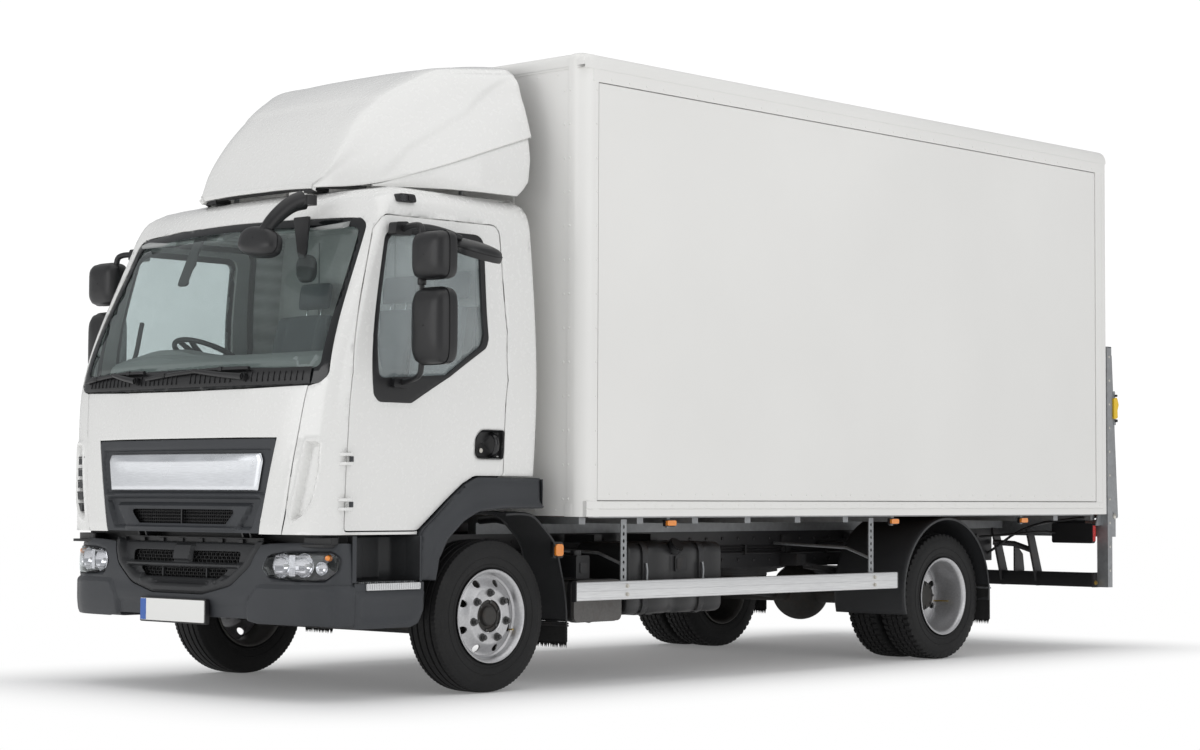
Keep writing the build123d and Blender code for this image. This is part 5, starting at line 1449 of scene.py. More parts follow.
# front wall with its rounded corner columns
k = Kit()
k.prism(rounded([(-1150, 494.5), (1150, 494.5), (1150, 512), (-1150, 512)], 1), "z", 900, 3290, "white_box")
for s in (1, -1):
    c = Kit()
    arc = [(BX - 86 + 86 * math.sin(t), BY0 + 86 - 86 * math.cos(t)) for t in np.linspace(0, math.pi / 2, 14)]
    outer = [(1132, 492), (1134, 489.4), (1150, 489.2)] + arc[1:-1] + [(1250.2, 575), (1250.4, 598), (1248, 601)]
    inner = [(1225.5, 601), (1225.5, 560), (1200, 520), (1132, 514)]
    c.prism(outer + inner, "z", 897, 3276, "white_box")
    # cap where the column meets the roof
    top = [(1132, 489.4)] + arc + [(1250.2, 601)]
    rows = []
    for t, dz in ((0, 0), (0.12, 26), (0.3, 48), (0.6, 64), (1.0, 74)):
        rows.append([(x + (1140 - x) * (t ** 2) * 0.55, y + (560 - y) * (t ** 2) * 0.6, 3275.5 + dz) for x, y in top])
    c.grid(rows, "white_box")
    # column's joint lines and heads
    rivets(c, [(1250.3, 588, z) for z in np.arange(990, 3200, 180)], (1, 0, 0), 7, 3.2)
    rivets(c, [(1144, 489.2, z) for z in np.arange(990, 3200, 180)], (0, -1, 0), 7, 3.2)
    rivets(c, [(1100, 494.4, z) for z in np.arange(990, 3200, 180)], (0, -1, 0), 7, 3.2)
    # foot casting
    c.prism(rounded([(1120, 486.5), (1180, 486.5), (1252.5, 560), (1252.5, 612), (1226, 612), (1226, 520), (1120, 512)], [3, 60, 30, 3, 2, 20, 2]), "z", 897.5, 966, "white_box")
    k.merge(c if s > 0 else c.mirrored())
rivets(k, [(x, 494.2, z) for x in np.arange(-1050, 1051, 150) for z in (930, 3240)], (0, -1, 0), 5, 2)
for x in (-700, 0, 700):
    k.prism([(x - 30, 494.6), (x - 27, 491.5), (x + 27, 491.5), (x + 30, 494.6)], "z", 915, 3240, "white_box")
    rivets(k, [(x + dx, 491.4, z) for dx in (-18, 18) for z in np.arange(980, 3220, 160)], (0, -1, 0), 4, 1.6)
k.make("front_wall_skin", "chassis", "white_paint", angle=35, replaces=("box_front_wall",))

# rear frame: posts, header, sill, seals, hinges of the opening's guards
k = Kit()
for s in (1, -1):
    c = Kit()
    prof = rounded([(1120, 5506), (1250.3, 5506), (1250.3, 5628), (1238, 5640), (1132, 5640), (1120, 5628)], [2, 2, 12, 3, 3, 8])
    c.prism(prof, "z", 897.5, 3262, "white_box")
    rivets(c, [(1250.2, y, z) for y in (5530,) for z in np.arange(960, 3250, 120)], (1, 0, 0), 4.2, 1.8)
    rivets(c, [(1150, 5639.8, z) for z in np.arange(960, 3050, 180)], (0, 1, 0), 5, 2)
    # recess strip and rubber bumper at the foot
    c.box((1250, 1251.6), (5580, 5584), (930, 3240), "white_box")
    c.prism(rounded([(1140, 5640), (1230, 5640), (1230, 5646), (1140, 5646)], 2), "z", 1010, 1180, "tyre")
    k.merge(c if s > 0 else c.mirrored())
k.prism(rounded([(5506, 3080), (5640, 3080), (5640, 3330), (5625, 3347), (5506, 3347)], [2, 6, 6, 6, 2]), "x", -1121, 1121, "white_box")
k.prism(rounded([(5506, 897), (5640, 897), (5640, 985), (5506, 985)], 3), "x", -1121, 1121, "galv")
k.prism([(5512, 3072), (5560, 3072), (5560, 3082), (5512, 3082)], "x", -1118, 1118, "seal")
for x in np.arange(-1050, 1051, 150):
    rivets(k, [(x, 5640, 3110), (x, 5640, 3300)], (0, 1, 0), 5, 2)
for i in range(36):
    x = -1085 + i * 62
    k.prism([(x, 5520), (x + 34, 5520), (x + 34, 5524), (x, 5524)], "z", 984.5, 987, "galv")
# two small white and red lamps high on the header
for s in (1, -1):
    k.prism(rounded([(s * 1150, 3290), (s * 1220, 3290), (s * 1220, 3316), (s * 1150, 3316)], 8), "y", 5634, 5646, "red")
    k.prism(rounded([(s * 1060, 3290), (s * 1130, 3290), (s * 1130, 3316), (s * 1060, 3316)], 8), "y", 5634, 5646, "white_lens")
k.make("rear_frame_skin", "chassis", "white_paint", angle=35, bevel=0, replaces=("box_rear_frame",))

# roller shutter: slats with hinged joints, handle bar, straps
k = Kit()
z = 990.0
i = 0
while z < 3078:
    h = 96 if i else 130
    h = min(h, 3080 - z)
    pts = [(5593, z + 1.5), (5596, z + 3), (5603, z + 10), (5605, z + h * 0.5), (5603, z + h - 10), (5597, z + h - 2.5), (5593, z + h - 1)]
    k.grid([[(x, y, zz) for y, zz in pts] for x in (-1118, 1118)], "galv")
    z += h; i += 1
k.grid([[(x, 5590, zz) for zz in (988, 3080)] for x in (-1118, 1118)], "galv")
for x in (-560, 560):
    k.box((x - 20, x + 20), (5603, 5607), (1000, 3060), "seal")
k.box((-1118, 1118), (5586, 5612), (987, 1004), "seal")
k.cyl((-70, 5618, 1068), (70, 5618, 1068), 9, "black", 16)
for x in (-70, 70):
    k.tube([(x, 5600, 1068), (x, 5620, 1068)], 8, "black", 10)
k.prism(rounded([(-100, 1030), (100, 1030), (100, 1106), (-100, 1106)], 12), "y", 5604, 5609, "steel_dark")
for s in (1, -1):
    k.prism(rounded([(s * 1080 - 30, 1020), (s * 1080 + 30, 1020), (s * 1080 + 30, 1090), (s * 1080 - 30, 1090)], 6), "y", 5604, 5614, "steel_dark")
k.make("shutter_skin", "chassis", "steel", angle=30, replaces=("roller_shutter",))

paint_node("box_floor", "wood")
paint_node("body_subframe", "galv")

# fasteners, wiring and side lamps along the bottom of the body
k = Kit()
for s in (1, -1):
    c = Kit()
    for y in (1221, 3266, 4671):
        c.prism(rounded([(y - 42, 842), (y + 42, 842), (y + 42, 880), (y - 42, 880)], 8), "x", 1200, 1216, "black")
        c.prism(rounded([(y - 36, 847), (y + 36, 847), (y + 36, 875), (y - 36, 875)], 9), "x", 1214, 1230, "amber")
        c.box((1190, 1202), (y - 12, y + 12), (836, 896), "galv")
        c.tube([(1198, y + 20, 858), (1150, y + 40, 850), (1100, y + 70, 872)], 3.2, "black", 6, smooth=2)
    # hem angle under the wall
    c.prism([(1196, 890), (1224, 890), (1224, 897), (1196, 897)], "y", 560, 5500, "galv")
    k.merge(c if s > 0 else c.mirrored())
k.make("side_lamps", "chassis", "lamp_glass", angle=40)


# ------------------------------------------------------------------ wheels
AX = {"front": 0.0, "rear": 3900.0}


def tyre(k, cx, cy, kind):
    side = [(84, 223), (91, 226), (97, 231), (100, 238), (104, 248), (107.5, 251), (107, 256), (109, 272), (112, 296), (113, 318), (111.5, 340), (108.5, 354),
            (107.5, 356), (107, 361), (104, 371), (100, 379)]
    if kind == "front":
        n, pitch = 288, 96
        gro = [(-66, 10), (-24, 10), (24, 10), (66, 10)]
    else:
        n, pitch = 336, 56
        gro = [(-60, 12), (-19, 9), (19, 9), (60, 12)]
    tread = [-97, -92]
    for a, w in gro:
        tread += [a - w / 2 - 1.2, a - w / 2 + 1.2, a + w / 2 - 1.2, a + w / 2 + 1.2]
    tread += [92, 97]
    rows = []
    for j in range(n):
        th = 2 * math.pi * j / n
        u = (j % (n // pitch)) / (n // pitch)
        row = []
        for a, r in side:
            cut = 0.0
            if r > 360 and kind == "rear" and u < 0.2:
                cut = 5
            row.append((-a, r - cut))
        for i, a in enumerate(tread):
            r = 391 - 5.0 * (abs(a) / 97.0) ** 4
            for g, w in gro:
                if abs(a - g) < w / 2 - 0.5:
                    r -= 11
            if kind == "front":
                if abs(a) > 78 and u < 0.3:
                    r -= 4.0
            else:
                zig = (u + (0.5 if abs(a) < 40 else 0.0) + (0.18 if a > 0 else 0)) % 1.0
                if zig < 0.2 and not any(abs(a - g) < w / 2 - 0.5 for g, w in gro):
                    r -= 8.5 if abs(a) > 40 else 6.0
            row.append((a, r))
        for a, r in reversed(side):
            cut = 5 if (r > 360 and kind == "rear" and u < 0.2) else 0.0
            row.append((a, r - cut))
        # inner face closes the body of the tyre
        for a, r in ((78, 219.8), (0, 219.2), (-78, 219.8)):
            row.append((a, r))
        c, s = math.cos(th), math.sin(th)
        rows.append([(cx + a, cy + r * c, 391 + r * s) for a, r in row])
    k.grid(rows, "tyre", closed_u=True, closed_v=True)
    # raised rings on the sidewall
    for sgn in (1, -1):
        for r0, a0 in ((264, 108.6), (300, 112.9)):
            k.lathe([(sgn * (a0 - 1.5), r0 - 3), (sgn * (a0 + 1.2), r0 - 1.5), (sgn * (a0 + 1.2), r0 + 1.5), (sgn * (a0 - 1.0), r0 + 3)], (cx, cy, 391), (1, 0, 0), "tyre", 96)


def holed_disc(k, cx, cy, prof, r_out, r_in, vents, vent_r, vent_n, key, thick, sgn=1):
    # pressed disc: its shape along the axle follows prof (radius, along); round vents are cut right through
    circ = lambda R, n, ph=0.0, c=(0, 0): [(c[0] + R * math.cos(ph + 2 * math.pi * i / n), c[1] + R * math.sin(ph + 2 * math.pi * i / n)) for i in range(n)]
    holes = [circ(r_in, 48)]
    for i in range(vent_n):
        t = 2 * math.pi * (i + 0.5) / vent_n
        holes.append(circ(vent_r, 20, t, (vents * math.cos(t), vents * math.sin(t))))
    rings = [p for R in (90, 104, 134, 142, 148, 154, 198) if r_in + 3 < R < r_out - 3 for p in circ(R, 64)]
    V, T = fill(circ(r_out, 80), holes, 9.0, rings)
    pr = sorted(prof)
    rr = np.hypot(V[:, 0], V[:, 1])
    al = pchip([p[0] for p in pr], [p[1] for p in pr], rr)
    n = len(V)
    out = [(cx + a, cy + y, 391 + z) for (y, z), a in zip(V, al)]
    back = [(cx + a - thick, cy + y, 391 + z) for (y, z), a in zip(V, al)]
    tris = [tuple(t) for t in T]
    k.add(out + back, tris + [tuple(reversed([i + n for i in t])) for t in tris], key)
    # walls round the edges
    cnt = {}
    for t in tris:
        for a, b in ((t[0], t[1]), (t[1], t[2]), (t[2], t[0])):
            e = (min(a, b), max(a, b)); cnt.setdefault(e, []).append((a, b))
    walls = [(b, a, a + n, b + n) for e, l in cnt.items() if len(l) == 1 for a, b in l]
    k.add(out + back, walls, key)


def nut(k, c, key="nut", r=17, h=20):
    ang = random.random() * 1.0
    pts = [(c[1] + r * math.cos(ang + i * math.pi / 3), c[2] + r * math.sin(ang + i * math.pi / 3)) for i in range(6)]
    k.lathe([(0, 0.01), (0, r * 1.28), (3.5, r * 1.28), (5, r * 1.05), (5, 0.01)], c, (1, 0, 0), key, 20)
    k.prism(pts, "x", c[0] + 4, c[0] + h, key)
    k.lathe([(h - 1, r * 0.62), (h + 9, r * 0.55), (h + 11, r * 0.42), (h + 11, 0.01)], c, (1, 0, 0), key, 14)


def rim_front(k, cx, cy):
    k.lathe([(96, 221.5), (101, 226), (104.5, 231), (107, 237), (110, 239.5), (113.5, 238.5), (114.5, 235), (112, 230), (107, 224), (101, 219), (92, 215),
             (78, 213.5), (70, 212), (66, 208), (62, 202)], (cx, cy, 391), (1, 0, 0), "rim", 96)
    k.lathe([(-96, 221.5), (-101, 226), (-107, 237), (-110, 239.5), (-113.5, 238.5), (-112, 230), (-103, 219.5), (-90, 215), (-60, 206), (-20, 203), (30, 203), (58, 206)],
            (cx, cy, 391), (1, 0, 0), "rim_dark", 72)
    holed_disc(k, cx, cy, [(84, 97), (90, 100), (104, 100), (136, 100), (143, 99), (150, 92), (162, 80), (178, 68), (194, 60.5), (206, 60)], 206.5, 84, 177, 20, 8, "rim", 8)
    # hub: dark ring, bearing cap, grease cap
    k.lathe([(40, 83), (84, 83), (88, 80), (88, 66), (80, 62), (80, 52), (84, 50), (98, 49), (104, 44), (107, 30), (108, 0.01)], (cx, cy, 391), (1, 0, 0), "iron", 48)
    for i in range(6):
        t = math.pi * 2 * (i + 0.3) / 6
        k.prism([(cy + 73 * math.cos(t) + 7 * math.cos(t2), 391 + 73 * math.sin(t) + 7 * math.sin(t2)) for t2 in [j * math.pi / 3 for j in range(6)]], "x", cx + 86, cx + 94, "nut")
    for i in range(7):
        t = 2 * math.pi * i / 7 + math.pi / 2
        nut(k, (cx + 99.5, cy + 119 * math.cos(t), 391 + 119 * math.sin(t)))
    # valve
    k.tube([(cx + 60, cy + 196 * 0.92, 391 - 196 * 0.39), (cx + 84, cy + 190 * 0.92, 391 - 190 * 0.39), (cx + 96, cy + 188 * 0.92, 391 - 188 * 0.39)], 4.2, "brass", 8)


def rim_rear(k, cy):
    # outer wheel: deep dish; its disc and the inner wheel's disc meet between the tyres
    cx = 1023
    k.lathe([(96, 221.5), (101, 226), (104.5, 231), (107, 237), (110, 239.5), (113.5, 238.5), (114.5, 235), (112, 230), (107, 224), (101, 219), (88, 215),
             (30, 211), (-40, 209), (-70, 208), (-90, 207), (-104, 205.5)], (cx, cy, 391), (1, 0, 0), "rim", 96)
    k.lathe([(-96, 221.5), (-101, 226), (-107, 237), (-110, 239.5), (-113.5, 238.5), (-112, 230), (-106, 222), (-104, 214)], (cx, cy, 391), (1, 0, 0), "rim", 72)
    holed_disc(k, cx, cy, [(104, -116), (136, -116), (146, -114.5), (160, -106), (176, -97), (192, -93), (206, -95)], 206.5, 104, 177, 20, 8, "rim", 8)
    cx = 773
    k.lathe([(96, 221.5), (101, 226), (107, 237), (110, 239.5), (113.5, 238.5), (112, 230), (106, 224), (104, 214)], (cx, cy, 391), (1, 0, 0), "rim", 72)
    k.lathe([(-96, 221.5), (-101, 226), (-107, 237), (-110, 239.5), (-113.5, 238.5), (-114.5, 235), (-107, 224), (-88, 215), (30, 211), (104, 206)], (cx, cy, 391), (1, 0, 0), "rim_dark", 72)
    holed_disc(k, cx, cy, [(104, 124), (136, 124), (146, 122), (160, 112), (176, 103), (192, 99), (206, 100)], 206.5, 104, 177, 20, 8, "rim_dark", 8)
    # hub barrel through both discs
    c = (898, cy, 391)
    k.lathe([(-160, 104), (-6, 103), (10, 102), (60, 98), (80, 92), (86, 86), (94, 84), (100, 78), (102, 62), (102, 0.01)], c, (1, 0, 0), "iron", 48)
    for i in range(8):
        t = 2 * math.pi * i / 8
        k.prism([(cy + 70 * math.cos(t) + 8 * math.cos(q), 391 + 70 * math.sin(t) + 8 * math.sin(q)) for q in [j * math.pi / 3 for j in range(6)]], "x", 998, 1007, "nut")
    for i in range(7):
        t = 2 * math.pi * i / 7 + 0.3
        nut(k, (907.5, cy + 122 * math.cos(t), 391 + 122 * math.sin(t)))
    k.tube([(930, cy + 190, 391 - 40), (975, cy + 186, 391 - 38), (1040, cy + 184, 391 - 38)], 4.2, "brass", 8)


random.seed(7)
for side in ("left", "right"):
    for end in ("front", "rear"):
        body = f"wheel_{end}_{side}"
        k = Kit()
        if end == "front":
            tyre(k, 962, 0, "front")
        else:
            tyre(k, 1023, 3900, "rear"); tyre(k, 773, 3900, "rear")
        if side == "right":
            k = k.mirrored()
        rep = f"front_{side}_tyre" if end == "front" else f"rear_{side}_tyres"
        k.make(f"tyre_{end}_{side}", body, "tyre", angle=34, replaces=(rep,))
        k = Kit()
        if end == "front":
            rim_front(k, 962, 0)
        else:
            rim_rear(k, 3900)
        if side == "right":
            k = k.mirrored()
        rep = f"front_{side}_rim" if end == "front" else f"rear_{side}_rims"
        k.make(f"rim_{end}_{side}", body, "wheel_steel", angle=32, replaces=(rep,))


# ------------------------------------------------------------------ roof fairing
FY = [-690, -655, -591, -478, -313, -141, 14, 358]
FS = {"low": [480, 515, 573, 677, 829, 930, 965, 1008], "zlow": [2586, 2587, 2589, 2606, 2667, 2731, 2788, 2908],
      "mx": [462, 494, 545, 612, 715, 800, 850, 936], "mz": [2594, 2614, 2675, 2762, 2872, 2962, 3030, 3118],
      "sx": [440, 470, 500, 522, 566, 632, 700, 846], "sz": [2602, 2646, 2752, 2902, 3052, 3162, 3234, 3258], "cr": [2612, 2660, 2770, 2928, 3084, 3198, 3268, 3338]}


def fair_sec(t, y):
    # half outline of the fairing at y: from the low outer edge over the shoulder to the middle
    g = {n: float(pchip(FY, v, y)) for n, v in FS.items()}
    shx, shz, crown = g["sx"], g["sz"], g["cr"]
    P = [(g["low"], g["zlow"]), (g["mx"], g["mz"]), (shx, shz), (shx * 0.55, shz + (crown - shz) * 0.85), (0, crown), (-shx * 0.55, shz + (crown - shz) * 0.85)]
    V = [Vector(p) for p in P]
    V = [V[0] * 2 - V[1]] + V
    seg = min(int(t * 4), 3); u = t * 4 - seg
    p0, p1, p2, p3 = V[seg:seg + 4]
    q = 0.5 * ((2 * p1) + (-p0 + p2) * u + (2 * p0 - 5 * p1 + 4 * p2 - p3) * u * u + (-p0 + 3 * p1 - 3 * p2 + p3) * u ** 3)
    return q.x, q.y


def fairing(y0, y1, key, ny=52):
    k = Kit()
    rows = []
    ts = np.concatenate([np.linspace(0, 0.25, 19)[:-1], np.linspace(0.25, 0.62, 27)[:-1], np.linspace(0.62, 1, 12)])
    for y in np.linspace(y0, y1, ny):
        P = [Vector(fair_sec(float(t), float(y))) for t in ts]
        # flank below the fold sits a little deeper; the middle deck starts with a low step
        tc = float(np.interp(y, [-478, -313, -141, 14, 200, 345], [0.0, 0.153, 0.197, 0.225, 0.36, 0.47]))
        on = float(sstep(y, -470, -380))
        r = []
        for i, t in enumerate(ts):
            a, b = P[max(i - 1, 0)], P[min(i + 1, len(P) - 1)]
            d = (b - a).normalized() if (b - a).length > 1e-6 else Vector((-1, 0))
            n = Vector((d.y, -d.x))
            if n.x < 0 and n.y < 0:
                n = -n
            off = -10.0 * on * (1 - float(sstep(t, tc - 0.018, tc + 0.018))) + 12.0 * float(sstep(t, 0.50, 0.53)) * float(sstep(y, -330, -296)) - 6
            q = P[i] + n * off
            r.append((max(0.0, q.x) if i < len(ts) - 1 else 0.0, y, q.y))
        full = [(-x, b, c) for x, b, c in r] + [(x, b, c) for x, b, c in reversed(r[:-1])]
        rows.append(full)
    k.grid(rows, key)
    return k, rows


k, rows = fairing(-690, 352, "white")
# rolled rear edge and rolled low edge
last = rows[-1]
k.grid([last, [(x * 0.997, y + 7, z - 4) for x, y, z in last], [(x * 0.985, y + 7, z - 16) for x, y, z in last]], "white")
for idx in (0, -1):
    e = [r[idx] for r in rows]
    sg = -1 if idx == 0 else 1
    k.grid([e, [(x - sg * 3, y, z - 5) for x, y, z in e], [(x - sg * 16, y, z - 6) for x, y, z in e]], "white")
first = rows[0]
k.grid([first, [(x * 0.99, y + 1, z - 8) for x, y, z in first], [(x * 0.97, y + 6, z - 22) for x, y, z in first], [(x * 0.95, y + 26, z - 24) for x, y, z in first]], "white")
k.make("fairing_shell", "cab", "white_paint", angle=50, solid=5, replaces=("roof_fairing",), weld=0.4, subsurf=0, in_mat=0)

# side extender under the fairing
k = Kit()
c = Kit()
rows = []
for t in np.linspace(0, 1, 9):
    ye = float(np.interp(t, [0, 0.35, 0.78, 1.0], [336, 344, 330, 262]))
    row = []
    for u in np.linspace(0, 1, 34):
        y = -474 + (ye + 474) * u
        xt, zt = fair_sec(0.0, float(y))
        xb = float(np.interp(y, [-474, -313, -141, 14, 262], [672, 800, 904, 950, 986]))
        zb = float(np.interp(y, [-474, 262], [2592, 2581]))
        x = xt - 22 + (xb - xt + 22) * t
        z = max(zt - 10, zb + 3) * (1 - t) + zb * t
        row.append((x + 7 * math.sin(t * math.pi), y, z))
    rows.append(row)
c.grid(rows, "white")
e = [r[-1] for r in rows]
c.grid([e, [(x - 3, y + 6, z) for x, y, z in e], [(x - 20, y + 8, z) for x, y, z in e]], "white")
c.grid([rows[-1], [(x - 3, y, z - 5) for x, y, z in rows[-1]], [(x - 22, y, z - 6) for x, y, z in rows[-1]]], "white")
both(c, k)
k.make("fairing_sides", "cab", "white_paint", angle=50, solid=4, weld=0.4)
# carriers and fixings under the fairing
k = Kit()
for x in (-620, 620):
    k.tube([(x * 0.8, -420, 2560), (x * 0.8, -420, 2700), (x * 0.78, -300, 2860)], 14, "galv", 10)
    k.tube([(x, 200, 2560), (x, 210, 2900), (x * 0.9, 240, 3180)], 14, "galv", 10)
k.tube([(-500, -420, 2700), (500, -420, 2700)], 14, "galv", 10)
k.tube([(-560, 236, 3150), (560, 236, 3150)], 14, "galv", 10)
for x in (-400, 400):
    k.prism([(x - 40, -670), (x + 40, -670), (x + 30, -560), (x - 30, -560)], "z", 2556, 2584, "black")
k.make("fairing_carrier", "cab", "steel", angle=40)

# black gasket line between roof and fairing
k = Kit()
path = [(-640, -500), (-520, -630), (-440, -672), (440, -672), (520, -630), (640, -500)]
k.tube([(x, y + 12, 2578) for x, y in resample(path, 60, False)], 9, "seal", 8, smooth=1)
k.make("fairing_gasket", "cab", "dark_plastic")


# ------------------------------------------------------------------ roof side lamps
k = Kit()
for s in (1, -1):
    c = Kit()
    b = side_xyz(-545, 2488)
    c.prism(rounded([(-606, 2470), (-470, 2474), (-486, 2516), (-590, 2514)], 18), "x", b[0] - 40, b[0] + 24, "black")
    c.prism(rounded([(-594, 2476), (-548, 2477), (-550, 2508), (-584, 2508)], 12), "x", b[0] + 20, b[0] + 30, "lens")
    c.prism(rounded([(-534, 2479), (-490, 2481), (-500, 2510), (-530, 2510)], 12), "x", b[0] + 20, b[0] + 29, "gloss_black")
    k.merge(c if s > 0 else c.mirrored())
k.make("roof_side_lamps", "cab", "lamp_glass", bevel=2, angle=40)


# ------------------------------------------------------------------ mirrors
def pod(k, c, w, h, d, key, glass, lean=0.0, flat=0.0, e=3.2):
    # a mirror head: rounded, deeper towards its middle, its open face with the glass set into a lip.
    # c is the centre, w across x, h along z, d along y; the glass looks to the rear (+y)
    cx, cy, cz = c
    n = 40

    def ring(sx, sz):
        out = []
        for i in range(n):
            t = 2 * math.pi * i / n
            ct, st = math.cos(t), math.sin(t)
            out.append((sx * abs(ct) ** (2 / e) * (1 if ct >= 0 else -1), sz * abs(st) ** (2 / e) * (1 if st >= 0 else -1)))
        return out
    prof = [(-0.50, 0.02), (-0.495, 0.35), (-0.46, 0.62), (-0.38, 0.82), (-0.22, 0.94), (0.0, 0.99), (0.25, 1.0), (0.42, 0.985), (0.5, 0.96), (0.5, 0.90), (0.44, 0.885)]
    rows = []
    for v, q in prof:
        rr = ring(w / 2 * q, h / 2 * q)
        rows.append([(cx + a + lean * b * 0.0, cy + v * d + lean * b, cz + b) for a, b in rr])
    k.grid(rows, key, closed_u=True)
    g = ring(w / 2 * 0.885, h / 2 * 0.885)
    k.grid([[(cx + a * q, cy + 0.43 * d + lean * b * q + 2 * (1 - q), cz + b * q) for a, b in g] for q in (1.0, 0.7, 0.35, 0.02)], glass, closed_u=True)
    # a joint line round the shell
    rr = ring(w / 2 * 1.004, h / 2 * 1.004)
    rows = []
    for v in (0.02, 0.035, 0.05):
        q = 1.006 if v != 0.035 else 0.985
        rows.append([(cx + a * q, cy + v * d + lean * b, cz + b * q) for a, b in rr])
    k.grid(rows, key, closed_u=True)


for side, s in (("left", 1), ("right", -1)):
    k = Kit()
    pod(k, (1330, -672, 2176), 240, 238, 116, "black", "mirror", e=5.0)
    pod(k, (1330, -670, 1830), 240, 378, 122, "black", "mirror", e=5.4)
    # arm: from the top bracket out to the heads, through their backs, and in again to the lower bracket
    k.tube([(1066, -640, 2318), (1130, -642, 2334), (1210, -652, 2334), (1244, -662, 2318), (1248, -664, 2240)], 16, "black", 12, smooth=2)
    k.tube([(1248, -664, 2090), (1248, -664, 1990)], 13, "black", 12)
    k.tube([(1248, -664, 1680), (1246, -662, 1620), (1218, -652, 1586), (1140, -642, 1568), (1070, -640, 1562)], 14, "black", 12, smooth=2)
    for z in (2052,):
        k.lathe([(-18, 0.01), (-18, 19), (-14, 22), (14, 22), (18, 19), (18, 0.01)], (1248, -664, z), (0, 0, 1), "black", 16)
    # brackets on the door frame
    k.prism(rounded([(-700, 2292), (-588, 2292), (-592, 2346), (-620, 2362), (-690, 2356)], 16), "x", 1036, 1092, "black")
    k.prism(rounded([(-700, 1536), (-590, 1536), (-584, 1572), (-690, 1590)], 14), "x", 1046, 1090, "black")
    if s > 0:
        # kerb mirror over the window, on its own short arm
        k.tube([(1060, -600, 2334), (1110, -520, 2344), (1150, -400, 2322), (1160, -320, 2296)], 17, "black", 10, smooth=2)
        kk = Kit()
        pod(kk, (0, 0, 0), 225, 300, 84, "black", "mirror", e=2.6)
        # turned so that its glass looks down at the kerb
        kk.v = [(1158 + x * 0.80 - y * 0.30, -205 + z * 1.0, 2250 - y * 0.8 - x * 0.30 - z * 0.10) for x, y, z in kk.v]
        k.merge(kk)
    if s < 0:
        k = k.mirrored()
    k.make("mirrors_" + side + "_skin", "door_" + side + "_body", "dark_plastic", angle=40, replaces=("mirrors_" + side,))

# front mirror: thick arm from the roof and a rounded head over the screen
k = Kit()
k.tube([(628, -905, 2478), (612, -968, 2454), (588, -1046, 2384), (566, -1088, 2320), (552, -1100, 2290)], [50, 27], "black", 16, smooth=2)
kk = Kit()
pod(kk, (0, 0, 0), 284, 150, 90, "black", "mirror", e=2.8)
kk.v = [(525 + x * (1.0 - z * 0.0014), -1098 + y * 0.86 + z * 0.28, 2264 - y * 0.36 + z * 0.94 - x * 0.10) for x, y, z in kk.v]
k.merge(kk)
k.prism(rounded([(566, -940), (680, -925), (690, -850), (560, -860)], 20), "z", 2452, 2500, "black")
k.make("front_mirror_skin", "cab", "dark_plastic", angle=45, replaces=("front_mirror",))


# ------------------------------------------------------------------ wheel arch flares, front guards and steps
FL_OUT = [(-498, 584), (-496, 700), (-484, 823), (-392, 891), (-288, 977), (-176, 1059), (-106, 1091), (-74, 1098), (363, 1098)]
FL_IN = [(363, 943), (77, 943), (-107, 926), (-214, 877), (-326, 786), (-380, 690), (-402, 584)]
k = Kit()
for s in (1, -1):
    c = Kit()
    out = rounded(FL_OUT + FL_IN, [0, 60, 90, 200, 300, 100, 40, 60, 6, 6, 120, 160, 120, 120, 80, 0], 6)
    V, T = fill(out, [], 17)
    inner = rounded(FL_IN + [(-502, 584), (-502, 600), (-480, 900), (0, 1200), (363, 1200)], [0, 120, 160, 120, 120, 80, 0, 0, 0, 0, 0, 0], 6)
    d = sdist(V[:, 0], V[:, 1], out)
    di = np.min(np.hypot(V[:, None, 0] - np.array([p[0] for p in resample(FL_IN, 14, False)])[None], V[:, None, 1] - np.array([p[1] for p in resample(FL_IN, 14, False)])[None]), axis=1)
    lip = 10 * (1 - sstep(di, 18, 42))                 # raised lip round the wheel opening
    soft = -16 * (1 - sstep(d, 0, 26)) * (di > 22)     # rolled outer edge
    base = 1076 + lip + soft + 5 * np.sin(np.clip((V[:, 1] - 584) / 520, 0, 1) * math.pi)
    pts = [(float(x), float(y), float(z)) for x, (y, z) in zip(base, V)]
    c.add(pts, [tuple(t) for t in T], "grey")
    # return of the lip towards the wheel, and of the outer edge towards the body
    edge = rounded(FL_IN, [0, 120, 160, 120, 120, 80, 0], 6)
    edge = resample(edge, 17, False)
    c.grid([[(1086, y, z) for y, z in edge], [(1080, y + (0 - y) * 0.006, z - 3) for y, z in edge], [(1030, y, z - 3) for y, z in edge], [(996, y, z) for y, z in edge]], "grey")
    eo = resample(rounded(FL_OUT, [0, 60, 90, 200, 300, 100, 40, 60, 0], 6), 17, False)
    c.grid([[(1060, y, z) for y, z in eo], [(1046, y, z + 1) for y, z in eo], [(1010, y, z) for y, z in eo]], "grey")
    c.grid([[(1078, 363, z) for z in np.linspace(943, 1092, 8)], [(1070, 367, z) for z in np.linspace(943, 1092, 8)], [(1000, 367, z) for z in np.linspace(943, 1092, 8)]], "grey")
    k.merge(c if s > 0 else c.mirrored())
k.make("flares", "cab", "grey_plastic", angle=38, solid=4, replaces=("arch_flares",), weld=3.2)


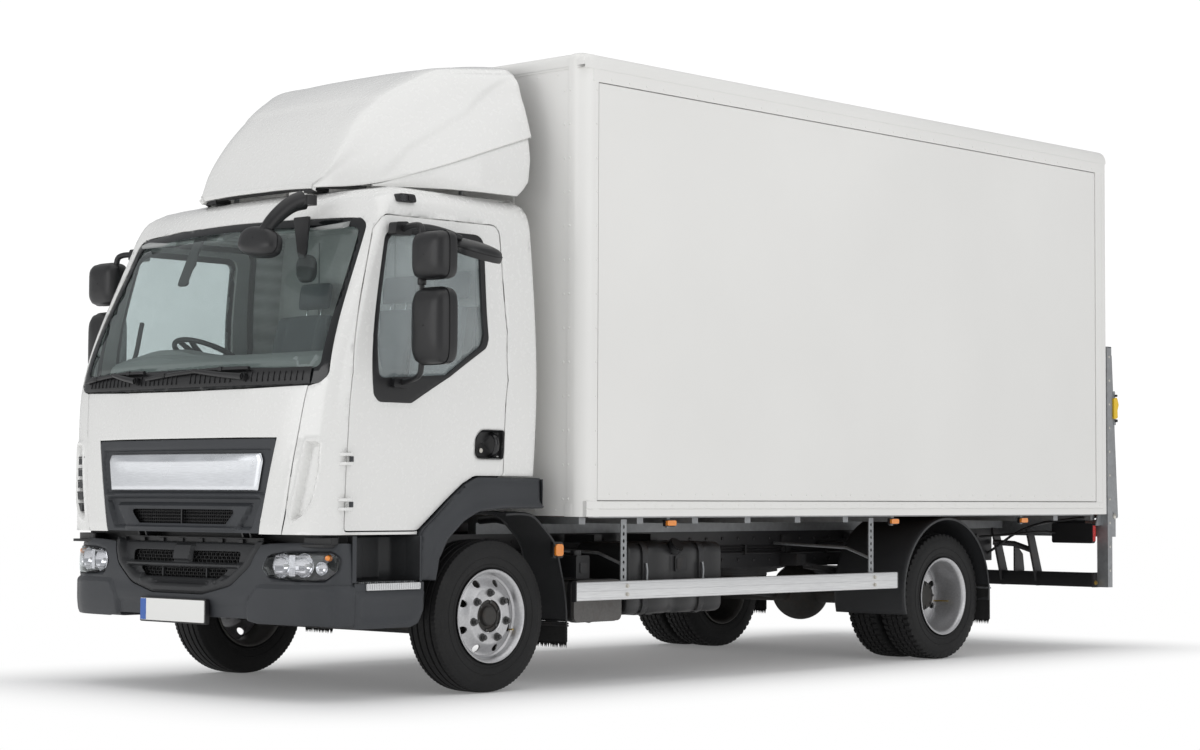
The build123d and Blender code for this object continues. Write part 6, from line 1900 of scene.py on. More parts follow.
# ------------------------------------------------------------------ hinges, skirt, vent
for side, s in (("left", 1), ("right", -1)):
    kc, kd = Kit(), Kit()
    for z in (930.0, 1150.0):
        for a, b in ((0, 15), (45, 60)):
            kc.prism(rounded([(1005, -1006), (1040, -1006), (1074, -990), (1076, -944), (1058, -942), (1054, -978), (1005, -984)], [2, 6, 8, 8, 6, 6, 2]), "z", z + a, z + b, "white")
        kc.lathe([(-4, 0.01), (-4, 8), (0, 8), (60, 8), (64, 8), (64, 0.01)], (1066, -950, z), (0, 0, 1), "white", 16)
        kd.lathe([(17, 5.4), (17, 11), (43, 11), (43, 5.4)], (1066, -950, z), (0, 0, 1), "grey", 20)
        kd.prism(rounded([(1028, -956), (1062, -958), (1062, -932), (1028, -926)], 4), "z", z + 20, z + 40, "white")
    if s < 0:
        kc, kd = kc.mirrored(), kd.mirrored()
    kc.make("hinge_cab_" + side, "cab", "white_paint", bevel=1, angle=40)
    kd.make("hinge_door_" + side, "door_" + side + "_body", "white_paint", bevel=1, angle=40)

# the step well: a moulded hollow between bumper, door and wheel arch, over the tread
k = Kit()
c = Kit()
prof = rounded([(-922, 1072), (-914, 1046), (-896, 985), (-868, 962), (-752, 930), (-742, 884), (-600, 878), (-548, 905), (-518, 990), (-498, 1074)], [4, 10, 24, 16, 4, 6, 30, 30, 30, 4], 5)[:-1]
prof = resample(prof, 7, False)
rows = []
for z in (580, 584, 600, 640, 700, 760, 796, 806):
    g = 1.0 if 590 < z < 800 else 0.985
    rows.append([(x * g, y, z) for y, x in prof])
c.grid(rows, "grey_dark")
lip = [prof[0], prof[-1]]
for (y, x), sg in ((prof[0], -1), (prof[-1], 1)):
    c.grid([[(x, y, z), (x + 3, y + sg * 6, z), (x - 6, y + sg * 22, z)] for z in np.linspace(580, 806, 8)], "grey")
# serrated tread with drain holes cut as raised bars
c.grid([[(x, y, 577) for y in np.linspace(-920, -500, 8)] for x in (876, 1076)], "grey_dark")
for j in range(5):
    x = 1000 + j * 15
    for i in range(26):
        y = -900 + i * 15
        c.prism([(y, 577), (y + 8, 577), (y + 6, 582), (y + 2, 582)], "x", x, x + 7, "galv")
both(c, k)
# black sheet that closes the view between cab and bumper: painted shade in the gap under the cab
rows = [[(x, -1016 + abs(x) * 0.04, z) for x in np.linspace(-1000, 1000, 24)] for z in (600, 700, 826)]
k.grid(rows, "black")
k.make("step_well", "chassis", "grey_plastic", angle=38, weld=0.5)

# louvres in the hollow of the driver's corner panel
k = Kit()
for i in range(5):
    z = 930 + i * 62
    s0 = CAB.s_x(-930 - 0.0 * i, z)
    a, b = CAB.point(CAB.s_x(-960, z), z, -6), CAB.point(CAB.s_x(-880, z), z, -6)
    bar(k, a, b, 14, 34, "grey_dark", up=(0, 0, 1))
    bar(k, CAB.point(CAB.s_x(-960, z), z + 22, -2), CAB.point(CAB.s_x(-880, z), z + 22, -2), 10, 8, "black", up=(0, 0, 1))
k.make("corner_louvres", "cab", "grey_plastic", bevel=1, angle=40)


# ------------------------------------------------------------------ inside of the cab
def loft_x(k, prof_at, xs, key, caps=True):
    # outline in (y, z) carried along x
    rows = [[(x, y, z) for y, z in prof_at(x)] for x in xs]
    k.grid(rows, key, closed_u=True)
    if caps:
        n = len(rows[0])
        b = len(k.v) - n * len(rows)
        i = k.mat(key)
        k.f.append(tuple(b + j for j in range(n))); k.m.append(i)
        k.f.append(tuple(b + n * (len(rows) - 1) + j for j in reversed(range(n)))); k.m.append(i)


k = Kit()
DP = [(-1050, 1500), (-1018, 1604), (-976, 1690), (-880, 1722), (-740, 1732), (-694, 1700), (-698, 1560), (-732, 1400), (-800, 1190), (-1000, 1104), (-1046, 1106)]


def dash_at(x):
    a = abs(x)
    dy = -26 * (a / 860.0) ** 2 * -1
    hump = 48 * math.exp(-((x + 535) / 250.0) ** 2)
    out = []
    for y, z in rounded(DP, [20, 60, 60, 120, 60, 50, 80, 100, 80, 30, 10], 5):
        yy = y + dy * (1 if y < -1000 else 0.6)
        out.append((yy, z + (hump if z > 1660 and -960 < y < -690 else 0) * (1 if y > -880 else 0.5)))
    return out


loft_x(k, dash_at, np.concatenate([[-860, -856, -846], np.linspace(-820, 820, 42), [846, 856, 860]]), "dash")
# instrument hood, dials, screen, vents, switches, glove box line
X0, ZD = -535, 176
k.prism(rounded([(X0 - 170, 1440 + ZD), (X0 + 170, 1440 + ZD), (X0 + 158, 1562 + ZD), (X0 + 120, 1586 + ZD), (X0 - 120, 1586 + ZD), (X0 - 160, 1562 + ZD)], 24), "y", -716, -690, "black")
for x in (X0 - 80, X0 + 80):
    k.lathe([(0, 52), (5, 52), (7, 46), (3, 44), (3, 0.01)], (x, -690, 1512 + ZD), (0, 1, 0), "gloss_black", 32)
    k.lathe([(3.2, 2.5), (3.2, 0.01)], (x, -690, 1512 + ZD), (0, 1, 0), "white_lens", 12)
    for i in range(9):
        t = math.radians(-30 + i * 30)
        k.box((x + 36 * math.cos(t) - 1.5, x + 36 * math.cos(t) + 1.5), (-687.5, -686.2), (1512 + ZD + 36 * math.sin(t) - 4, 1512 + ZD + 36 * math.sin(t) + 4), "white_lens")
k.prism(rounded([(-120, 1540), (120, 1540), (120, 1670), (-120, 1670)], 14), "y", -702, -690, "black")
k.prism(rounded([(-100, 1560), (100, 1560), (100, 1656), (-100, 1656)], 6), "y", -691, -687, "gloss_black")
for x in (-800, -250, 220, 760):
    k.prism(rounded([(x - 48, 1630), (x + 48, 1630), (x + 48, 1684), (x - 48, 1684)], 12), "y", -700, -690, "black")
    for j in range(5):
        k.box((x - 42, x + 42), (-692, -688), (1638 + j * 9, 1641 + j * 9), "dash")
for j in range(6):
    k.prism(rounded([(-110 + j * 38, 1470), (-80 + j * 38, 1470), (-80 + j * 38, 1496), (-110 + j * 38, 1496)], 4), "y", -716, -704, "gloss_black")
k.prism(rounded([(240, 1330), (780, 1330), (800, 1560), (240, 1560)], 20), "y", -726, -704, "dash")
k.make("dash_skin", "cab", "dark_plastic", angle=40, replaces=("dashboard",))

# steering wheel
k = Kit()
c = Vector((-535, -560, 1741)); ax = Vector((0, 0.45, 0.893)).normalized()
u = Vector((1, 0, 0)); w = ax.cross(u)
ring = [c + u * (205 * math.cos(t)) + w * (205 * math.sin(t)) for t in np.linspace(0, 2 * math.pi, 65)[:-1]]
rows = []
for i in range(64):
    t = 2 * math.pi * i / 64
    rad = u * math.cos(t) + w * math.sin(t)
    rr = 14.5 + 1.5 * (1 if abs(math.cos(t)) > 0.8 else 0)
    rows.append([tuple(c + rad * (203 + rr * math.cos(q)) + ax * rr * 0.95 * math.sin(q)) for q in np.linspace(0, 2 * math.pi, 13)[:-1]])
k.grid(rows, "black", closed_u=True, closed_v=True)
for t in (0.12, math.pi - 0.12, -math.pi / 2 - 0.25, -math.pi / 2 + 0.25):
    rad = u * math.cos(t) + w * math.sin(t)
    k.tube([tuple(c + rad * 40 - ax * 26), tuple(c + rad * 110 - ax * 18), tuple(c + rad * 200)], [22, 12], "black", 8, smooth=1)
k.lathe([(-60, 40), (-40, 74), (-14, 84), (-4, 76), (2, 40), (3, 0.01)], tuple(c), tuple(ax), "black", 32)
k.lathe([(3, 22), (5, 20), (5, 0.01)], tuple(c), tuple(ax), "gloss_black", 24)
k.tube([tuple(c - ax * 50), tuple(c - ax * 292)], 34, "black", 16)
for s in (1, -1):
    k.tube([tuple(c - ax * 86 + u * s * 30), tuple(c - ax * 80 + u * s * 200)], [9, 12], "black", 8)
k.make("steering_wheel_skin", "cab", "dark_plastic", angle=45, replaces=("steering_wheel",))


# ---- seats: a plain padded form, blown up a little in a cloth simulation, then seams and side wings
def pad_mesh(name, sx, sy, sz, at, tilt, key, cap, crown=0.5, chan=(), wings=0.0):
    # closed, slightly smaller than its final size; a rounded slab sx x sy x sz, its good side up (+z)
    n, m = max(8, int(sx / 26)), max(8, int(sy / 26))
    k = Kit()
    us = np.linspace(-1, 1, n); vs = np.linspace(-1, 1, m)

    def top(u, v):
        e = max(0.0, 1 - abs(u) ** 6) * max(0.0, 1 - abs(v) ** 6)
        w = wings * float(sstep(abs(u), 0.55, 0.85))
        z = sz * 0.5 * (0.35 + 0.65 * e ** 0.35) + crown * sz * 0.12 * (1 - u * u) * (1 - v * v) * (0 if wings else 1) + w * e ** 0.3
        return z
    X = lambda u, v: sx / 2 * u * (1 - 0.03 * v * v)
    Y = lambda u, v: sy / 2 * v * (1 - 0.03 * u * u)
    up = [[(X(u, v), Y(u, v), top(u, v)) for u in us] for v in vs]
    dn = [[(X(u, v), Y(u, v), -sz * 0.5 * (0.35 + 0.65 * (max(0.0, 1 - abs(u) ** 8) * max(0.0, 1 - abs(v) ** 8)) ** 0.35)) for u in us] for v in vs]
    k.grid(up, key); k.grid(dn, key, flip=True)
    edge = lambda g: g[0] + [r[-1] for r in g[1:]] + g[-1][-2::-1] + [r[0] for r in g[-2:0:-1]]
    k.grid([edge(up), edge(dn)], key, closed_u=True, flip=True)
    R = Matrix.Rotation(tilt, 4, "X")
    k.v = [tuple(R @ Vector(p) + Vector(at)) for p in k.v]
    ob = k.make(name, "cab", "seat_fabric", angle=180, weld=0.5)
    md = ob.modifiers.new("re", "REMESH"); md.mode = "VOXEL"; md.voxel_size = 0.0125
    dg = bpy.context.evaluated_depsgraph_get()
    me = bpy.data.meshes.new_from_object(ob.evaluated_get(dg))
    ob.modifiers.clear()
    old = ob.data
    ob.data = me
    if not me.materials:
        me.materials.append(M[key])
    rest = np.array([v.co[:] for v in me.vertices])
    cl = ob.modifiers.new("cloth", "CLOTH")
    cs = cl.settings
    cs.quality = 4; cs.mass = 0.3; cs.use_pressure = True; cs.uniform_pressure_force = 4.0
    cs.tension_stiffness = 25; cs.compression_stiffness = 25; cs.shear_stiffness = 12; cs.bending_stiffness = 2.0
    cs.effector_weights.gravity = 0.0
    cl.collision_settings.use_collision = False; cl.collision_settings.use_self_collision = False
    # its underside is held by the seat pan
    vg = ob.vertex_groups.new(name="pin")
    inv = R.inverted()
    a3 = np.array(at) + np.array([0, 0, 0])
    ids = []
    for v in me.vertices:
        p = Vector((v.co.x * 1000 - at[0], (v.co.y - FRONT_AXLE) * 1000 - at[1], v.co.z * 1000 - at[2]))
        q = inv @ p
        if q.z < -sz * 0.28:
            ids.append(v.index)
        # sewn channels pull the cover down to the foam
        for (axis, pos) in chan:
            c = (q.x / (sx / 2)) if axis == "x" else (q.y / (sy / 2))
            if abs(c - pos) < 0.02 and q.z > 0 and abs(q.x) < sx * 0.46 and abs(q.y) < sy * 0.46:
                ids.append(v.index)
    vg.add(ids, 1.0, "REPLACE")
    cs.vertex_group_mass = "pin"
    sc = bpy.context.scene
    for f in range(1, 15):
        sc.frame_set(f)
    dg = bpy.context.evaluated_depsgraph_get()
    me2 = bpy.data.meshes.new_from_object(ob.evaluated_get(dg))
    ob.modifiers.clear()
    ob.vertex_groups.clear()
    ob.data = me2
    now = np.array([v.co[:] for v in me2.vertices])
    if len(now) == len(rest):
        d = now - rest
        L = np.linalg.norm(d, axis=1)
        s = np.where(L > cap / 1000, cap / 1000 / np.maximum(L, 1e-9), 1.0)
        now = rest + d * s[:, None]
        # channels sink a little below the cover
        for i, p in enumerate(now):
            q = inv @ Vector((p[0] * 1000 - at[0], (p[1] - FRONT_AXLE) * 1000 - at[1], p[2] * 1000 - at[2]))
            dz = 0.0
            if q.z > 0:
                for (axis, pos) in chan:
                    c = (q.x - pos * sx / 2) if axis == "x" else (q.y - pos * sy / 2)
                    dz += 5.0 * math.exp(-(c / 9.0) ** 2)
                off = R.to_3x3() @ Vector((0, 0, -dz))
                now[i] = p + np.array(off) / 1000
        me2.vertices.foreach_set("co", now.ravel())
        me2.update()
    sc.frame_set(1)
    for p in me2.polygons:
        p.use_smooth = True
    if not me2.materials:
        me2.materials.append(M[key])
    return ob


def seat(tag, cx, w, reps, wings):
    pad_mesh(f"{tag}_cushion", w - 24, 462, 84, (cx, -182, 1418), math.radians(3), "seat", 16, chan=(("y", -0.1), ("y", 0.45)) if not wings else (("x", -0.56), ("x", 0.56), ("y", 0.1)), wings=wings * 14)
    pad_mesh(f"{tag}_back", w - 40, 560, 74, (cx, 66, 1735), math.radians(90 - 11.2) , "seat", 15, chan=(("y", -0.3), ("y", 0.2)) if not wings else (("x", -0.56), ("x", 0.56), ("y", 0.2)), wings=wings * 18)


def seat_frame(k, cx, w, two):
    # shell, plinth and slides, recliner covers, head-rest rods
    k.prism(rounded([(-400, 1366), (60, 1366), (66, 1392), (-404, 1384)], 6), "x", cx - w / 2 + 14, cx + w / 2 - 14, "black")
    k.prism(rounded([(86, 1400), (112, 1400), (212, 2000), (190, 2006)], 8), "x", cx - w / 2 + 26, cx + w / 2 - 26, "black")
    for s in (-1, 1):
        x = cx + s * (w / 2 - 12)
        k.prism(rounded([(-60, 1372), (90, 1372), (110, 1450), (60, 1500), (-30, 1440)], 24), "x", x - 9, x + 9, "black")
    for x in ((cx,) if not two else (cx - w / 4, cx + w / 4)):
        for d in (-60, 60):
            k.tube([(x + d, 168, 1990), (x + d, 178, 2060)], 6, "chrome", 8)
        for s in (-1, 1):
            pass


k = Kit()
seat_frame(k, -535, 490, False)
k.prism(rounded([(-360, 1290), (20, 1290), (0, 1366), (-350, 1366)], 10), "x", -710, -360, "black")
for i in range(5):
    k.tube([(-716, -350 + i * 1, 1300 + i * 13), (-354, -350 + i * 1, 1300 + i * 13)], 7, "black", 6)
# belts
k.prism([(-262, 1420), (-244, 1420), (-244, 1470), (-262, 1470)], "y", -10, 24, "red")
k.make("driver_seat_frame", "cab", "dark_plastic", bevel=1.5, angle=40, replaces=("driver_seat",))
k = Kit()
seat_frame(k, 370, 820, True)
k.prism(rounded([(-360, 1290), (30, 1290), (30, 1366), (-360, 1366)], 10), "x", 0, 740, "black")
for x in (-20, 372):
    k.prism([(x, 1420), (x + 18, 1420), (x + 18, 1470), (x, 1470)], "y", -10, 24, "red")
k.make("passenger_seat_frame", "cab", "dark_plastic", bevel=1.5, angle=40, replaces=("passenger_seats",))
seat("driver_seat", -535, 490, None, 1.0)
seat("mate_seat_a", 165, 404, None, 0.0)
seat("mate_seat_b", 577, 404, None, 0.0)
for tag, x in (("driver", -535), ("mate_a", 165), ("mate_b", 577)):
    pad_mesh(f"{tag}_head_rest", 250, 150, 74, (x, 184, 2120), math.radians(90 - 8), "seat", 9)

# linings: back wall with its window-less pad, bunk shelf, floor mat, tunnel, door cards stay behind the glass
k = Kit()
k.grid([[(x, 300, z) for x in np.linspace(-950, 950, 20)] for z in np.linspace(1300, 2480, 14)], "liner")
for x in (-640, -320, 0, 320, 640):
    k.box((x - 3, x + 3), (296, 300), (1340, 2440), "trim")
k.box((-940, 940), (150, 296), (1196, 1226), "trim")
# floor mat over the engine cover
k.prism(rounded([(-1000, 1150), (-700, 1156), (-640, 1290), (700, 1290), (760, 1156), (1000, 1150), (1000, 1140), (-1000, 1140)], 20), "y", -1000, 290, "black")
k.make("cab_lining", "cab", "dark_plastic", angle=40, fix=False)

# mirror on its strap, sun visors, grab handles
k = Kit()
k.prism(rounded([(520, 2400), (640, 2400), (618, 2220), (606, 2190), (566, 2190), (552, 2220)], 10), "y", -872, -860, "black")
kk = Kit()
pod(kk, (588, -846, 2140), 136, 140, 40, "black", "mirror", e=2.6)
k.merge(kk)
for x0, x1 in ((-820, -120), (120, 820)):
    k.prism(rounded([(-800, 2332), (-640, 2392), (-634, 2408), (-640, 2416), (-806, 2352), (-812, 2340)], 6), "x", x0, x1, "trim")
for s in (1, -1):
    path = [(s * 868, -840, 1700), (s * 850, -818, 1740), (s * 846, -790, 1890), (s * 860, -770, 1930)]
    k.tube(path, 13, "black", 10, smooth=2)
k.make("cab_small_parts", "cab", "dark_plastic", angle=40)


# ------------------------------------------------------------------ under the body
for node, key in (("chassis_frame", "chassis"), ("front_axle", "iron"), ("leaf_springs", "steel_dark"), ("rear_axle", "iron"), ("engine", "iron"),
                  ("driveline", "steel_dark"), ("knuckle_left", "iron"), ("knuckle_right", "iron"), ("tie_rod", "steel_dark")):
    paint_node(node, key)


# frame details: rivets and bolts on the webs, pipes and looms along the rails, brackets
k = Kit()
c = Kit()
for y in list(np.arange(-700, 5400, 150)):
    for z in (620, 750):
        c.lathe([(0, 11), (5, 10), (7, 6), (7.5, 0.01)], (425.5, y, z), (1, 0, 0), "steel_dark", 8)
for z, r in ((700, 7), (684, 5), (664, 9)):
    c.tube([(434, y, z + 3 * math.sin(y / 300.0)) for y in np.arange(-500, 5300, 150)], r, "black", 6)
for y in np.arange(-400, 5300, 400):
    c.box((425, 446), (y - 8, y + 8), (652, 712), "steel_dark")
both(c, k)
# air tanks, hoses, valve blocks, wiring to the rear
for x, y in ((250, 1150), (250, 1560), (-250, 2450)):
    k.lathe([(-190, 0.01), (-186, 50), (-170, 92), (-150, 100), (150, 100), (170, 92), (186, 50), (190, 0.01)], (x, y, 690), (0, 1, 0), "steel_dark", 24)
for i, (x, y, z) in enumerate(((330, 2000, 700), (-330, 2050, 700), (300, 4500, 720), (-300, 4480, 720), (0, 4700, 700))):
    k.prism(rounded([(x - 40, y - 50), (x + 40, y - 50), (x + 40, y + 50), (x - 40, y + 50)], 8), "z", z - 40, z + 35, "steel_dark")
    k.tube([(x, y, z - 40), (x + 30, y + 60, z - 90), (x + 70, y + 180, z - 60), (x + 60, y + 320, z - 10)], 8, "black", 8, smooth=2)
k.make("frame_details", "chassis", "steel", angle=40)

# tank: drum-cornered body with raised ends, two straps, filler cap and sender recess
k = Kit()
prof = rounded([(648, 360), (1052, 360), (1052, 752), (648, 752)], 62, 8)


def tank_ring(y, g, cuts=()):
    cx, cz = 850, 556
    return [(cx + (x - cx) * g, y, cz + (z - cz) * g) for x, z in prof]


ribs = [(1062, 0.80), (1064, 0.93), (1072, 0.985), (1084, 1.0)]
ys = [1084]
for a in (1199, 1440, 1670):
    ys += [a - 34, a - 28, a + 28, a + 34]
rows = [tank_ring(y, g) for y, g in ribs]
for a in (1199, 1440, 1670):
    dp = 0.975
    rows += [tank_ring(a - 40, 1.0), tank_ring(a - 32, dp), tank_ring(a + 32, dp), tank_ring(a + 40, 1.0)]
rows += [tank_ring(y, g) for y, g in ((1836, 1.0), (1848, 0.985), (1856, 0.93), (1858, 0.80))]
k.grid([[(850, 1061, 556)] * len(prof)] + rows + [[(850, 1859, 556)] * len(prof)], "tank", closed_u=True)
for a in (1199, 1670):
    ring = grow(prof, 3.0)
    k.grid([[(x, a - 22, z) for x, z in ring], [(x, a - 20, z) for x, z in grow(prof, 5)], [(x, a + 20, z) for x, z in grow(prof, 5)], [(x, a + 22, z) for x, z in ring]], "steel_dark", closed_u=True)
    k.tube([(1063, a, 640), (1070, a, 600), (1064, a, 470)], 6, "galv", 8)
    k.prism(rounded([(a - 30, 742), (a + 30, 742), (a + 30, 792), (a - 30, 792)], 6), "x", 470, 700, "chassis")
    k.prism([(470, 330), (660, 330), (660, 352), (520, 352), (500, 560), (470, 560)], "y", a - 26, a + 26, "chassis")
k.cyl((1030, 1455, 716), (1058, 1455, 740), 46, "black", 28)
k.cyl((1050, 1455, 733), (1064, 1455, 745), 40, "black", 12)
k.prism(rounded([(1448, 591), (1547, 591), (1547, 676), (1448, 676)], 10), "x", 1046, 1056, "black")
k.prism(rounded([(1460, 603), (1535, 603), (1535, 664), (1460, 664)], 6), "x", 1050, 1059, "steel_dark")
k.make("tank_skin", "chassis", "dark_plastic", angle=45, replaces=("fuel_tank",))

# battery box with ribbed lid and two catches
k = Kit()
k.prism(rounded([(908, 388), (1552, 388), (1552, 640), (908, 640)], 18), "x", -1052, -566, "steel_dark")
k.prism(rounded([(900, 636), (1560, 636), (1560, 748), (1540, 758), (920, 758), (900, 748)], 14), "x", -1060, -560, "black")
for i in range(9):
    y = 950 + i * 70
    k.box((-1030, -590), (y - 8, y + 8), (757, 762), "black")
for y in (1010, 1450):
    k.prism(rounded([(y - 16, 560), (y + 16, 560), (y + 16, 690), (y - 16, 690)], 8), "x", -1064, -1050, "galv")
k.make("battery_box_skin", "chassis", "dark_plastic", angle=40, bevel=1.5, replaces=("battery_box",))

# silencer: drum in a box with a seam, pipe, heat shield; coolant bottle in front of it
k = Kit()
k.prism(rounded([(655, 335), (1030, 335), (1030, 556), (655, 556)], 40, 6), "x", 606, 1034, "rim_dark")
for x in (640, 820, 1000):
    k.prism(grow(rounded([(655, 335), (1030, 335), (1030, 556), (655, 556)], 40, 6), 4), "x", x - 12, x + 12, "steel_dark")
k.tube([(700, 700, 480), (560, 600, 500), (470, 420, 560), (340, 300, 620)], 36, "rim_dark", 12, smooth=2)
k.tube([(760, 1010, 420), (700, 1080, 360), (640, 1200, 330), (560, 1260, 330)], 34, "rim_dark", 12, smooth=2)
k.prism(rounded([(652, 565), (756, 565), (756, 690), (652, 690)], 14), "x", 930, 1052, "black")
k.cyl((1000, 704, 690), (1000, 704, 716), 30, "tank", 20)
k.prism(rounded([(680, 596), (730, 596), (730, 650), (680, 650)], 6), "x", 1050, 1057, "steel_dark")
k.make("silencer_skin", "chassis", "steel", angle=40, replaces=("silencer",))

# side guards: hollow rail with folded ends, perforated hangers
k = Kit()
c = Kit()
rail = rounded([(1186, 457), (1209, 457), (1212, 462), (1212, 550), (1209, 555), (1186, 555)], [4, 4, 3, 3, 4, 4], 3)
c.prism(rail, "y", 486, 3312, "alu")
for z in (470, 506, 541):
    c.prism([(1211.5, z - 1.5), (1213.2, z), (1211.5, z + 1.5)], "y", 492, 3306, "alu")
c.prism(rounded([(1183, 453), (1213, 453), (1213, 559), (1183, 559)], 6), "y", 3310, 3318, "black")
c.prism(rounded([(1183, 453), (1213, 453), (1213, 559), (1183, 559)], 6), "y", 480, 488, "black")


def strip(c, y, z0, z1, x0, w=46, t=6):
    outline = rounded([(y - w / 2, z0), (y + w / 2, z0), (y + w / 2, z1), (y - w / 2, z1)], 6)
    holes = []
    z = z0 + 30
    while z < z1 - 20:
        holes.append([(y + 7.5 * math.cos(q), z + 11 * math.sin(q)) for q in np.linspace(0, 2 * math.pi, 11)[:-1]])
        z += 38
    V, T = fill(outline, holes, 40)
    n = len(V)
    a = [(x0, float(p), float(q)) for p, q in V]; b = [(x0 - t, float(p), float(q)) for p, q in V]
    tris = [tuple(q) for q in T]
    cnt = {}
    for q in tris:
        for u, v in ((q[0], q[1]), (q[1], q[2]), (q[2], q[0])):
            cnt.setdefault((min(u, v), max(u, v)), []).append((u, v))
    c.add(a + b, tris + [tuple(i + n for i in reversed(q)) for q in tris] + [(v, u, u + n, v + n) for l in cnt.values() if len(l) == 1 for u, v in l], "galv")


for y in (880, 3080):
    strip(c, y, 470, 882, 1185)
    c.prism([(y - 23, 874), (y + 23, 874), (y + 23, 882), (y - 23, 882)], "x", 900, 1184, "galv")
    for z in (484, 528):
        c.lathe([(0, 12), (3, 12), (3, 9), (9, 9), (9, 0.01)], (1212, y, z), (1, 0, 0), "zinc", 6)
    c.tube([(1180, y, 640), (1000, y, 700), (440, y, 720)], 9, "galv", 8)
both(c, k)
k.make("side_guard_skin", "chassis", "aluminium", angle=40, replaces=("side_guards",))


# mudguards -------------------------------------------------------------
def strip_guard(c, path, x0, x1, key, lip=14, t=4, crown=10):
    # curved sheet along a path in (y, z), with turned-down edges; the outside is away from 'hub'
    P = [Vector(p) for p in path]
    nr = []
    for i in range(len(P)):
        d = (P[min(i + 1, len(P) - 1)] - P[max(i - 1, 0)]).normalized()
        nr.append(Vector((-d.y, d.x)))
    xs = [x0, x0, x0 + 6, x0 + 20] + list(np.linspace(x0 + 40, x1 - 40, 8)) + [x1 - 20, x1 - 6, x1, x1]
    of = [-lip, -4, 0, 1.5] + [1.5 + crown * 0.4 * math.sin(i / 7 * math.pi) for i in range(8)] + [1.5, 0, -4, -lip]
    rows = [[(x, (p + n * o).x, (p + n * o).y) for x, o in zip(xs, of)] for p, n in zip(P, nr)]
    c.grid(rows, key)


def bristles(c, x0, x1, y, z0, z1, key):
    # row of fine strands at the edge of a spray flap
    n = int((x1 - x0) / 9)
    for i in range(n):
        x = x0 + (i + 0.5) * (x1 - x0) / n
        dy = random.uniform(-6, 6); dx = random.uniform(-4, 4)
        c.add([(x - 3, y - 2, z0), (x + 3, y - 2, z0), (x + 3, y + 2, z0), (x - 3, y + 2, z0), (x + dx, y + dy, z1)], [(0, 1, 4), (1, 2, 4), (2, 3, 4), (3, 0, 4)], key)


random.seed(3)
k = Kit()
c = Kit()
fg = [(112, 916), (200, 920), (300, 915), (334, 898), (400, 842), (476, 776), (505, 715), (522, 655), (560, 520), (577, 409), (577, 343)]
fgs = [tuple(p) for p in resample(fg, 26, False)]
for _ in range(2):
    fgs = [fgs[0]] + [tuple((Vector(fgs[i - 1]) + Vector(fgs[i]) * 2 + Vector(fgs[i + 1])) / 4) for i in range(1, len(fgs) - 1)] + [fgs[-1]]
strip_guard(c, fgs, 804, 1060, "grey_dark")
c.prism(rounded([(812, 340), (1054, 340), (1054, 300), (1054, 236), (812, 236)], 4), "y", 573, 581, "flap")
bristles(c, 812, 1054, 577, 238, 205, "flap")
for z in (330, 318):
    c.box((806, 1060), (569, 585), (z, z + 6), "steel_dark")
# amber lamp on the guard's side
c.prism(rounded([(470, 680), (545, 680), (545, 762), (470, 762)], 16), "x", 1040, 1056, "black")
c.prism(rounded([(482, 692), (534, 692), (534, 750), (482, 750)], 14), "x", 1054, 1068, "amber")
c.tube([(560, 420, 870), (700, 400, 880), (806, 372, 868)], 16, "chassis", 10)
c.tube([(560, 560, 560), (700, 562, 545), (806, 566, 520)], 16, "chassis", 10)
both(c, k)
k.make("front_guard_skin", "chassis", "grey_plastic", angle=40, solid=3, replaces=("mudguards",), offset=1.0)
k = Kit()
c = Kit()
arc = [(3885 + 462 * math.cos(t), 420 + 462 * math.sin(t)) for t in np.linspace(math.radians(196), math.radians(-8), 44)]
strip_guard(c, arc[:], 646, 1174, "grey_dark", lip=16)
for t in (0.7, 1.571, 2.45):
    y, z = 3885 + 462 * math.cos(t), 420 + 462 * math.sin(t)
    c.prism(rounded([(y - 30, z - 22), (y + 30, z - 22), (y + 30, z + 2), (y - 30, z + 2)], 6), "x", 648, 660, "steel_dark")
    c.tube([(446, y, min(z, 760)), (560, y, min(z, 800)), (660, y, z - 14)], 17, "chassis", 10)
for y in (4352,):
    c.prism(rounded([(656, 452), (1168, 452), (1168, 236), (656, 236)], 4), "y", y - 4, y + 4, "flap")
    bristles(c, 656, 1168, y, 240, 206, "flap")
    c.box((650, 1174), (y - 9, y + 9), (430, 437), "galv")
    for x in (700, 800, 900, 1000, 1120):
        c.lathe([(0, 10), (4, 10), (7, 4), (7, 0.01)], (x, y + 5, 420), (0, 1, 0), "zinc", 6)
both(c, k)
k.make("rear_guard_skin", "chassis", "grey_plastic", angle=40, solid=3, replaces=("mudguards",), offset=1.0)

# steps: moulded box with two treads, light strip over the lower one, drain slots
k = Kit()
c = Kit()
prof = rounded([(-930, 357), (-560, 357), (-510, 376), (-477, 440), (-470, 577), (-928, 577)], [24, 40, 30, 40, 8, 6], 5)
c.prism(prof, "x", 802, 1072, "grey")
out = rounded([(-930, 355), (-563, 355), (-508, 374), (-474, 438), (-468, 532), (-500, 538), (-864, 538), (-930, 538)], [24, 40, 30, 40, 10, 4, 4, 6], 5)
V, T = fill(out, [], 16)
d = sdist(V[:, 0], V[:, 1], out)
scal = rounded([(-905, 385), (-560, 385), (-520, 440), (-520, 510), (-905, 510)], 20)
dd = sdist(V[:, 0], V[:, 1], scal)
xx = 1086 - 13 * (1 - sstep(d, 0, 24)) - 7 * sstep(dd, 0, 22)
c.add([(float(x), float(y), float(z)) for x, (y, z) in zip(xx, V)], [tuple(t) for t in T], "grey")
ring = resample(out, 16)
c.grid([[(1073, y, z) for y, z in ring], [(1050, y, z) for y, z in ring]], "grey", closed_u=True)
